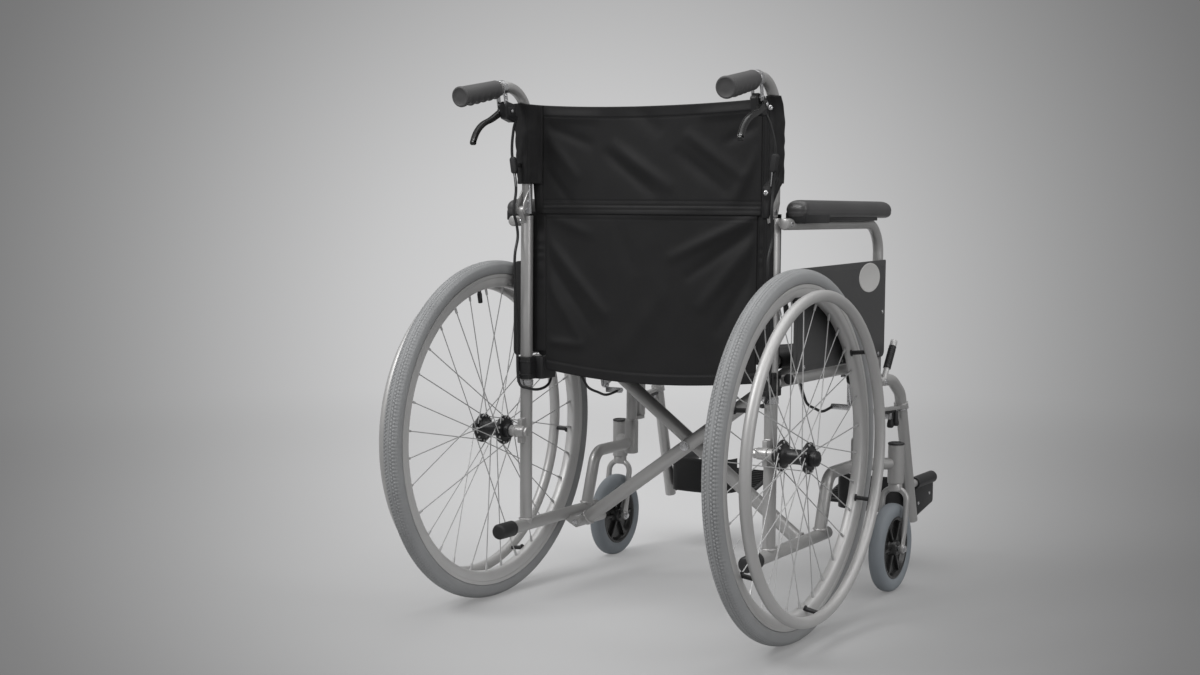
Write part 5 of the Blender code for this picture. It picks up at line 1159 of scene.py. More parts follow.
@dataclass
class SideFrame:
    """The welded tube frame of one side with its lugs, tips and saddles."""

    x: float = 0.243
    tube: float = 0.011
    upright_y: float = -0.022
    upright_top: float = 0.6905
    rail_z: float = 0.132
    top_rail_z: float = 0.42
    top_rail_tube: float = 0.01
    post_y: float = -0.398
    post_tube: float = 0.0105
    axle_z: float = 0.305
    caster_x: float = 0.298
    stem_y: float = -0.447
    hanger_y: float = -0.43
    hanger_foot: float = 0.2905
    hanger_head: float = 0.399
    brace_y: float = -0.198
    brace_x: float = 0.2175
    brace_z: float = 0.1185
    hinge_y: float = -0.008
    hinge_z: float = 0.7
    arm_z: float = 0.681
    arm_front: float = -0.416

    def tubes(self) -> Shape:
        """All welded tubes of one side."""
        x, tube = self.x, self.tube
        shape = Shape().tube([(x, 0.03, self.rail_z), (x, -0.262, self.rail_z)], tube)
        shape.tube([(x, self.upright_y, self.rail_z), (x, self.upright_y, self.upright_top)], tube)
        shape.tube([(x, -0.228, self.rail_z), (x, -0.262, 0.237), (x, -0.38, 0.237),
                    (self.caster_x, self.stem_y, 0.237)], tube, 0.032, 28, 10)
        shape.lathe([(0.2, 0.0098), (0.2, 0.0142), (0.2008, 0.015), (0.2712, 0.015), (0.272, 0.0142),
                     (0.272, 0.0098)], Axis.Z, (self.caster_x, self.stem_y, 0), 40)
        shape.tube([(x, self.post_y, 0.216), (x, self.post_y, self.top_rail_z)], self.post_tube)
        shape.lathe([(0.217, 0.01), (0.217, 0.0126), (0.218, 0.0135), (0.2815, 0.0135), (0.283, 0.0124),
                     (0.283, 0.01)], Axis.Z, (x, self.post_y, 0), 36)
        shape.tube([(x, self.upright_y, self.top_rail_z), (x, -0.424, self.top_rail_z)], self.top_rail_tube,
                   rim=0.002)
        shape.tube([(0.231, 0, self.axle_z), (0.2607, 0, self.axle_z)], 0.01)
        shape.block((x - 0.005, self.upright_y, self.axle_z - 0.022), (x + 0.005, 0.0, self.axle_z + 0.022), 0.002)
        return shape

    def lugs(self) -> Shape:
        """Hanger lugs and pins, brace lugs and pin, hinge lug, and the armrest's seat and pin."""
        x = self.x
        shape = Shape()
        for low, high, pin_low, pin_high in ((self.hanger_foot - 0.0073, self.hanger_foot - TOUCH, -0.0035, 0.016),
                                             (self.hanger_head + TOUCH, self.hanger_head + 0.0073, -0.016, 0.0035)):
            outline = slot_outline((x, self.post_y - 0.003), (x, self.hanger_y), 0.01)
            shape.plate(outline, Axis.Z, low, high, 0.0012)
            middle = (low + high) / 2
            shape.rod((x, self.hanger_y, middle + pin_low), (x, self.hanger_y, middle + pin_high), 0.0044, 20)
        reach = 0.0429
        for side in (-1, 1):
            ends = sorted((self.brace_y + side * reach, self.brace_y + side * (reach + 0.004)))
            outline = arc((self.brace_x, self.brace_z), 0.01, 80, 275,
                          12) + [(x, self.rail_z - 0.0108), (x, self.rail_z)]
            shape.plate(outline, Axis.Y, *ends, 0.0006)
        lug = arc((self.hinge_y, self.hinge_z), 0.008, -40, 160,
                  14) + [(self.upright_y - 0.004, 0.68), (self.hinge_y - 0.006, 0.672)]
        shape.plate(lug, Axis.X, x - 0.005, x + 0.005, 0.0008)
        shape.plate(rounded_outline([(x - 0.004, self.arm_front - 0.01, 0.002),
                                     (0.276, self.arm_front - 0.01, 0.003), (0.276, self.arm_front + 0.01, 0.003),
                                     (x - 0.004, self.arm_front + 0.01, 0.002)]), Axis.Z, 0.3997, 0.4047, 0.001)
        shape.block((x - 0.006, self.arm_front - 0.006, 0.3997), (x + 0.006, self.post_y, self.top_rail_z), 0.001)
        return shape

    def beads(self) -> Shape:
        """Weld beads where tubes meet."""
        x = self.x
        shape = Shape()
        for centre, axis, radius, size in (((x, self.upright_y - 0.0112, self.top_rail_z), Axis.Y, 0.0106, 0.002),
                                           ((x, self.post_y + 0.0112, self.top_rail_z), Axis.Y, 0.0104, 0.0017),
                                           ((x, self.upright_y, self.rail_z + 0.0112), Axis.Z, 0.0114, 0.002),
                                           ((x, -0.232, self.rail_z + 0.0108), Axis.Z, 0.0118, 0.0019),
                                           ((x, self.post_y, 0.2835), Axis.Z, 0.011, 0.0016),
                                           ((x, self.post_y, self.top_rail_z - 0.0104), Axis.Z, 0.011, 0.0017),
                                           ((0.25, 0, self.axle_z), Axis.X, 0.0104, 0.0012)):
            shape.ring(centre, axis, radius, size, 36)
        for edge in (-0.0215, 0.0215):
            shape.rod((x - 0.0055, -0.0115, self.axle_z + edge), (x + 0.0055, -0.0115, self.axle_z + edge), 0.0018,
                      10)
        return shape.uneven()

    def pins(self) -> Shape:
        """Bright pins and bolts: brace pin, back hinge pin, armrest pin and axle collar nut."""
        x = self.x
        shape = Shape().rod((self.brace_x, self.brace_y - 0.045, self.brace_z),
                            (self.brace_x, self.brace_y + 0.045, self.brace_z), 0.0039, 18)
        for side in (-1, 1):
            shape.hexagon((self.brace_x, self.brace_y + side * 0.0469, self.brace_z), (0, side, 0), 0.0105, 0.0038)
        shape.rod((x - 0.0096, self.hinge_y, self.hinge_z), (x + 0.0096, self.hinge_y, self.hinge_z), 0.0029, 18)
        for side in (-1, 1):
            shape.rod((x + side * 0.0088, self.hinge_y, self.hinge_z),
                      (x + side * 0.0104, self.hinge_y, self.hinge_z), 0.005, 20, 0.0005)
        shape.rod((x, self.upright_y, self.arm_z), (0.2766, self.upright_y, self.arm_z), 0.0039, 18)
        return shape.lathe([(0.3865, 0.0108), (0.3865, 0.0124), (0.396, 0.0124), (0.396, 0.0108)], Axis.Z,
                           (x, self.upright_y, 0), 36)

    def tip(self) -> Shape:
        """The black cup on the rear end of the lower rail, with its step ring."""
        return Shape().lathe([(0.0303, 0), (0.0303, 0.0113), (0.022, 0.0113), (0.022, 0.0134), (0.0226, 0.014),
                              (0.027, 0.014), (0.0276, 0.0135), (0.0284, 0.0135), (0.029, 0.014), (0.0625, 0.0138),
                              (0.0655, 0.0124), (0.067, 0.01), (0.067, 0)], Axis.Y, (self.x, 0, self.rail_z), 36)

    def saddle(self) -> Shape:
        """The black clamp round the upright whose shelf carries the seat rail."""
        x, y = self.x, self.upright_y
        outline = rounded_outline([(x - 0.017, y - 0.017, 0.004), (x + 0.0107, y - 0.017, 0.002),
                                   (x + 0.0107, y + 0.017, 0.003), (x - 0.017, y + 0.017, 0.006)])
        shape = Shape().plate(outline, Axis.Z, 0.3985, 0.4384, 0.0016, 3)
        shelf = rounded_outline([(0.2115, -0.072, 0.004), (0.23, -0.072, 0.002), (0.23, -0.026, 0.002),
                                 (0.2115, -0.026, 0.004)])
        shape.plate(shelf, Axis.Z, 0.3985, 0.4387, 0.0014, 3)
        for level in (0.406, 0.43):
            shape.plate(rounded_outline([(x - 0.018, y - 0.0172, 0.004), (x + 0.0107, y - 0.0172, 0.002),
                                         (x + 0.0107, y + 0.0182, 0.003), (x - 0.018, y + 0.0182, 0.006)]), Axis.Z,
                        level - 0.0014, level + 0.0014, 0.0006)
        return shape

    def saddle_screw(self) -> Shape:
        """The bright closing plate of the saddle, and the screw in its shelf."""
        shape = Shape().block((0.2452, self.upright_y + 0.0168, 0.393), (0.2512, self.upright_y + 0.0186, 0.4125),
                              0.0004)
        return shape.screw((0.2155, -0.041, 0.4383), (0, 0, 1), 0.003, 0.0016)

    def build(self, bench: Bench) -> None:
        """Make both side frames."""
        bench.pair("welded_tubes", self.tubes, Look.PAINT, "side", "silver_paint", ["side_frame"])
        bench.pair("frame_lugs", self.lugs, Look.PAINT, "side", "silver_paint", ["side_frame"])
        bench.pair("weld_beads", self.beads, Look.WELD, "side", "silver_paint", ["side_frame"], 60)
        bench.pair("frame_pins", self.pins, Look.STEEL, "side", "bright_steel", ["side_frame"])
        bench.pair("rail_cup", self.tip, Look.PLASTIC, "side", "black_plastic", ["rail_tip"])
        bench.pair("rail_saddle", self.saddle, Look.PLASTIC, "side", "black_plastic", ["seat_saddle"])
        bench.pair("saddle_screws", self.saddle_screw, Look.STEEL, "side", "bright_steel")


@dataclass
class CrossBrace:
    """The two crossing bars with their sleeves and seat rails, and the bolt between them."""

    pivot_x: float = 0.2175
    pivot_z: float = 0.1185
    centre_y: float = -0.198
    centre_z: float = 0.277
    tube: float = 0.0125
    spacing: float = 0.0135
    top_x: float = 0.222
    sleeve_half: float = 0.0425
    rail_x: float = 0.2205
    rail_z: float = 0.45
    rail_tube: float = 0.011
    rail_ends: tuple[float, float] = (-0.041, -0.44)

    def bar(self, low_side: int) -> Shape:
        """One bar: lower sleeve, tube, boss at the crossing and the seat rail."""
        y = self.centre_y + low_side * self.spacing
        pivot = Vector((low_side * self.pivot_x, y, self.pivot_z))
        centre = Vector((0, y, self.centre_z))
        slope = (centre - pivot) / self.pivot_x
        top = centre + slope * self.top_x
        rail_x = -low_side * self.rail_x
        shape = Shape().tube([pivot, top], self.tube, sides=32)
        low, high = self.centre_y - self.sleeve_half, self.centre_y + self.sleeve_half
        shape.lathe([(low, 0.0044), (low, 0.0094), (low + 0.0007, 0.01), (high - 0.0007, 0.01), (high, 0.0094),
                     (high, 0.0044)], Axis.Y, (pivot.x, 0, self.pivot_z), 36)
        shape.tube([(rail_x, self.rail_ends[0], self.rail_z), (rail_x, self.rail_ends[1], self.rail_z)],
                   self.rail_tube, sides=28)
        for side in (-1, 1):
            face = y + side * (self.spacing - 0.0009 if side == -low_side else self.tube)
            shape.rod((0, y, self.centre_z), (0, face, self.centre_z), 0.0105, 28, 0.0008)
        return shape

    def beads(self, low_side: int) -> Shape:
        """The weld beads at the two ends of a bar."""
        y = self.centre_y + low_side * self.spacing
        pivot = Vector((low_side * self.pivot_x, y, self.pivot_z))
        slope = (Vector((0, y, self.centre_z)) - pivot).normalized()
        shape = Shape()
        for along, start in ((0.0098, pivot), (-0.011, Vector((-low_side * self.rail_x, y, self.rail_z - 0.0105)))):
            bead = Shape().ring((0, 0, 0), Axis.X, self.tube + 0.0003, 0.0021, 40)
            level = pivot + slope * (((start + slope * along) - pivot).dot(slope))
            shape.take(bead.turned(Matrix.Translation(level) @ aim(slope, "X", "Z")).mesh)
        return shape.uneven()

    def plugs(self, low_side: int) -> Shape:
        """The black end plugs of a seat rail."""
        rail_x = -low_side * self.rail_x
        rear, front = self.rail_ends
        shape = Shape().rod((rail_x, rear - 0.003, self.rail_z), (rail_x, rear + 0.0022, self.rail_z), 0.0102, 24,
                            0.0012)
        return shape.rod((rail_x, front - 0.0022, self.rail_z), (rail_x, front + 0.003, self.rail_z), 0.0102, 24,
                         0.0012)

    def bolt(self) -> Shape:
        """The bolt where the bars cross, with washers, head and nut."""
        half = self.spacing + self.tube + TOUCH
        y, z = self.centre_y, self.centre_z
        shape = Shape().rod((0, y - half, z), (0, y + half, z), 0.0039, 16)
        for side in (-1, 1):
            shape.rod((0, y + side * half, z), (0, y + side * (half + 0.0012), z), 0.0088, 28, 0.0003)
            shape.hexagon((0, y + side * (half + 0.0012), z), (0, side, 0), 0.013, 0.0038)
        return shape

    def build(self, bench: Bench) -> None:
        """Make the cross."""
        for low_side, name, body in ((-1, "from_right", "brace_front"), (1, "from_left", "brace_rear")):
            bench.put(f"cross_bar_{name}", self.bar(low_side), Look.PAINT, body, [f"brace_{name}"])
            bench.put(f"cross_beads_{name}", self.beads(low_side), Look.WELD, body,
                      [f"brace_{name}"], 60)
            bench.put(f"rail_plugs_{name}", self.plugs(low_side), Look.PLASTIC, body,
                      [f"brace_{name}"])
        bench.put("cross_bolt", self.bolt(), Look.STEEL, "brace_front", ["brace_bolt"])


# Back tubes, handles and their brakes


@dataclass
class BackCane:
    """The upper back tube with its push handle, grip, brake lever and cable."""

    x: float = 0.243
    upright_y: float = -0.022
    hinge_y: float = -0.008
    hinge_z: float = 0.7
    foot_z: float = 0.714
    handle_z: float = 0.9268
    handle_end: Point = (0.25, 0.1665, 0.89)
    bend: float = 0.06
    tube: float = 0.0095
    grip_radius: float = 0.0175
    grip_taper: float = 0.0022
    grip_length: float = 0.103
    scallops: int = 5
    clamp_y: float = 0.0565
    lever_x: float = 0.2545
    lever_y: float = 0.044
    lever_z: float = 0.871
    lever_reach: float = 0.0825
    lever_depth: float = 0.056

    def heading(self) -> Vector:
        """The direction of the straight handle."""
        return (Vector(self.handle_end) - Vector((self.x, self.upright_y, self.handle_z))).normalized()

    def along(self, y: float) -> Vector:
        """The point of the handle's middle line at a given y."""
        start = Vector((self.x, self.upright_y, self.handle_z))
        return start + self.heading() * ((y - start.y) / self.heading().y)

    def on_handle(self) -> Matrix:
        """The place of the handle's end, with X along the handle and Z up."""
        return Matrix.Translation(self.handle_end) @ aim(self.heading(), "X", "Z")

    def cane(self) -> Shape:
        """The bent tube with the two hinge cheeks at its foot."""
        shape = Shape().tube([(self.x, self.upright_y, self.foot_z), (self.x, self.upright_y, self.handle_z),
                              self.handle_end], self.tube, self.bend, 28, 20)
        outline = (arc((self.hinge_y, self.hinge_z), 0.008, -90, 0, 8)
                   + [(self.hinge_y + 0.008, self.foot_z), (self.upright_y + 0.0048, self.foot_z + 0.024),
                      (self.upright_y - 0.0048, self.foot_z + 0.024), (self.upright_y - 0.0048, self.foot_z),
                      (self.hinge_y - 0.01, self.hinge_z - 0.008)])
        for side in (-1, 1):
            low, high = sorted((self.x + side * 0.0054, self.x + side * 0.0084))
            shape.plate(outline, Axis.X, low, high, 0.0006)
        return shape

    def bracket(self) -> Shape:
        """The pressed steel plate beside the left fold, with its rivet."""
        outline = [(0.2374, 0.694), (0.2374, 0.71), (0.2425, 0.71), (0.2425, 0.722), (0.231, 0.722), (0.231, 0.745),
                   (0.2285, 0.745), (0.2262, 0.722), (0.225, 0.694)]
        shape = Shape().plate(outline, Axis.Y, -0.0105, -0.0089, 0.0004)
        return shape.rod((0.233, -0.0092, 0.715), (0.233, -0.0074, 0.715), 0.0026, 16, 0.0006)

    def grip(self) -> Shape:
        """The moulded grip, a little slimmer at its mouth, with finger scallops below."""
        end = TOUCH + 0.004
        mouth = end - self.grip_length
        wide, slim = self.grip_radius, self.grip_radius - self.grip_taper
        start, stop = mouth + 0.006, end - 0.0085
        steps = 40
        body = [(start + (stop - start) * step / steps, slim - 0.0002 + (wide - 0.0004 - slim) * step / steps)
                for step in range(steps + 1)]
        profile = [(TOUCH, 0), (TOUCH, 0.0101), (mouth, 0.0101), (mouth, slim - 0.0016),
                   (mouth + 0.001, slim - 0.0004), (mouth + 0.003, slim), *body, (end - 0.006, wide),
                   (end - 0.0024, wide + 0.0002), (end - 0.0008, wide - 0.0004), (end, wide - 0.0018),
                   (end, wide - 0.003), (end - 0.0006, wide - 0.0036), (end - 0.0006, 0.006), (end - 0.0006, 0)]

        def scallop(co: Vector, angle: float) -> Vector:
            """Press the finger hollows in the underside."""
            radius = math.hypot(co.y, co.z)
            share = (co.x - start) / (stop - start)
            if not 0 <= share <= 1 or radius < 0.012:
                return co
            under = max(0.0, -math.cos(angle)) ** 1.2
            hollow = abs(math.sin(math.pi * self.scallops * share)) ** 0.6
            scale = (radius + under * (0.0018 - 0.0038 * hollow)) / radius
            return Vector((co.x, co.y * scale, co.z * scale))

        return Shape().lathe(profile, Axis.X, (0, 0, 0), 48, scallop).turned(self.on_handle())

    def clamp(self) -> Shape:
        """The bright pierced band round the handle with its strip down to the lever body."""
        centre = self.along(self.clamp_y)
        turn = Matrix.Translation(centre) @ aim(self.heading(), "X", "Z")
        band = Shape().lathe([(-0.006, 0.0098), (-0.006, 0.0124), (-0.0054, 0.013), (0.0054, 0.013),
                              (0.006, 0.0124), (0.006, 0.0098)], Axis.X, (0, 0, 0), 48)
        band.block((-0.005, -0.009, -0.036), (0.005, -0.007, -0.004), 0.0006)
        band.block((-0.005, 0.007, -0.036), (0.005, 0.009, -0.004), 0.0006)
        band.rod((0.0, -0.0105, -0.03), (0.0, 0.0105, -0.03), 0.0026, 16, 0.0005)
        for side in (-1, 1):
            for level in (-0.013, -0.0215):
                band.ring((0.0, side * 0.0092, level), Axis.Y, 0.0018, 0.0006, 16, 6)
        for angle in (20, 60, 100, 140):
            a = math.radians(angle)
            band.rod((0, 0.0124 * math.cos(a), 0.0124 * math.sin(a)),
                     (0, 0.0135 * math.cos(a), 0.0135 * math.sin(a)), 0.0014, 12, 0.0003)
        return band.turned(turn)

    def body(self) -> Shape:
        """The black lever body below the band."""
        y, z = self.lever_y, self.lever_z
        centre = self.along(self.clamp_y)
        outline = rounded_outline([(y - 0.022, z - 0.014, 0.003), (y - 0.014, z - 0.018, 0.004),
                                   (y + 0.01, z - 0.012, 0.005), (y + 0.0145, z + 0.01, 0.004),
                                   (y + 0.008, z + 0.018, 0.004), (y - 0.016, z + 0.014, 0.005)])
        shape = Shape().plate(outline, Axis.X, centre.x - 0.0108, self.lever_x - 0.0051, 0.0022, 3)
        inner = rounded_outline([(y - 0.016, z - 0.01, 0.003), (y + 0.005, z - 0.008, 0.003),
                                 (y + 0.008, z + 0.008, 0.003), (y - 0.012, z + 0.009, 0.004)])
        shape.plate(inner, Axis.X, centre.x - 0.0114, centre.x - 0.01, 0.0006)
        leave = y - 0.0222
        shape.rod((self.x - 0.002, leave + 0.006, z - 0.004), (self.x - 0.002, leave - 0.0035, z - 0.0078), 0.0042,
                  18, 0.0008, 0.0034)
        return shape

    def body_bolt(self) -> Shape:
        """The lever's pivot bolt."""
        return (Shape().rod((self.x, self.lever_y, self.lever_z), (0.2606, self.lever_y, self.lever_z), 0.0024, 14)
                .screw((0.2596, self.lever_y, self.lever_z), (1, 0, 0), 0.0036, 0.0016)
                .screw((0.233, self.lever_y - 0.004, self.lever_z + 0.001), (-1, 0, 0), 0.003, 0.0014))

    def lever_route(self) -> list[Vector]:
        """The middle line of the brake blade."""
        shares = [(0, 0), (0.186, 0.14), (0.392, 0.281), (0.598, 0.386), (0.763, 0.526), (0.887, 0.702),
                  (0.979, 0.912), (1, 1)]
        return smooth_curve([(0, self.lever_y + self.lever_reach * a, self.lever_z - self.lever_depth * b) for a,
                             b in shares], 4)

    def blade(self) -> Shape:
        """The curved brake blade: a channel with raised edges, a rounded eye and a ringed tip."""
        y, z = self.lever_y, self.lever_z
        route = self.lever_route()
        last = len(route) - 1
        widths = [0.0044 - 0.0014 * min(1, step / 10) for step in range(last + 1)]
        outline = band_outline([(p.y, p.z) for p in route], widths)
        shape = Shape().plate(outline, Axis.X, self.lever_x - 0.004, self.lever_x + 0.004, 0.001, 3)
        edge = band_outline([(p.y, p.z) for p in route], [width + 0.0009 for width in widths])
        for side in (-1, 1):
            low, high = sorted((self.lever_x + side * 0.0042, self.lever_x + side * 0.0029))
            shape.plate(edge, Axis.X, low, high, 0.0004, 2)
        tip = route[-1]
        shape.rod((self.lever_x - 0.0042, tip.y, tip.z), (self.lever_x + 0.0042, tip.y, tip.z), 0.0046, 24, 0.001)
        shape.rod((self.lever_x - 0.0047, y, z), (self.lever_x + 0.0047, y, z), 0.0064, 28, 0.0008)
        return shape

    def cable(self) -> Shape:
        """The black brake cable from the lever body to the shoe's stop."""
        return Shape().cord(smooth_curve(
            [(0.241, 0.0218, 0.865), (0.241, 0.0158, 0.862), (0.25, 0.0118, 0.841), (0.257, 0.006, 0.8002),
             (0.2515, 0.001, 0.7402), (0.2525, 0.007, 0.7), (0.2505, 0.0005, 0.676), (0.2495, -0.002, 0.652),
             (0.248, 0.009, 0.6202), (0.2495, 0.0065, 0.574), (0.2515, -0.0035, 0.514), (0.2505, -0.0035, 0.4605),
             (0.245, -0.0005, 0.3945), (0.2295, -0.0095, 0.3825), (0.2255, -0.038, 0.3785), (0.2265, -0.07, 0.3855),
             (0.2285, -0.094, 0.409), (0.2285, -0.1606, 0.409), (0.2265, -0.1847, 0.387), (0.2255, -0.2055, 0.3665),
             (0.2255, -0.2399, 0.3545), (0.2255, -0.272, 0.3465), (0.2255, -0.3166, 0.3507)], 6), 0.0025, 12)

    def clips(self) -> Shape:
        """The black oval clip that holds the cable behind the tube."""
        shape = Shape().plate(slot_outline((0.253, 0.77), (0.256, 0.789), 0.0058, 12), Axis.Y, -0.001, 0.0082,
                              0.0022, 3)
        return shape.block((0.2495, -0.0135, 0.776), (0.2545, 0.0, 0.784), 0.001)

    def hook(self) -> Shape:
        """The small bright hook below the clip."""
        return Shape().rod((0.252, 0.0064, 0.7668), (0.249, 0.0042, 0.742), 0.001, 10, 0.0002)

    def build(self, bench: Bench) -> None:
        """Make both back tubes with what they carry."""
        bench.pair("back_tube", self.cane, Look.PAINT, "back", "silver_paint", ["back_cane"])
        bench.put("left_fold_bracket", self.bracket(), Look.STEEL, "left_back")
        bench.pair("push_grip", self.grip, Look.GRIP, "back", "grip_rubber", ["handle_grip"], 50)
        bench.pair("lever_band", self.clamp, Look.STEEL, "back", "bright_steel", ["lever_bracket"])
        bench.pair("lever_body", self.body, Look.PLASTIC, "back", "black_plastic", ["lever_bracket"])
        bench.pair("lever_bolts", self.body_bolt, Look.STEEL, "back", "bright_steel")
        bench.pair("lever_blade", self.blade, Look.GLOSS, "hand_brake", "black_gloss_plastic", ["attendant_lever"])
        bench.pair("cable_clips", self.clips, Look.THREAD, "back", "black_plastic")
        bench.pair("clip_hook", self.hook, Look.STEEL, "back", "bright_steel")
        for side, cable in bench.pair("sheathed_cable", self.cable, Look.PLASTIC, "", "black_plastic",
                                      ["brake_cable"]).items():
            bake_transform(cable)


# Armrests


@dataclass
class Armrest:
    """The flip-up armrest: bent tube, foam pad, skirt guard and its fasteners."""

    x: float = 0.2665
    tube: float = 0.0095
    z: float = 0.681
    rear_y: float = -0.012
    front_y: float = -0.416
    foot_z: float = 0.405
    lower_z: float = 0.4265
    pad_x: float = 0.277
    pad_half: Point = (0.02, 0.1895, 0.015)
    pad_middle: tuple[float, float] = (-0.2195, 0.7058)
    guard: tuple[float, float, float, float] = (-0.4255, -0.032, 0.437, 0.608)
    guard_rise: float = 0.007
    guard_x: tuple[float, float] = (0.2763, 0.2793)
    badge: tuple[float, float, float, float] = (-0.3461, 0.5845, 0.048, 0.0262)

    def frame(self) -> Shape:
        """The bent tube with its lower bar."""
        x = self.x
        shape = Shape().tube([(x, self.rear_y, self.z), (x, self.front_y, self.z), (x, self.front_y, self.foot_z)],
                             self.tube, 0.055, 28, 12)
        shape.tube([(x, self.front_y, self.lower_z), (x, -0.04, self.lower_z)], 0.0092, sides=28)
        shape.rod((x, self.rear_y - 0.004, self.z), (x, self.rear_y + 0.003, self.z), self.tube + 0.0001, 28,
                  0.0034)
        return shape.ring((x, self.front_y + 0.0096, self.lower_z), Axis.Y, 0.0096, 0.0014, 32)

    def plugs(self) -> Shape:
        """The black plug in the lower bar's open end."""
        return Shape().rod((self.x, -0.044, self.lower_z), (self.x, -0.0372, self.lower_z), 0.009, 24, 0.0012)

    def pad(self) -> Shape:
        """The moulded foam pad, crowned, with a parting line low on its sides."""
        a, b, c = self.pad_half
        round_end = 0.021
        part = bmesh.new()
        bmesh.ops.create_cube(part, size=2.0)
        for axis, cuts in ((1, 71), (0, 17), (2, 15)):
            edges = [edge for edge in part.edges if abs(edge.verts[0].co[axis] - edge.verts[1].co[axis]) > 1.9]
            bmesh.ops.subdivide_edges(part, edges=edges, cuts=cuts, use_grid_fill=True)
        core = b - round_end
        for vert in part.verts:
            u, v, w = vert.co
            y = v * b
            middle = max(-core, min(core, y))
            tip = (y - middle) / round_end
            above, dome = (1.25, 2.4) if w >= -0.25 else (0.75, 4.2)
            level = (w + 0.25) / above
            size = ((abs(u) ** 4.2 + abs(tip) ** 4.2) ** (dome / 4.2) + abs(level) ** dome) ** (1 / dome)
            square = max(abs(u), abs(tip), abs(level))
            fit = square / size if size > 1e-9 else 1.0
            height = level * fit * above - 0.25
            seam = math.exp(-((height + 0.25) / 0.06) ** 2)
            pull = (1 - 0.03 * seam * square ** 8) * (1 - 0.22 * max(0.0, -level * fit) ** 1.4)
            vert.co = Vector((u * fit * a * pull, middle + tip * fit * round_end * (1 - 0.03 * seam), height * c))
        bmesh.ops.translate(part, vec=(self.pad_x, self.pad_middle[0], self.pad_middle[1]), verts=part.verts)
        return Shape().take(part)

    def pad_stands(self) -> Shape:
        """The black base between tube and pad, deeper at its rear end."""
        shape = Shape()
        shape.block((self.x - 0.0085, -0.13, self.z + 0.0012), (self.pad_x + 0.0182, -0.033, self.z + 0.0195),
                    0.0024)
        shape.block((self.x - 0.0075, -0.352, self.z + 0.0055), (self.pad_x + 0.013, -0.128, self.z + 0.0115),
                    0.0012)
        return shape

    def panel(self) -> Shape:
        """The dark guard panel with a soft pressed edge."""
        front, rear, low, high = self.guard
        corner = 0.012
        outline = rounded_outline([(front, low, corner), (rear, low, corner), (rear, high, corner),
                                   (front, high + self.guard_rise, 0.0025)], 8)
        shape = Shape().plate(outline, Axis.X, self.guard_x[0], self.guard_x[1] - 0.0006, 0.0009, 3)
        inset = 0.01
        rim = rounded_outline([(front + inset, low + inset, 0.008), (rear - inset, low + inset, 0.008),
                               (rear - inset, high - inset, 0.008),
                               (front + inset, high + self.guard_rise - inset, 0.008)], 8)
        return shape.plate(rim, Axis.X, self.guard_x[1] - 0.0009, self.guard_x[1], 0.00025, 1)

    def disc(self) -> Shape:
        """The blank pale disc on the guard."""
        y, z, wide, high = self.badge
        face = self.guard_x[1]
        shape = Shape().lathe([(face, 0), (face, high), (face + 0.0003, high + 0.0002),
                               (face + 0.0009, high - 0.0004), (face + 0.001, high - 0.0016),
                               (face + 0.0008, high - 0.0022), (face + 0.0008, 0)], Axis.X, (0, 0, 0), 72)
        return shape.turned(Matrix.Translation((0, y, z)) @ Matrix.Diagonal((1, wide / high, 1, 1)))

    def screws(self) -> Shape:
        """The cross-head screws of the guard."""
        shape = Shape()
        face = self.guard_x[1] - 0.0003
        for y in (-0.07, -0.23, -0.395):
            shape.screw((face, y, 0.444), (1, 0, 0), 0.0036, 0.0018)
        return shape.screw((face, self.front_y + 0.004, 0.52), (1, 0, 0), 0.0036, 0.0018)

    def build(self, bench: Bench) -> None:
        """Make both armrests."""
        bench.pair("arm_tube", self.frame, Look.PAINT, "armrest", "silver_paint", ["armrest_frame"])
        bench.pair("arm_plugs", self.plugs, Look.PLASTIC, "armrest", "black_plastic")
        for pad in bench.pair("foam_pad", self.pad, Look.VINYL, "armrest", "pad_vinyl", ["armrest_pad"],
                              60).values():
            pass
        bench.pair("pad_base", self.pad_stands, Look.HUB, "armrest", "black_gloss_plastic")
        bench.pair("guard_panel", self.panel, Look.PANEL, "armrest", "guard_panel", ["skirt_guard"])
        bench.pair("blank_disc", self.disc, Look.BADGE, "armrest", "guard_panel")
        bench.pair("arm_screws", self.screws, Look.STEEL, "armrest", "bright_steel")


# Parking brake


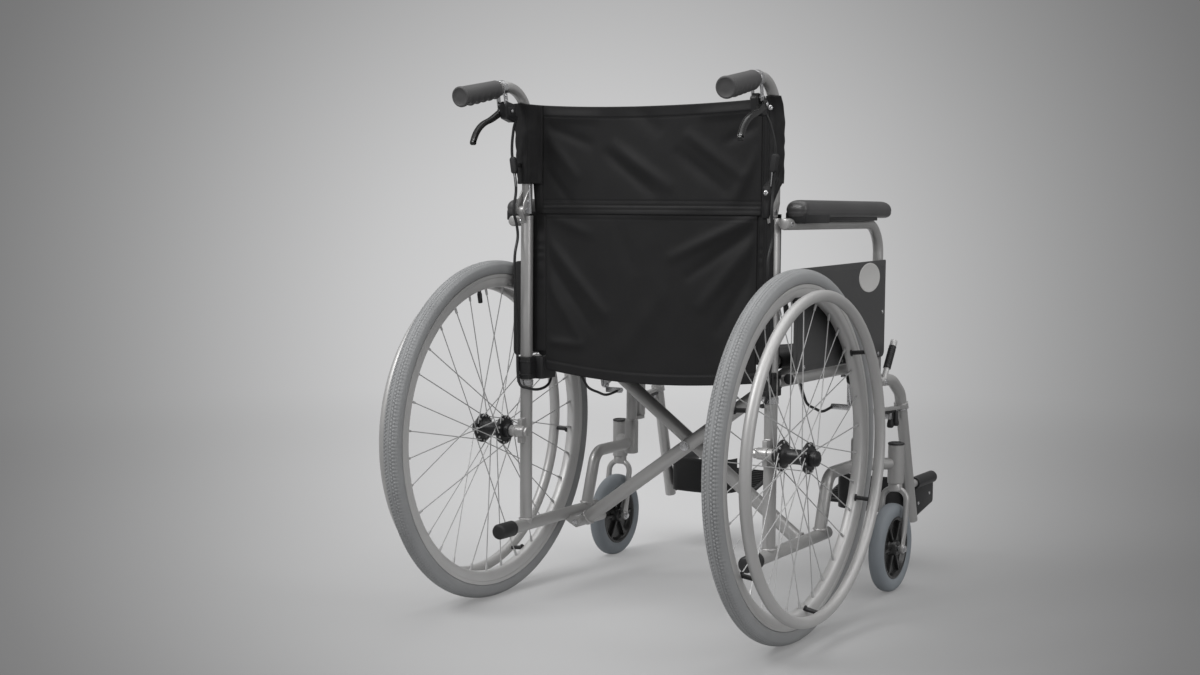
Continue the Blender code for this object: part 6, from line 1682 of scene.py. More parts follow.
@dataclass
class ParkingBrake:
    """The push-to-lock brake in front of the rear wheel."""

    rail_x: float = 0.243
    rail_z: float = 0.42
    plate_x: tuple[float, float] = (0.2545, 0.2585)
    shoe: tuple[float, float] = (-0.3073, 0.4045)
    shoe_pivot: tuple[float, float] = (-0.32115, 0.36169)
    shoe_tube: float = 0.0095
    shoe_end: float = 0.3155
    lever: tuple[float, float] = (-0.388, 0.394)
    lever_x: float = 0.293
    lever_length: float = 0.087
    lean: float = 35.0
    stop_x: float = 0.2255

    def upward(self) -> Vector:
        """The direction of the hand lever."""
        lean = math.radians(self.lean)
        return Vector((0, -math.sin(lean), math.cos(lean)))

    def bracket(self) -> Shape:
        """The side plate, the clamp on the rail and the cable stop."""
        (y, z), (ly, lz) = self.shoe_pivot, self.lever
        top = 0.416
        outline = (arc((y, z), 0.009, 180, 360, 14) + [(y + 0.009, top), (ly + 0.004, top), (ly - 0.009, top - 0.006)]
                   + arc((ly, lz), 0.009, 180, 250, 6))
        shape = Shape().plate(outline, Axis.X, self.plate_x[0], self.plate_x[1], 0.0007)
        low, high = (y + ly) / 2 - 0.012, (y + ly) / 2 + 0.012
        ring = [(self.rail_x + a, b) for a, b in arc((0, self.rail_z), 0.0142, 200, 340, 20)]
        inner = [(self.rail_x + a, b) for a, b in arc((0, self.rail_z), 0.0103, 340, 200, 20)]
        shape.plate(ring + inner, Axis.Y, low, high, 0.0004)
        left, right = self.rail_x - 0.014, 0.2555
        for first, last, level in ((self.rail_x + 0.008, right, top - 0.001), (left, self.rail_x - 0.0102, top - 0.001),
                                   (left, right, 0.4065)):
            shape.block((first, low, 0.402), (last, high, level), 0.0008)
        shape.block((self.stop_x - 0.004, y - 0.004, z - 0.016), (0.2555, y + 0.004, z - 0.006), 0.001)
        return shape

    def bolts(self) -> Shape:
        """The pivot pins with their heads, and the clamp's screws."""
        (y, z), (ly, lz) = self.shoe_pivot, self.lever
        shape = Shape().rod((0.2545, y, z), (0.2646, y, z), 0.0029, 16)
        shape.rod((0.2631, y, z), (0.2647, y, z), 0.006, 24, 0.0005)
        shape.rod((0.2545, ly, lz), (0.3, ly, lz), 0.0029, 16)
        shape.screw((0.2988, ly, lz), (1, 0, 0), 0.0058, 0.0026)
        middle = (y + ly) / 2
        for offset in (-0.007, 0.007):
            shape.hexagon((self.rail_x - 0.002, middle + offset, 0.4022), (0, 0, -1), 0.0075, 0.003)
        shape.hexagon((self.stop_x, y - 0.0042, z - 0.011), (0, -1, 0), 0.007, 0.0035)
        return shape.rod((self.stop_x, y + 0.004, z - 0.011), (self.stop_x, y + 0.0095, z - 0.011), 0.0034, 16,
                         0.0006)

    def shoe_arm(self) -> Shape:
        """The arm with the bright round shoe across the tyre."""
        shape = Shape().plate(slot_outline(self.shoe_pivot, self.shoe, 0.008, 12), Axis.X, 0.2591, 0.2628, 0.0006)
        y, z = self.shoe
        shape.rod((0.267, y, z), (self.shoe_end, y, z), self.shoe_tube, 32, 0.0012)
        return shape

    def shoe_cap(self) -> Shape:
        """The black cap on the shoe's inner end."""
        y, z = self.shoe
        return Shape().lathe([(0.268, 0), (0.268, 0.0098), (0.2674, 0.0103), (0.26, 0.0103), (0.259, 0.0096),
                              (0.2587, 0.008), (0.2587, 0)][::-1], Axis.X, (0, y, z), 36)

    def hand_lever(self) -> Shape:
        """The bright lever bar with its boss."""
        y, z = self.lever
        up = self.upward()
        start = Vector((self.lever_x, y, z))
        shape = Shape().rod((0.2588, y, z), (0.2985, y, z), 0.0079, 28, 0.0008)
        shape.rod(start + up * (self.lever_length - 0.016), start + up * self.lever_length, 0.0064, 20, 0.0012)
        return shape.tube([start, start + up * (self.lever_length - 0.008)], 0.0052, sides=20)

    def lever_grip(self) -> Shape:
        """The black grip sleeve with ribs."""
        y, z = self.lever
        start = Vector((self.lever_x, y, z))
        low, high = self.lever_length * 0.32, self.lever_length - 0.012
        profile = [(low, 0.0054), (low, 0.0064), (low + 0.0008, 0.007)]
        ribs, ribbed = 9, high - low - 0.008
        for rib in range(ribs):
            base = low + 0.004 + ribbed * rib / ribs
            profile += [(base + ribbed / ribs * share, radius)
                        for share, radius in ((0, 0.007), (0.55, 0.007), (0.66, 0.0064), (0.9, 0.0064))]
        profile += [(high - 0.001, 0.007), (high, 0.0062), (high, 0.0054)]
        turn = Matrix.Translation(start) @ aim(self.upward(), "X", "Y")
        return Shape().lathe(profile, Axis.X, (0, 0, 0), 32).turned(turn)

    def build(self, bench: Bench) -> None:
        """Make both parking brakes."""
        bench.pair("brake_plate", self.bracket, Look.STEEL, "side", "bright_steel", ["brake_bracket"])
        bench.pair("brake_pins", self.bolts, Look.STEEL, "side", "bright_steel")
        bench.pair("shoe_bar", self.shoe_arm, Look.STEEL, "lock_shoe", "bright_steel", ["brake_shoe"])
        bench.pair("shoe_cap", self.shoe_cap, Look.PLASTIC, "lock_shoe", "black_plastic", ["brake_shoe"])
        bench.pair("lock_bar", self.hand_lever, Look.RIM, "lock_lever", "bright_steel", ["parking_lever"])
        bench.pair("lock_grip", self.lever_grip, Look.PLASTIC, "lock_lever", "black_plastic", ["parking_lever"])


# Footrests


@dataclass
class Footrest:
    """The swing-away hanger with latch, footplate and heel strap."""

    x: float = 0.243
    pivot_y: float = -0.43
    foot_z: float = 0.2905
    head_z: float = 0.399
    tube: float = 0.011
    elbow: Point = (0.262, -0.508, 0.386)
    knee: Point = (0.267, -0.54, 0.358)
    end: Point = (0.27, -0.612, 0.1)
    bracket_z: float = 0.33
    latch: tuple[float, float] = (0.2514, -0.466)
    rod_x: float = 0.268
    rod_z: float = 0.172
    rod_front: float = -0.728
    plate_x: tuple[float, float] = (0.078, 0.268)
    plate_y: tuple[float, float] = (-0.722, -0.62)
    plate_z: float = 0.118
    plate_rise: float = 0.026
    thickness: float = 0.007
    ribs: int = 11
    strap_from: float = 0.256
    strap_span: float = 0.138
    strap_depth: float = 0.052
    strap_z: tuple[float, float] = (0.118, 0.188)

    def on_leg(self, z: float) -> Vector:
        """The point of the leg's middle line at a height."""
        knee, end = Vector(self.knee), Vector(self.end)
        return knee.lerp(end, (knee.z - z) / (knee.z - end.z))

    def hanger(self) -> Shape:
        """The hanger's tubes, bracket and footplate rod."""
        x = self.x
        shape = Shape().lathe([(self.foot_z, 0.0049), (self.foot_z, 0.0104), (self.foot_z + 0.0008, self.tube),
                               (self.head_z - 0.0008, self.tube), (self.head_z, 0.0104), (self.head_z, 0.0049)],
                              Axis.Z, (x, self.pivot_y, 0), 36)
        shape.tube([(x, self.pivot_y - 0.006, 0.387), self.elbow, self.knee, self.end], self.tube, 0.036, 28, 8)
        shape.rod(self.on_leg(0.339), self.on_leg(0.329), self.tube + 0.0026, 32, 0.0008)
        joint = self.on_leg(self.bracket_z)
        outline = [(x - 0.006, self.pivot_y - 0.008), (x + 0.006, self.pivot_y - 0.006),
                   (joint.x + 0.006, joint.y + 0.006), (joint.x - 0.006, joint.y + 0.006)]
        shape.plate(outline, Axis.Z, self.bracket_z - 0.003, self.bracket_z + 0.003, 0.0008)
        start = self.on_leg(self.rod_z)
        shape.tube([(self.rod_x, start.y, self.rod_z), (self.rod_x, self.rod_front + 0.003, self.rod_z)], 0.008,
                   sides=24)
        shape.ring((self.rod_x, start.y - 0.0112, self.rod_z), Axis.Y, 0.0083, 0.0014, 28)
        return shape.ring((x, self.pivot_y - 0.0112, 0.3868), Axis.Y, 0.0112, 0.0016, 32)

    def ends(self) -> Shape:
        """The black plugs of leg and rod."""
        end, start = Vector(self.end), self.on_leg(self.end[2] + 0.004)
        down = (end - start).normalized()
        shape = Shape().rod(end - down * 0.003, end + down * 0.0006, 0.01, 24, 0.0012)
        return shape.rod((self.rod_x, self.rod_front + 0.005, self.rod_z), (self.rod_x, self.rod_front, self.rod_z),
                         0.0084, 24, 0.0014)

    def latch_plate(self) -> Shape:
        """The release plate below the bracket with its knob."""
        x, y = self.latch
        top = self.bracket_z - 0.0033
        shape = Shape().plate(slot_outline((x, y), (x + 0.0085, y - 0.058), 0.006, 12), Axis.Z, top - 0.005, top,
                              0.0008)
        for across, deep, drop in ((0.007, 0.05, 0.034), (0.0135, 0.06, 0.031)):
            low = top - drop
            shape.lathe([(low, 0), (low, 0.0044), (low + 0.0012, 0.006), (low + 0.0035, 0.0066),
                         (low + 0.008, 0.0064), (low + 0.014, 0.005), (top - 0.003, 0.0048), (top - 0.002, 0.0044),
                         (top - 0.002, 0)], Axis.Z, (x + across, y - deep, 0), 28)
        return shape

    def latch_pin(self) -> Shape:
        """The latch's pivot screw."""
        x, y = self.latch
        top = self.bracket_z
        return (Shape().rod((x, y, top - 0.012), (x, y, top), 0.0024, 14)
                .rod(self.on_leg(0.329), self.on_leg(0.3274), self.tube + 0.0031, 32, 0.0004)
                .block((x - 0.0005, y - 0.046, top - 0.02), (x + 0.0125, y - 0.036, top - 0.008), 0.0006)
                .screw((x, y, top + 0.0028), (0, 0, 1), 0.0044, 0.002)
                .hexagon((x, y, top - 0.0086), (0, 0, -1), 0.0075, 0.0032))

    def surface(self, y: float) -> float:
        """The height of the plate's smooth top at a given y."""
        front, rear = self.plate_y
        return self.plate_z + self.thickness + self.plate_rise * (rear - y) / (rear - front)

    def plate(self) -> Shape:
        """The ribbed footplate with its cheek and sleeve."""
        front, rear = self.plate_y
        inner, outer = self.plate_x
        outline = rounded_outline([(inner, rear, 0.014), (inner, front, 0.022), (outer, front, 0.006),
                                   (outer, rear, 0.006)], 8)
        slope = self.plate_rise / (rear - front)
        part = Shape().plate(outline, Axis.Z, 0.0, self.thickness, 0.0014, 3)
        for vert in part.mesh.verts:
            vert.co.z += self.plate_z + slope * (rear - vert.co.y)
        pitch = (rear - front) / (self.ribs + 1)
        for index in range(self.ribs):
            y = rear - pitch * (index + 1)
            z = self.surface(y)
            low, high = inner + (0.01 if index in (0, self.ribs - 1) else 0.006), outer - 0.012
            part.block((low, y - 0.0021, z - 0.002), (high, y + 0.0021, z + 0.0024), 0.0008)
        for x in (inner + 0.04, inner + 0.09, inner + 0.14):
            for y in (rear - 0.012, front + 0.012):
                top = self.surface(y)
                part.block((x - 0.002, y, top - self.thickness - 0.0004), (x + 0.002, y + 0.004, top), 0.0004)
        low = self.rod_x - 0.004
        cheek = rounded_outline([(rear - 0.004, 0.104, 0.004), (rear - 0.004, self.rod_z - 0.006, 0.004),
                                 (rear - 0.018, self.rod_z + 0.006, 0.006), (front, self.rod_z + 0.006, 0.003),
                                 (front, 0.122, 0.006)], 6)
        part.plate(cheek, Axis.X, low, low + 0.008, 0.0012, 3)
        part.lathe([(front, 0.0085), (front, 0.0112), (front + 0.001, 0.012), (rear - 0.005, 0.012),
                    (rear - 0.004, 0.0112), (rear - 0.004, 0.0085)], Axis.Y, (self.rod_x, 0, self.rod_z), 36)
        return part

    def cheek_screws(self) -> Shape:
        """The screws in the cheek's outer face."""
        shape = Shape()
        for y, z in ((-0.64, 0.13), (-0.7, 0.142)):
            shape.screw((self.rod_x + 0.0038, y, z), (1, 0, 0), 0.0036, 0.0018)
        return shape

    def strap(self) -> Shape:
        """The webbing heel strap on its loop behind the plate."""
        start, reach = self.plate_y[1] + TOUCH, self.strap_depth - TOUCH
        shares = [(0, 0), (0.0145, 0.346), (0.116, 0.885), (0.326, 1), (0.616, 1), (0.87, 0.885), (0.986, 0.346),
                  (1, 0)]
        route = smooth_curve([(self.strap_from - self.strap_span * across, start + reach * back, 0) for across,
                              back in shares], 6)
        low, high = self.strap_z
        runs = lengths(route)
        count = len(route) - 1

        def place(u: float, v: float) -> tuple[Vector, Flat]:
            """Lean the strap's middle out a little."""
            column = round(u * count)
            spot, share = route[column], runs[column] / runs[-1]
            lean = 0.002 * math.sin(math.pi * v) * min(1.0, 8 * share, 8 - 8 * share)
            return Vector((spot.x, spot.y + lean, low + (high - low) * v)), (runs[column], v * (high - low))

        return Shape().sheet(count, 14, place)

    def build(self, bench: Bench) -> None:
        """Make both footrests."""
        bench.pair("hanger_tubes", self.hanger, Look.PAINT, "footrest", "silver_paint", ["hanger"])
        bench.pair("hanger_plugs", self.ends, Look.PLASTIC, "footrest", "black_plastic", ["hanger"])
        bench.pair("latch_lever", self.latch_plate, Look.PLASTIC, "latch", "black_plastic", ["hanger_latch"])
        bench.pair("latch_screw", self.latch_pin, Look.STEEL, "footrest", "bright_steel", ["hanger"])
        bench.pair("ribbed_plate", self.plate, Look.PLASTIC, "foot", "black_plastic", ["footplate"])
        bench.pair("cheek_screws", self.cheek_screws, Look.STEEL, "foot", "bright_steel")
        for side, strap in bench.pair("webbing_strap", self.strap, Look.WEBBING, "foot", "black_cloth",
                                      ["heel_strap"]).items():
            give_wall(strap, 0.0024)
            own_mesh(strap)


# Upholstery


@dataclass(frozen=True)
class Crease:
    """A soft fold in cloth along a line, raised or pressed by a depth."""

    start: Flat
    end: Flat
    width: float
    depth: float

    def at(self, x: float, z: float) -> float:
        """How far the cloth stands out at a place."""
        ax, az = self.start
        bx, bz = self.end
        dx, dz = bx - ax, bz - az
        along = ((x - ax) * dx + (z - az) * dz) / (dx * dx + dz * dz)
        if not -0.15 < along < 1.15:
            return 0.0
        held = max(0.0, min(1.0, along))
        off = math.hypot(x - ax - held * dx, z - az - held * dz) / self.width
        if off > 2.5:
            return 0.0
        fade = math.sin(math.pi * max(0.0, min(1.0, (along + 0.15) / 1.3))) ** 0.7
        return self.depth * math.exp(-off * off) * fade


@dataclass
class BackCloth:
    """The nylon back in two parts, with sleeves round the tubes, hems and stitching."""

    tube_x: float = 0.243
    tube_y: float = -0.022
    thickness: float = 0.0016
    lower_wrap: float = 0.0127
    sleeve: float = 0.0111
    sag: float = 0.02
    lower_seam: float = 0.209
    upper_seam: float = 0.216
    lower_top: float = 0.6972
    upper_bottom: float = 0.6945
    sleeve_bottom: float = 0.747
    sleeve_top: float = 0.8835
    loose_bottom: float = 0.69
    bend: float = 0.06
    bend_z: float = 0.8539
    side_hem: float = 0.4475
    fold_shift: float = 0.3286
    upper_folds: tuple[Crease, ...] = (
        Crease((0.058, 0.812), (-0.048, 0.742), 0.012, 0.0048), Crease((0.075, 0.8), (-0.02, 0.73), 0.01, -0.003),
        Crease((-0.085, 0.828), (-0.178, 0.76), 0.011, 0.0046), Crease((-0.065, 0.8), (-0.15, 0.735), 0.011, -0.0034),
        Crease((0.212, 0.866), (0.095, 0.862), 0.01, 0.004), Crease((0.212, 0.85), (0.11, 0.815), 0.01, -0.0034),
        Crease((0.212, 0.835), (0.14, 0.76), 0.011, 0.0034), Crease((0.205, 0.77), (0.15, 0.712), 0.009, -0.0024),
        Crease((-0.212, 0.868), (-0.11, 0.862), 0.009, 0.0036), Crease((-0.212, 0.845), (-0.15, 0.815), 0.009, -0.003),
        Crease((-0.21, 0.8), (-0.165, 0.715), 0.01, 0.0032), Crease((0.02, 0.88), (-0.03, 0.835), 0.014, -0.0026))
    lower_folds: tuple[Crease, ...] = (
        Crease((-0.206, 0.692), (-0.055, 0.622), 0.01, 0.0046), Crease((-0.206, 0.672), (-0.085, 0.59), 0.01, -0.0036),
        Crease((-0.206, 0.655), (-0.11, 0.54), 0.012, 0.0044), Crease((-0.206, 0.61), (-0.14, 0.5), 0.011, -0.0034),
        Crease((-0.2, 0.56), (-0.15, 0.44), 0.012, 0.0034), Crease((0.206, 0.648), (0.08, 0.522), 0.012, 0.005),
        Crease((0.206, 0.615), (0.105, 0.495), 0.011, -0.0036), Crease((0.206, 0.575), (0.13, 0.47), 0.011, 0.0032),
        Crease((0.206, 0.466), (0.128, 0.464), 0.008, 0.0036), Crease((0.2, 0.69), (0.11, 0.66), 0.01, 0.003),
        Crease((0.06, 0.69), (0.02, 0.6), 0.016, -0.0024), Crease((-0.04, 0.56), (0.04, 0.45), 0.018, 0.0022))

    def rest_y(self, x: float, wrap: float) -> float:
        """Where the unfolded cloth lies between the tubes."""
        return self.tube_y - wrap + self.sag * (1 - min(1.0, (x / self.tube_x) ** 2)) ** 2

    def upper_y(self, x: float, z: float) -> float:
        """Where the upper part lies, with its folds."""
        calm = step_up(0.0, 0.02, self.upper_seam - abs(x)) * step_up(0.0, 0.014, z - self.upper_bottom)
        folds = 0.7 * sum(fold.at(x, z) for fold in self.upper_folds)
        soft = 0.0022 * noise.noise(Vector((x * 7, z * 7, 1.7))) + 0.0006 * noise.noise(Vector((x * 32, z * 22,
                                                                                                4.1)))
        return self.rest_y(x, self.sleeve) + calm * (folds + soft)

    def lower_y(self, x: float, z: float) -> float:
        """Where the lower part lies, with its folds."""
        calm = step_up(0.0, 0.018, self.lower_seam - abs(x)) * step_up(0.0, 0.014, self.lower_top - z)
        folds = 0.7 * sum(fold.at(x, z) for fold in self.lower_folds)
        soft = 0.0026 * noise.noise(Vector((x * 6, z * 6, 8.3))) + 0.0007 * noise.noise(Vector((x * 30, z * 20,
                                                                                                2.9)))
        return self.rest_y(x, self.lower_wrap) + calm * (folds + soft)

    def upper_edge(self, x: float) -> float:
        """The height of the upper part's top edge."""
        return 0.878 + 0.01 * min(abs(x) / self.tube_x, 1) ** 2

    def hem(self, x: float) -> float:
        """The height of the lower part's curved hem."""
        return 0.404 + 0.016 * (x / self.tube_x) ** 2

    def hem_lift(self, off: float, width: float) -> float:
        """How much a folded hem stands proud at a distance from its edge."""
        return 0.0007 * (1 - step_up(width - 0.0012, width, off)) - groove(off - width)

    def upper_web(self) -> Shape:
        """The upper part between its sleeves."""

        def place(u: float, v: float) -> tuple[Vector, Flat]:
            """Hang the web between its seams, with its hems pressed in."""
            x = self.upper_seam * (2 * u - 1)
            top = self.upper_edge(x)
            z = self.upper_bottom + (top - self.upper_bottom) * v
            lift = self.hem_lift(top - z, 0.019) + self.hem_lift(z - self.upper_bottom, 0.0145)
            lift -= sum(groove(z - self.upper_bottom - above) for above in (0.0077, 0.023))
            return Vector((x, self.upper_y(x, z) + lift, z)), (x, z)

        return Shape().sheet(150, 110, place)

    def lower_web(self) -> Shape:
        """The lower part between its side strips."""

        def place(u: float, v: float) -> tuple[Vector, Flat]:
            """Hang the web between its seams, with its hems pressed in."""
            x = self.lower_seam * (2 * u - 1)
            low = self.hem(x)
            z = low + (self.lower_top - low) * v
            lift = self.hem_lift(z - low, 0.0175) + self.hem_lift(self.lower_top - z, 0.01)
            return Vector((x, self.lower_y(x, z) + lift, z)), (x, z)

        return Shape().sheet(150, 130, place)

    def leaned(self, x: float, y: float, z: float) -> Vector:
        """A place of the sleeve, carried to the rear where the tube bends."""
        level = math.sqrt(self.bend ** 2 - max(0.0, z - self.bend_z) ** 2)
        hold = step_up(0.217, 0.237, x)
        reach = (y - self.tube_y) * (1 + hold * (self.bend / level - 1))
        return Vector((x, self.tube_y + reach + hold * (self.bend - level), z))

    def sleeve_plan(self, z: float, loose: bool) -> list[Flat]:
        """Plan of the left sleeve at a height: flap, the tube's rear, a loose fold outside it, back to the seam."""
        reach = 0.0155 - 0.0022 * step_up(0.84, 0.885, z) if loose else 0.0185 + 0.066 * (z - 0.747)
        flap = self.rest_y(0.219, self.sleeve) + 0.0019
        rear = arc((self.tube_x, self.tube_y), self.sleeve, 152, 62, 10)
        turn = arc((self.tube_x + reach - 0.0022, self.tube_y), 0.0022, 62, -62, 6)
        front = arc((self.tube_x, self.tube_y), self.sleeve, -62, -90, 4)
        hang = [(0.2165, flap), (0.2225, flap + 0.0002), (0.228, flap + 0.0026), *rear]
        hang += [self.midway(rear[-1], turn[0], share) for share in (0.25, 0.5, 0.75)]
        if loose:
            slack = 0.0155 * (1 - step_up(0.738, 0.752, z))
            hang = [(x, y + slack * step_up(0.2285, 0.2335, x) * (1 - step_up(0.2495, 0.256, x))) for x, y in hang]
        back = [self.midway(turn[-1], front[0], share) for share in (0.25, 0.5, 0.75)]
        web = [(x, self.rest_y(x, self.sleeve)) for x in (0.237, 0.232, 0.227, 0.2215, self.upper_seam)]
        return hang + turn + back + front + web

    @staticmethod
    def midway(first: Flat, last: Flat, share: float) -> Flat:
        """A place between two others."""
        return (first[0] + (last[0] - first[0]) * share, first[1] + (last[1] - first[1]) * share)

    def sleeve_cloth(self, loose: bool) -> Shape:
        """A left sleeve of the upper part; a loose one hangs down over the hinge."""
        rest = [Vector((*spot, 0)) for spot in self.sleeve_plan(0.8, False)]
        runs = lengths(rest)
        count = len(rest) - 1

        def place(u: float, v: float) -> tuple[Vector, Flat]:
            """Wrap the sleeve round its tube, with soft waves where it is loose."""
            column = round(u * count)
            low = self.upper_bottom if column > count - 4 else self.sleeve_bottom
            if loose and column < 18:
                low = self.loose_bottom + (self.sleeve_bottom - self.loose_bottom) * step_up(12, 17, column)
            z = low + (self.upper_edge(rest[column].x) - low) * v
            x, y = self.sleeve_plan(z, loose)[column]
            spot = self.leaned(x, y, z)
            if 2 < column < 28:
                out = Vector((x - self.tube_x, y - self.tube_y, 0))
                wave = 0.5 + 0.5 * math.sin(z * 230 + column * 0.4 + 3 * noise.noise(Vector((column * 0.3, z * 30,
                                                                                             3))))
                spot += out.normalized() * wave * (0.0004 + 0.0011 * step_up(0.0115, 0.019, out.length))
            return spot, (runs[column], z)

        return Shape().sheet(count, 60, place)

    def tube_flap(self) -> Shape:
        """The flap of the lower part round the inner side of the right upright, drawn for the left."""
        route = [Vector((0.219, -0.0323, 0)), Vector((0.224, -0.0323, 0)), Vector((0.229, -0.0322, 0))]
        route += [Vector((a, b, 0)) for a, b in arc((self.tube_x, self.tube_y), self.lower_wrap, 225, 62, 18)]
        runs = lengths(route)
        count = len(route) - 1

        def place(u: float, v: float) -> tuple[Vector, Flat]:
            """Wrap the flap round the upright, with soft waves."""
            column = round(u * count)
            z = self.side_hem + (self.loose_bottom - 0.001 - self.side_hem) * v
            out = Vector((route[column].x - self.tube_x, route[column].y - self.tube_y, 0)).normalized()
            wave = 0.5 + 0.5 * math.sin(z * 150 + column * 0.3 + 3 * noise.noise(Vector((column * 0.2, z * 20, 5))))
            lift = out * wave * 0.0005 * step_up(2, 5, column)
            return Vector((route[column].x, route[column].y, z)) + lift, (runs[column], z)

        return Shape().sheet(count, 80, place)

    def edge_cloth(self) -> Shape:
        """The left side strip of the lower part, round the front of the upright."""
        web = [Vector((x, self.rest_y(x, self.lower_wrap), 0)) for x in (self.lower_seam, 0.214, 0.219, 0.224,
                                                                         0.229, 0.234, 0.2385)]
        route = web + [Vector((a, b, 0)) for a, b in arc((self.tube_x, self.tube_y), self.lower_wrap, -90, -50, 6)]
        runs = lengths(route)
        count = len(route) - 1

        def place(u: float, v: float) -> tuple[Vector, Flat]:
            """Let the strip ripple between its seam and its end."""
            column = round(u * count)
            spot = route[column]
            z = self.side_hem + (self.lower_top - self.side_hem) * v
            free = (step_up(0.0, 0.008, spot.x - self.lower_seam) * step_up(0.0, 0.012, 0.24 - spot.x)
                    * step_up(0.0, 0.02, self.lower_top - z))
            ripple = (0.0005 * math.sin(z * 310 + 2 * math.sin(z * 90)) * step_up(0.53, 0.6, z)
                      + 0.0012 * noise.noise(Vector((spot.x * 40, z * 26, 6))))
            return Vector((spot.x, spot.y + free * ripple, z)), (runs[column], z)

        return Shape().sheet(count, 90, place)

    def web_stitches(self, reach: float, surface: Callable[[float, float], float],
                     levels: Sequence[Callable[[float], float]]) -> Shape:
        """The stitched lines across a web, on both its faces.

        Args:
            reach: How far they go to each side.
            surface: Where the web lies at a place.
            levels: The height of each line across the web.

        Returns:
            The stitches.
        """
        shape = Shape()
        out = self.thickness / 2 + STITCH_PROUD
        for side in (1, -1):
            for level in levels:
                def line(share: float) -> Vector:
                    """A place on the line."""
                    x = reach * (2 * share - 1)
                    return Vector((x, surface(x, level(x)) + side * out - STITCH_SUNK, level(x)))

                shape.stitches(line, round(2 * reach / STITCH_PITCH))
        return shape

    def upper_stitches(self) -> Shape:
        """The stitched lines between the sleeves of the upper part."""
        return self.web_stitches(self.upper_seam - 0.002, self.upper_y,
                                 [lambda x: self.upper_bottom + 0.0145, lambda x: self.upper_bottom + 0.023,
                                  lambda x: self.upper_edge(x) - 0.019])

    def lower_stitches(self) -> Shape:
        """The stitched lines of the lower part's middle."""
        return self.web_stitches(self.lower_seam - 0.002, self.lower_y,
                                 [lambda x: self.hem(x) + 0.0175, lambda x: self.lower_top - 0.01])

    def sleeve_stitches(self) -> Shape:
        """The two stitched lines down the left sleeve's flap."""
        shape = Shape()
        out = self.thickness / 2 + STITCH_PROUD
        height = self.sleeve_top - self.sleeve_bottom - 0.006
        rear = arc((self.tube_x, self.tube_y), self.sleeve + out + 0.0007, 118, 118, 1)[0]
        for spot in ((0.2188, self.rest_y(0.219, self.sleeve) + 0.0019 + out), rear):
            shape.stitches(lambda share: self.leaned(*spot, self.sleeve_bottom + 0.003 + height * share),
                           round(height / STITCH_PITCH))
        return shape

    def edge_stitches(self) -> Shape:
        """The stitched lines of the left side strip."""
        shape = Shape()
        height = self.lower_top - self.side_hem - 0.012
        for x in (self.lower_seam + 0.002, self.lower_seam + 0.019):
            y = self.rest_y(x, self.lower_wrap) + (self.thickness / 2 + STITCH_PROUD)
            shape.stitches(lambda share: Vector((x, y, self.side_hem + 0.006 + height * share)),
                           round(height / STITCH_PITCH))
        return shape

    def sleeve_screws(self) -> Shape:
        """The cross-head screws through the right sleeve, drawn for the left."""
        y = self.tube_y + self.sleeve + self.thickness / 2
        shape = Shape().screw(self.leaned(0.241, y + 0.0004, 0.869), (0, 1, -0.25), 0.0042, 0.0022)
        return shape.screw((0.241, y + 0.0157, 0.7315), (0, 1, 0), 0.0042, 0.0022)

    def fold(self, piece: bpy.types.Object, seam: float, bench: Bench) -> None:
        """Give a middle part its own copy of its mesh."""
        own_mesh(piece)

    def build(self, bench: Bench) -> None:
        """Make the whole back."""
        for name, shape, body, seam, flat, nodes in (
                ("back_web_upper", self.upper_web(), "right_back", self.upper_seam, (0.437, 0.187),
                 ["back_cloth_upper"]),
                ("back_web_lower", self.lower_web(), "right_side", self.lower_seam, (0.423, 0.288),
                 ["back_cloth_lower"])):
            piece = bench.put(name, shape, Look.CLOTH, body, nodes, 80)
            give_wall(piece, self.thickness)
            self.fold(piece, seam, bench)
        for piece in bench.pair("back_edge", self.edge_cloth, Look.CLOTH, "side", "black_cloth", [], 80).values():
            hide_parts("back_cloth_lower")
            give_wall(piece, self.thickness)
        for name, shape, body, flat, node in (
                ("left_back_sleeve", self.sleeve_cloth(False), "left_back", (0.112, 0.143), "back_cloth_upper"),
                ("right_back_sleeve", self.sleeve_cloth(True).mirrored(), "right_back", (0.1, 0.165),
                 "back_cloth_upper"),
                ("right_tube_flap", self.tube_flap().mirrored(), "right_side", (0.046, 0.242), "back_cloth_lower")):
            piece = bench.put(name, shape, Look.CLOTH, body, [node], 80)
            give_wall(piece, self.thickness)
        for name, shape, body, seam in (("upper_stitches", self.upper_stitches(), "right_back", self.upper_seam),
                                        ("lower_stitches", self.lower_stitches(), "right_side", self.lower_seam)):
            self.fold(bench.put(name, shape, Look.THREAD, body), seam, bench)
        bench.pair("sleeve_stitches", self.sleeve_stitches, Look.THREAD, "back", "black_cloth")
        bench.pair("edge_stitches", self.edge_stitches, Look.THREAD, "side", "black_cloth")
        bench.put("right_sleeve_screws", self.sleeve_screws().mirrored(), Look.STEEL, "right_back")


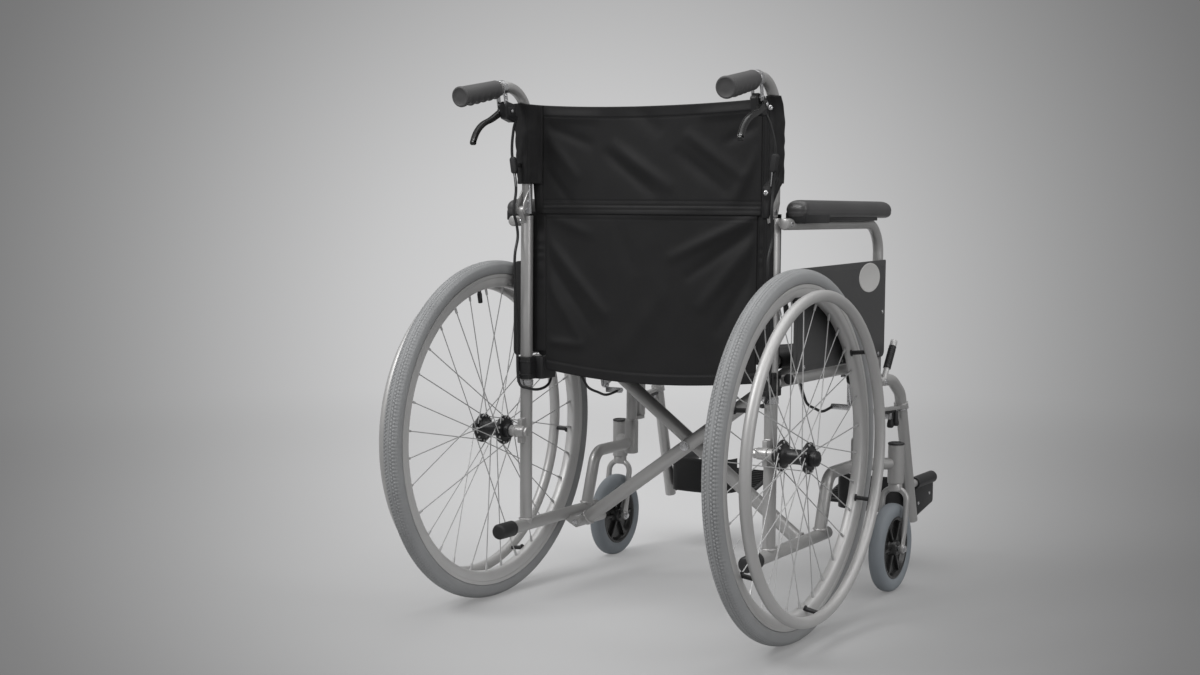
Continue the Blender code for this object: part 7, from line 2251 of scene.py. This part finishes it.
@dataclass
class SeatCloth:
    """The nylon seat slung between the seat rails."""

    rail_x: float = 0.2205
    rail_z: float = 0.45
    wrap: float = 0.0128
    sag: float = 0.02
    rear: float = -0.082
    front: float = -0.432
    thickness: float = 0.0018

    def top(self, x: float) -> float:
        """The height of the unfolded seat between the rails."""
        return self.rail_z + self.wrap - self.sag * (1 - min(1.0, (x / self.rail_x) ** 2)) ** 2

    def height(self, x: float, y: float) -> float:
        """The height of the seat with its soft folds."""
        calm = step_up(0.0, 0.03, self.rail_x - abs(x)) * step_up(0.0, 0.012, min(self.rear - y, y - self.front))
        tension = 0.0016 * math.sin(y * 46 + 3 * math.sin(x * 5)) * step_up(0.05, 0.2, abs(x))
        broad = 0.003 * noise.noise(Vector((x * 5, y * 6, 2.2)))
        return self.top(x) + calm * (tension + broad + 0.0007 * noise.noise(Vector((x * 24, y * 30, 7.5))))

    def cloth(self) -> Shape:
        """The seat's sheet with a hem at front and rear."""
        steps = 60
        web = [(self.rail_x * (2 * step / steps - 1), None) for step in range(1, steps)]
        right = [(-(self.rail_x + a), self.rail_z + b) for a, b in arc((0, 0), self.wrap, -75, 90, 12)]
        left = [(self.rail_x + a, self.rail_z + b) for a, b in arc((0, 0), self.wrap, 90, -75, 12)]
        route = right + web + left
        flat = [Vector((x, self.top(x) if z is None else z, 0)) for x, z in route]
        runs = lengths(flat)
        count = len(route) - 1

        def place(u: float, v: float) -> tuple[Vector, Flat]:
            """Sling the seat between its rails, with its hems pressed in."""
            column = round(u * count)
            x, z = route[column]
            y = self.rear + (self.front - self.rear) * v
            off = min(self.rear - y, y - self.front)
            lift = 0.0007 * (1 - step_up(0.016, 0.0172, off)) - groove(off - 0.0172, 0.0012)
            return Vector((x, y, self.height(x, y) + lift if z is None else z)), (runs[column], y)

        return Shape().sheet(count, 96, place)

    def stitches(self) -> Shape:
        """The stitched lines of both hems."""
        shape = Shape()
        reach = self.rail_x - 0.004
        for y in (self.rear - 0.0172, self.front + 0.0172):
            for side in (1, -1):
                def line(share: float) -> Vector:
                    """A place on the line."""
                    x = reach * (2 * share - 1)
                    return Vector((x, y,
                                   self.height(x, y) - STITCH_SUNK + side * (self.thickness / 2 + STITCH_PROUD)))

                shape.stitches(line, 88)
        return shape

    def build(self, bench: Bench) -> None:
        """Make the seat."""
        piece = bench.put("seat_sling", self.cloth(), Look.CLOTH, "", ["seat_cloth"], 80)
        give_wall(piece, self.thickness)
        thread = bench.put("seat_stitches", self.stitches(), Look.THREAD, "")
        for item in (piece, thread):
            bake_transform(item)


def main() -> None:
    """Build the chair and its studio, and note the sizes."""
    logging.basicConfig(level=logging.INFO, format="%(name)s %(message)s")
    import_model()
    low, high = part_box("left_tyre")
    bench = Bench((low.y + high.y) / 2)
    Studio().build(bench)
    for assembly in (RearWheel(), Caster(), SideFrame(), CrossBrace(), BackCane(), Armrest(), ParkingBrake(),
                     Footrest(), BackCloth(), SeatCloth()):
        assembly.build(bench)
        LOG.info("%s is ready", type(assembly).__name__)


if __name__ == "__main__":
    main()
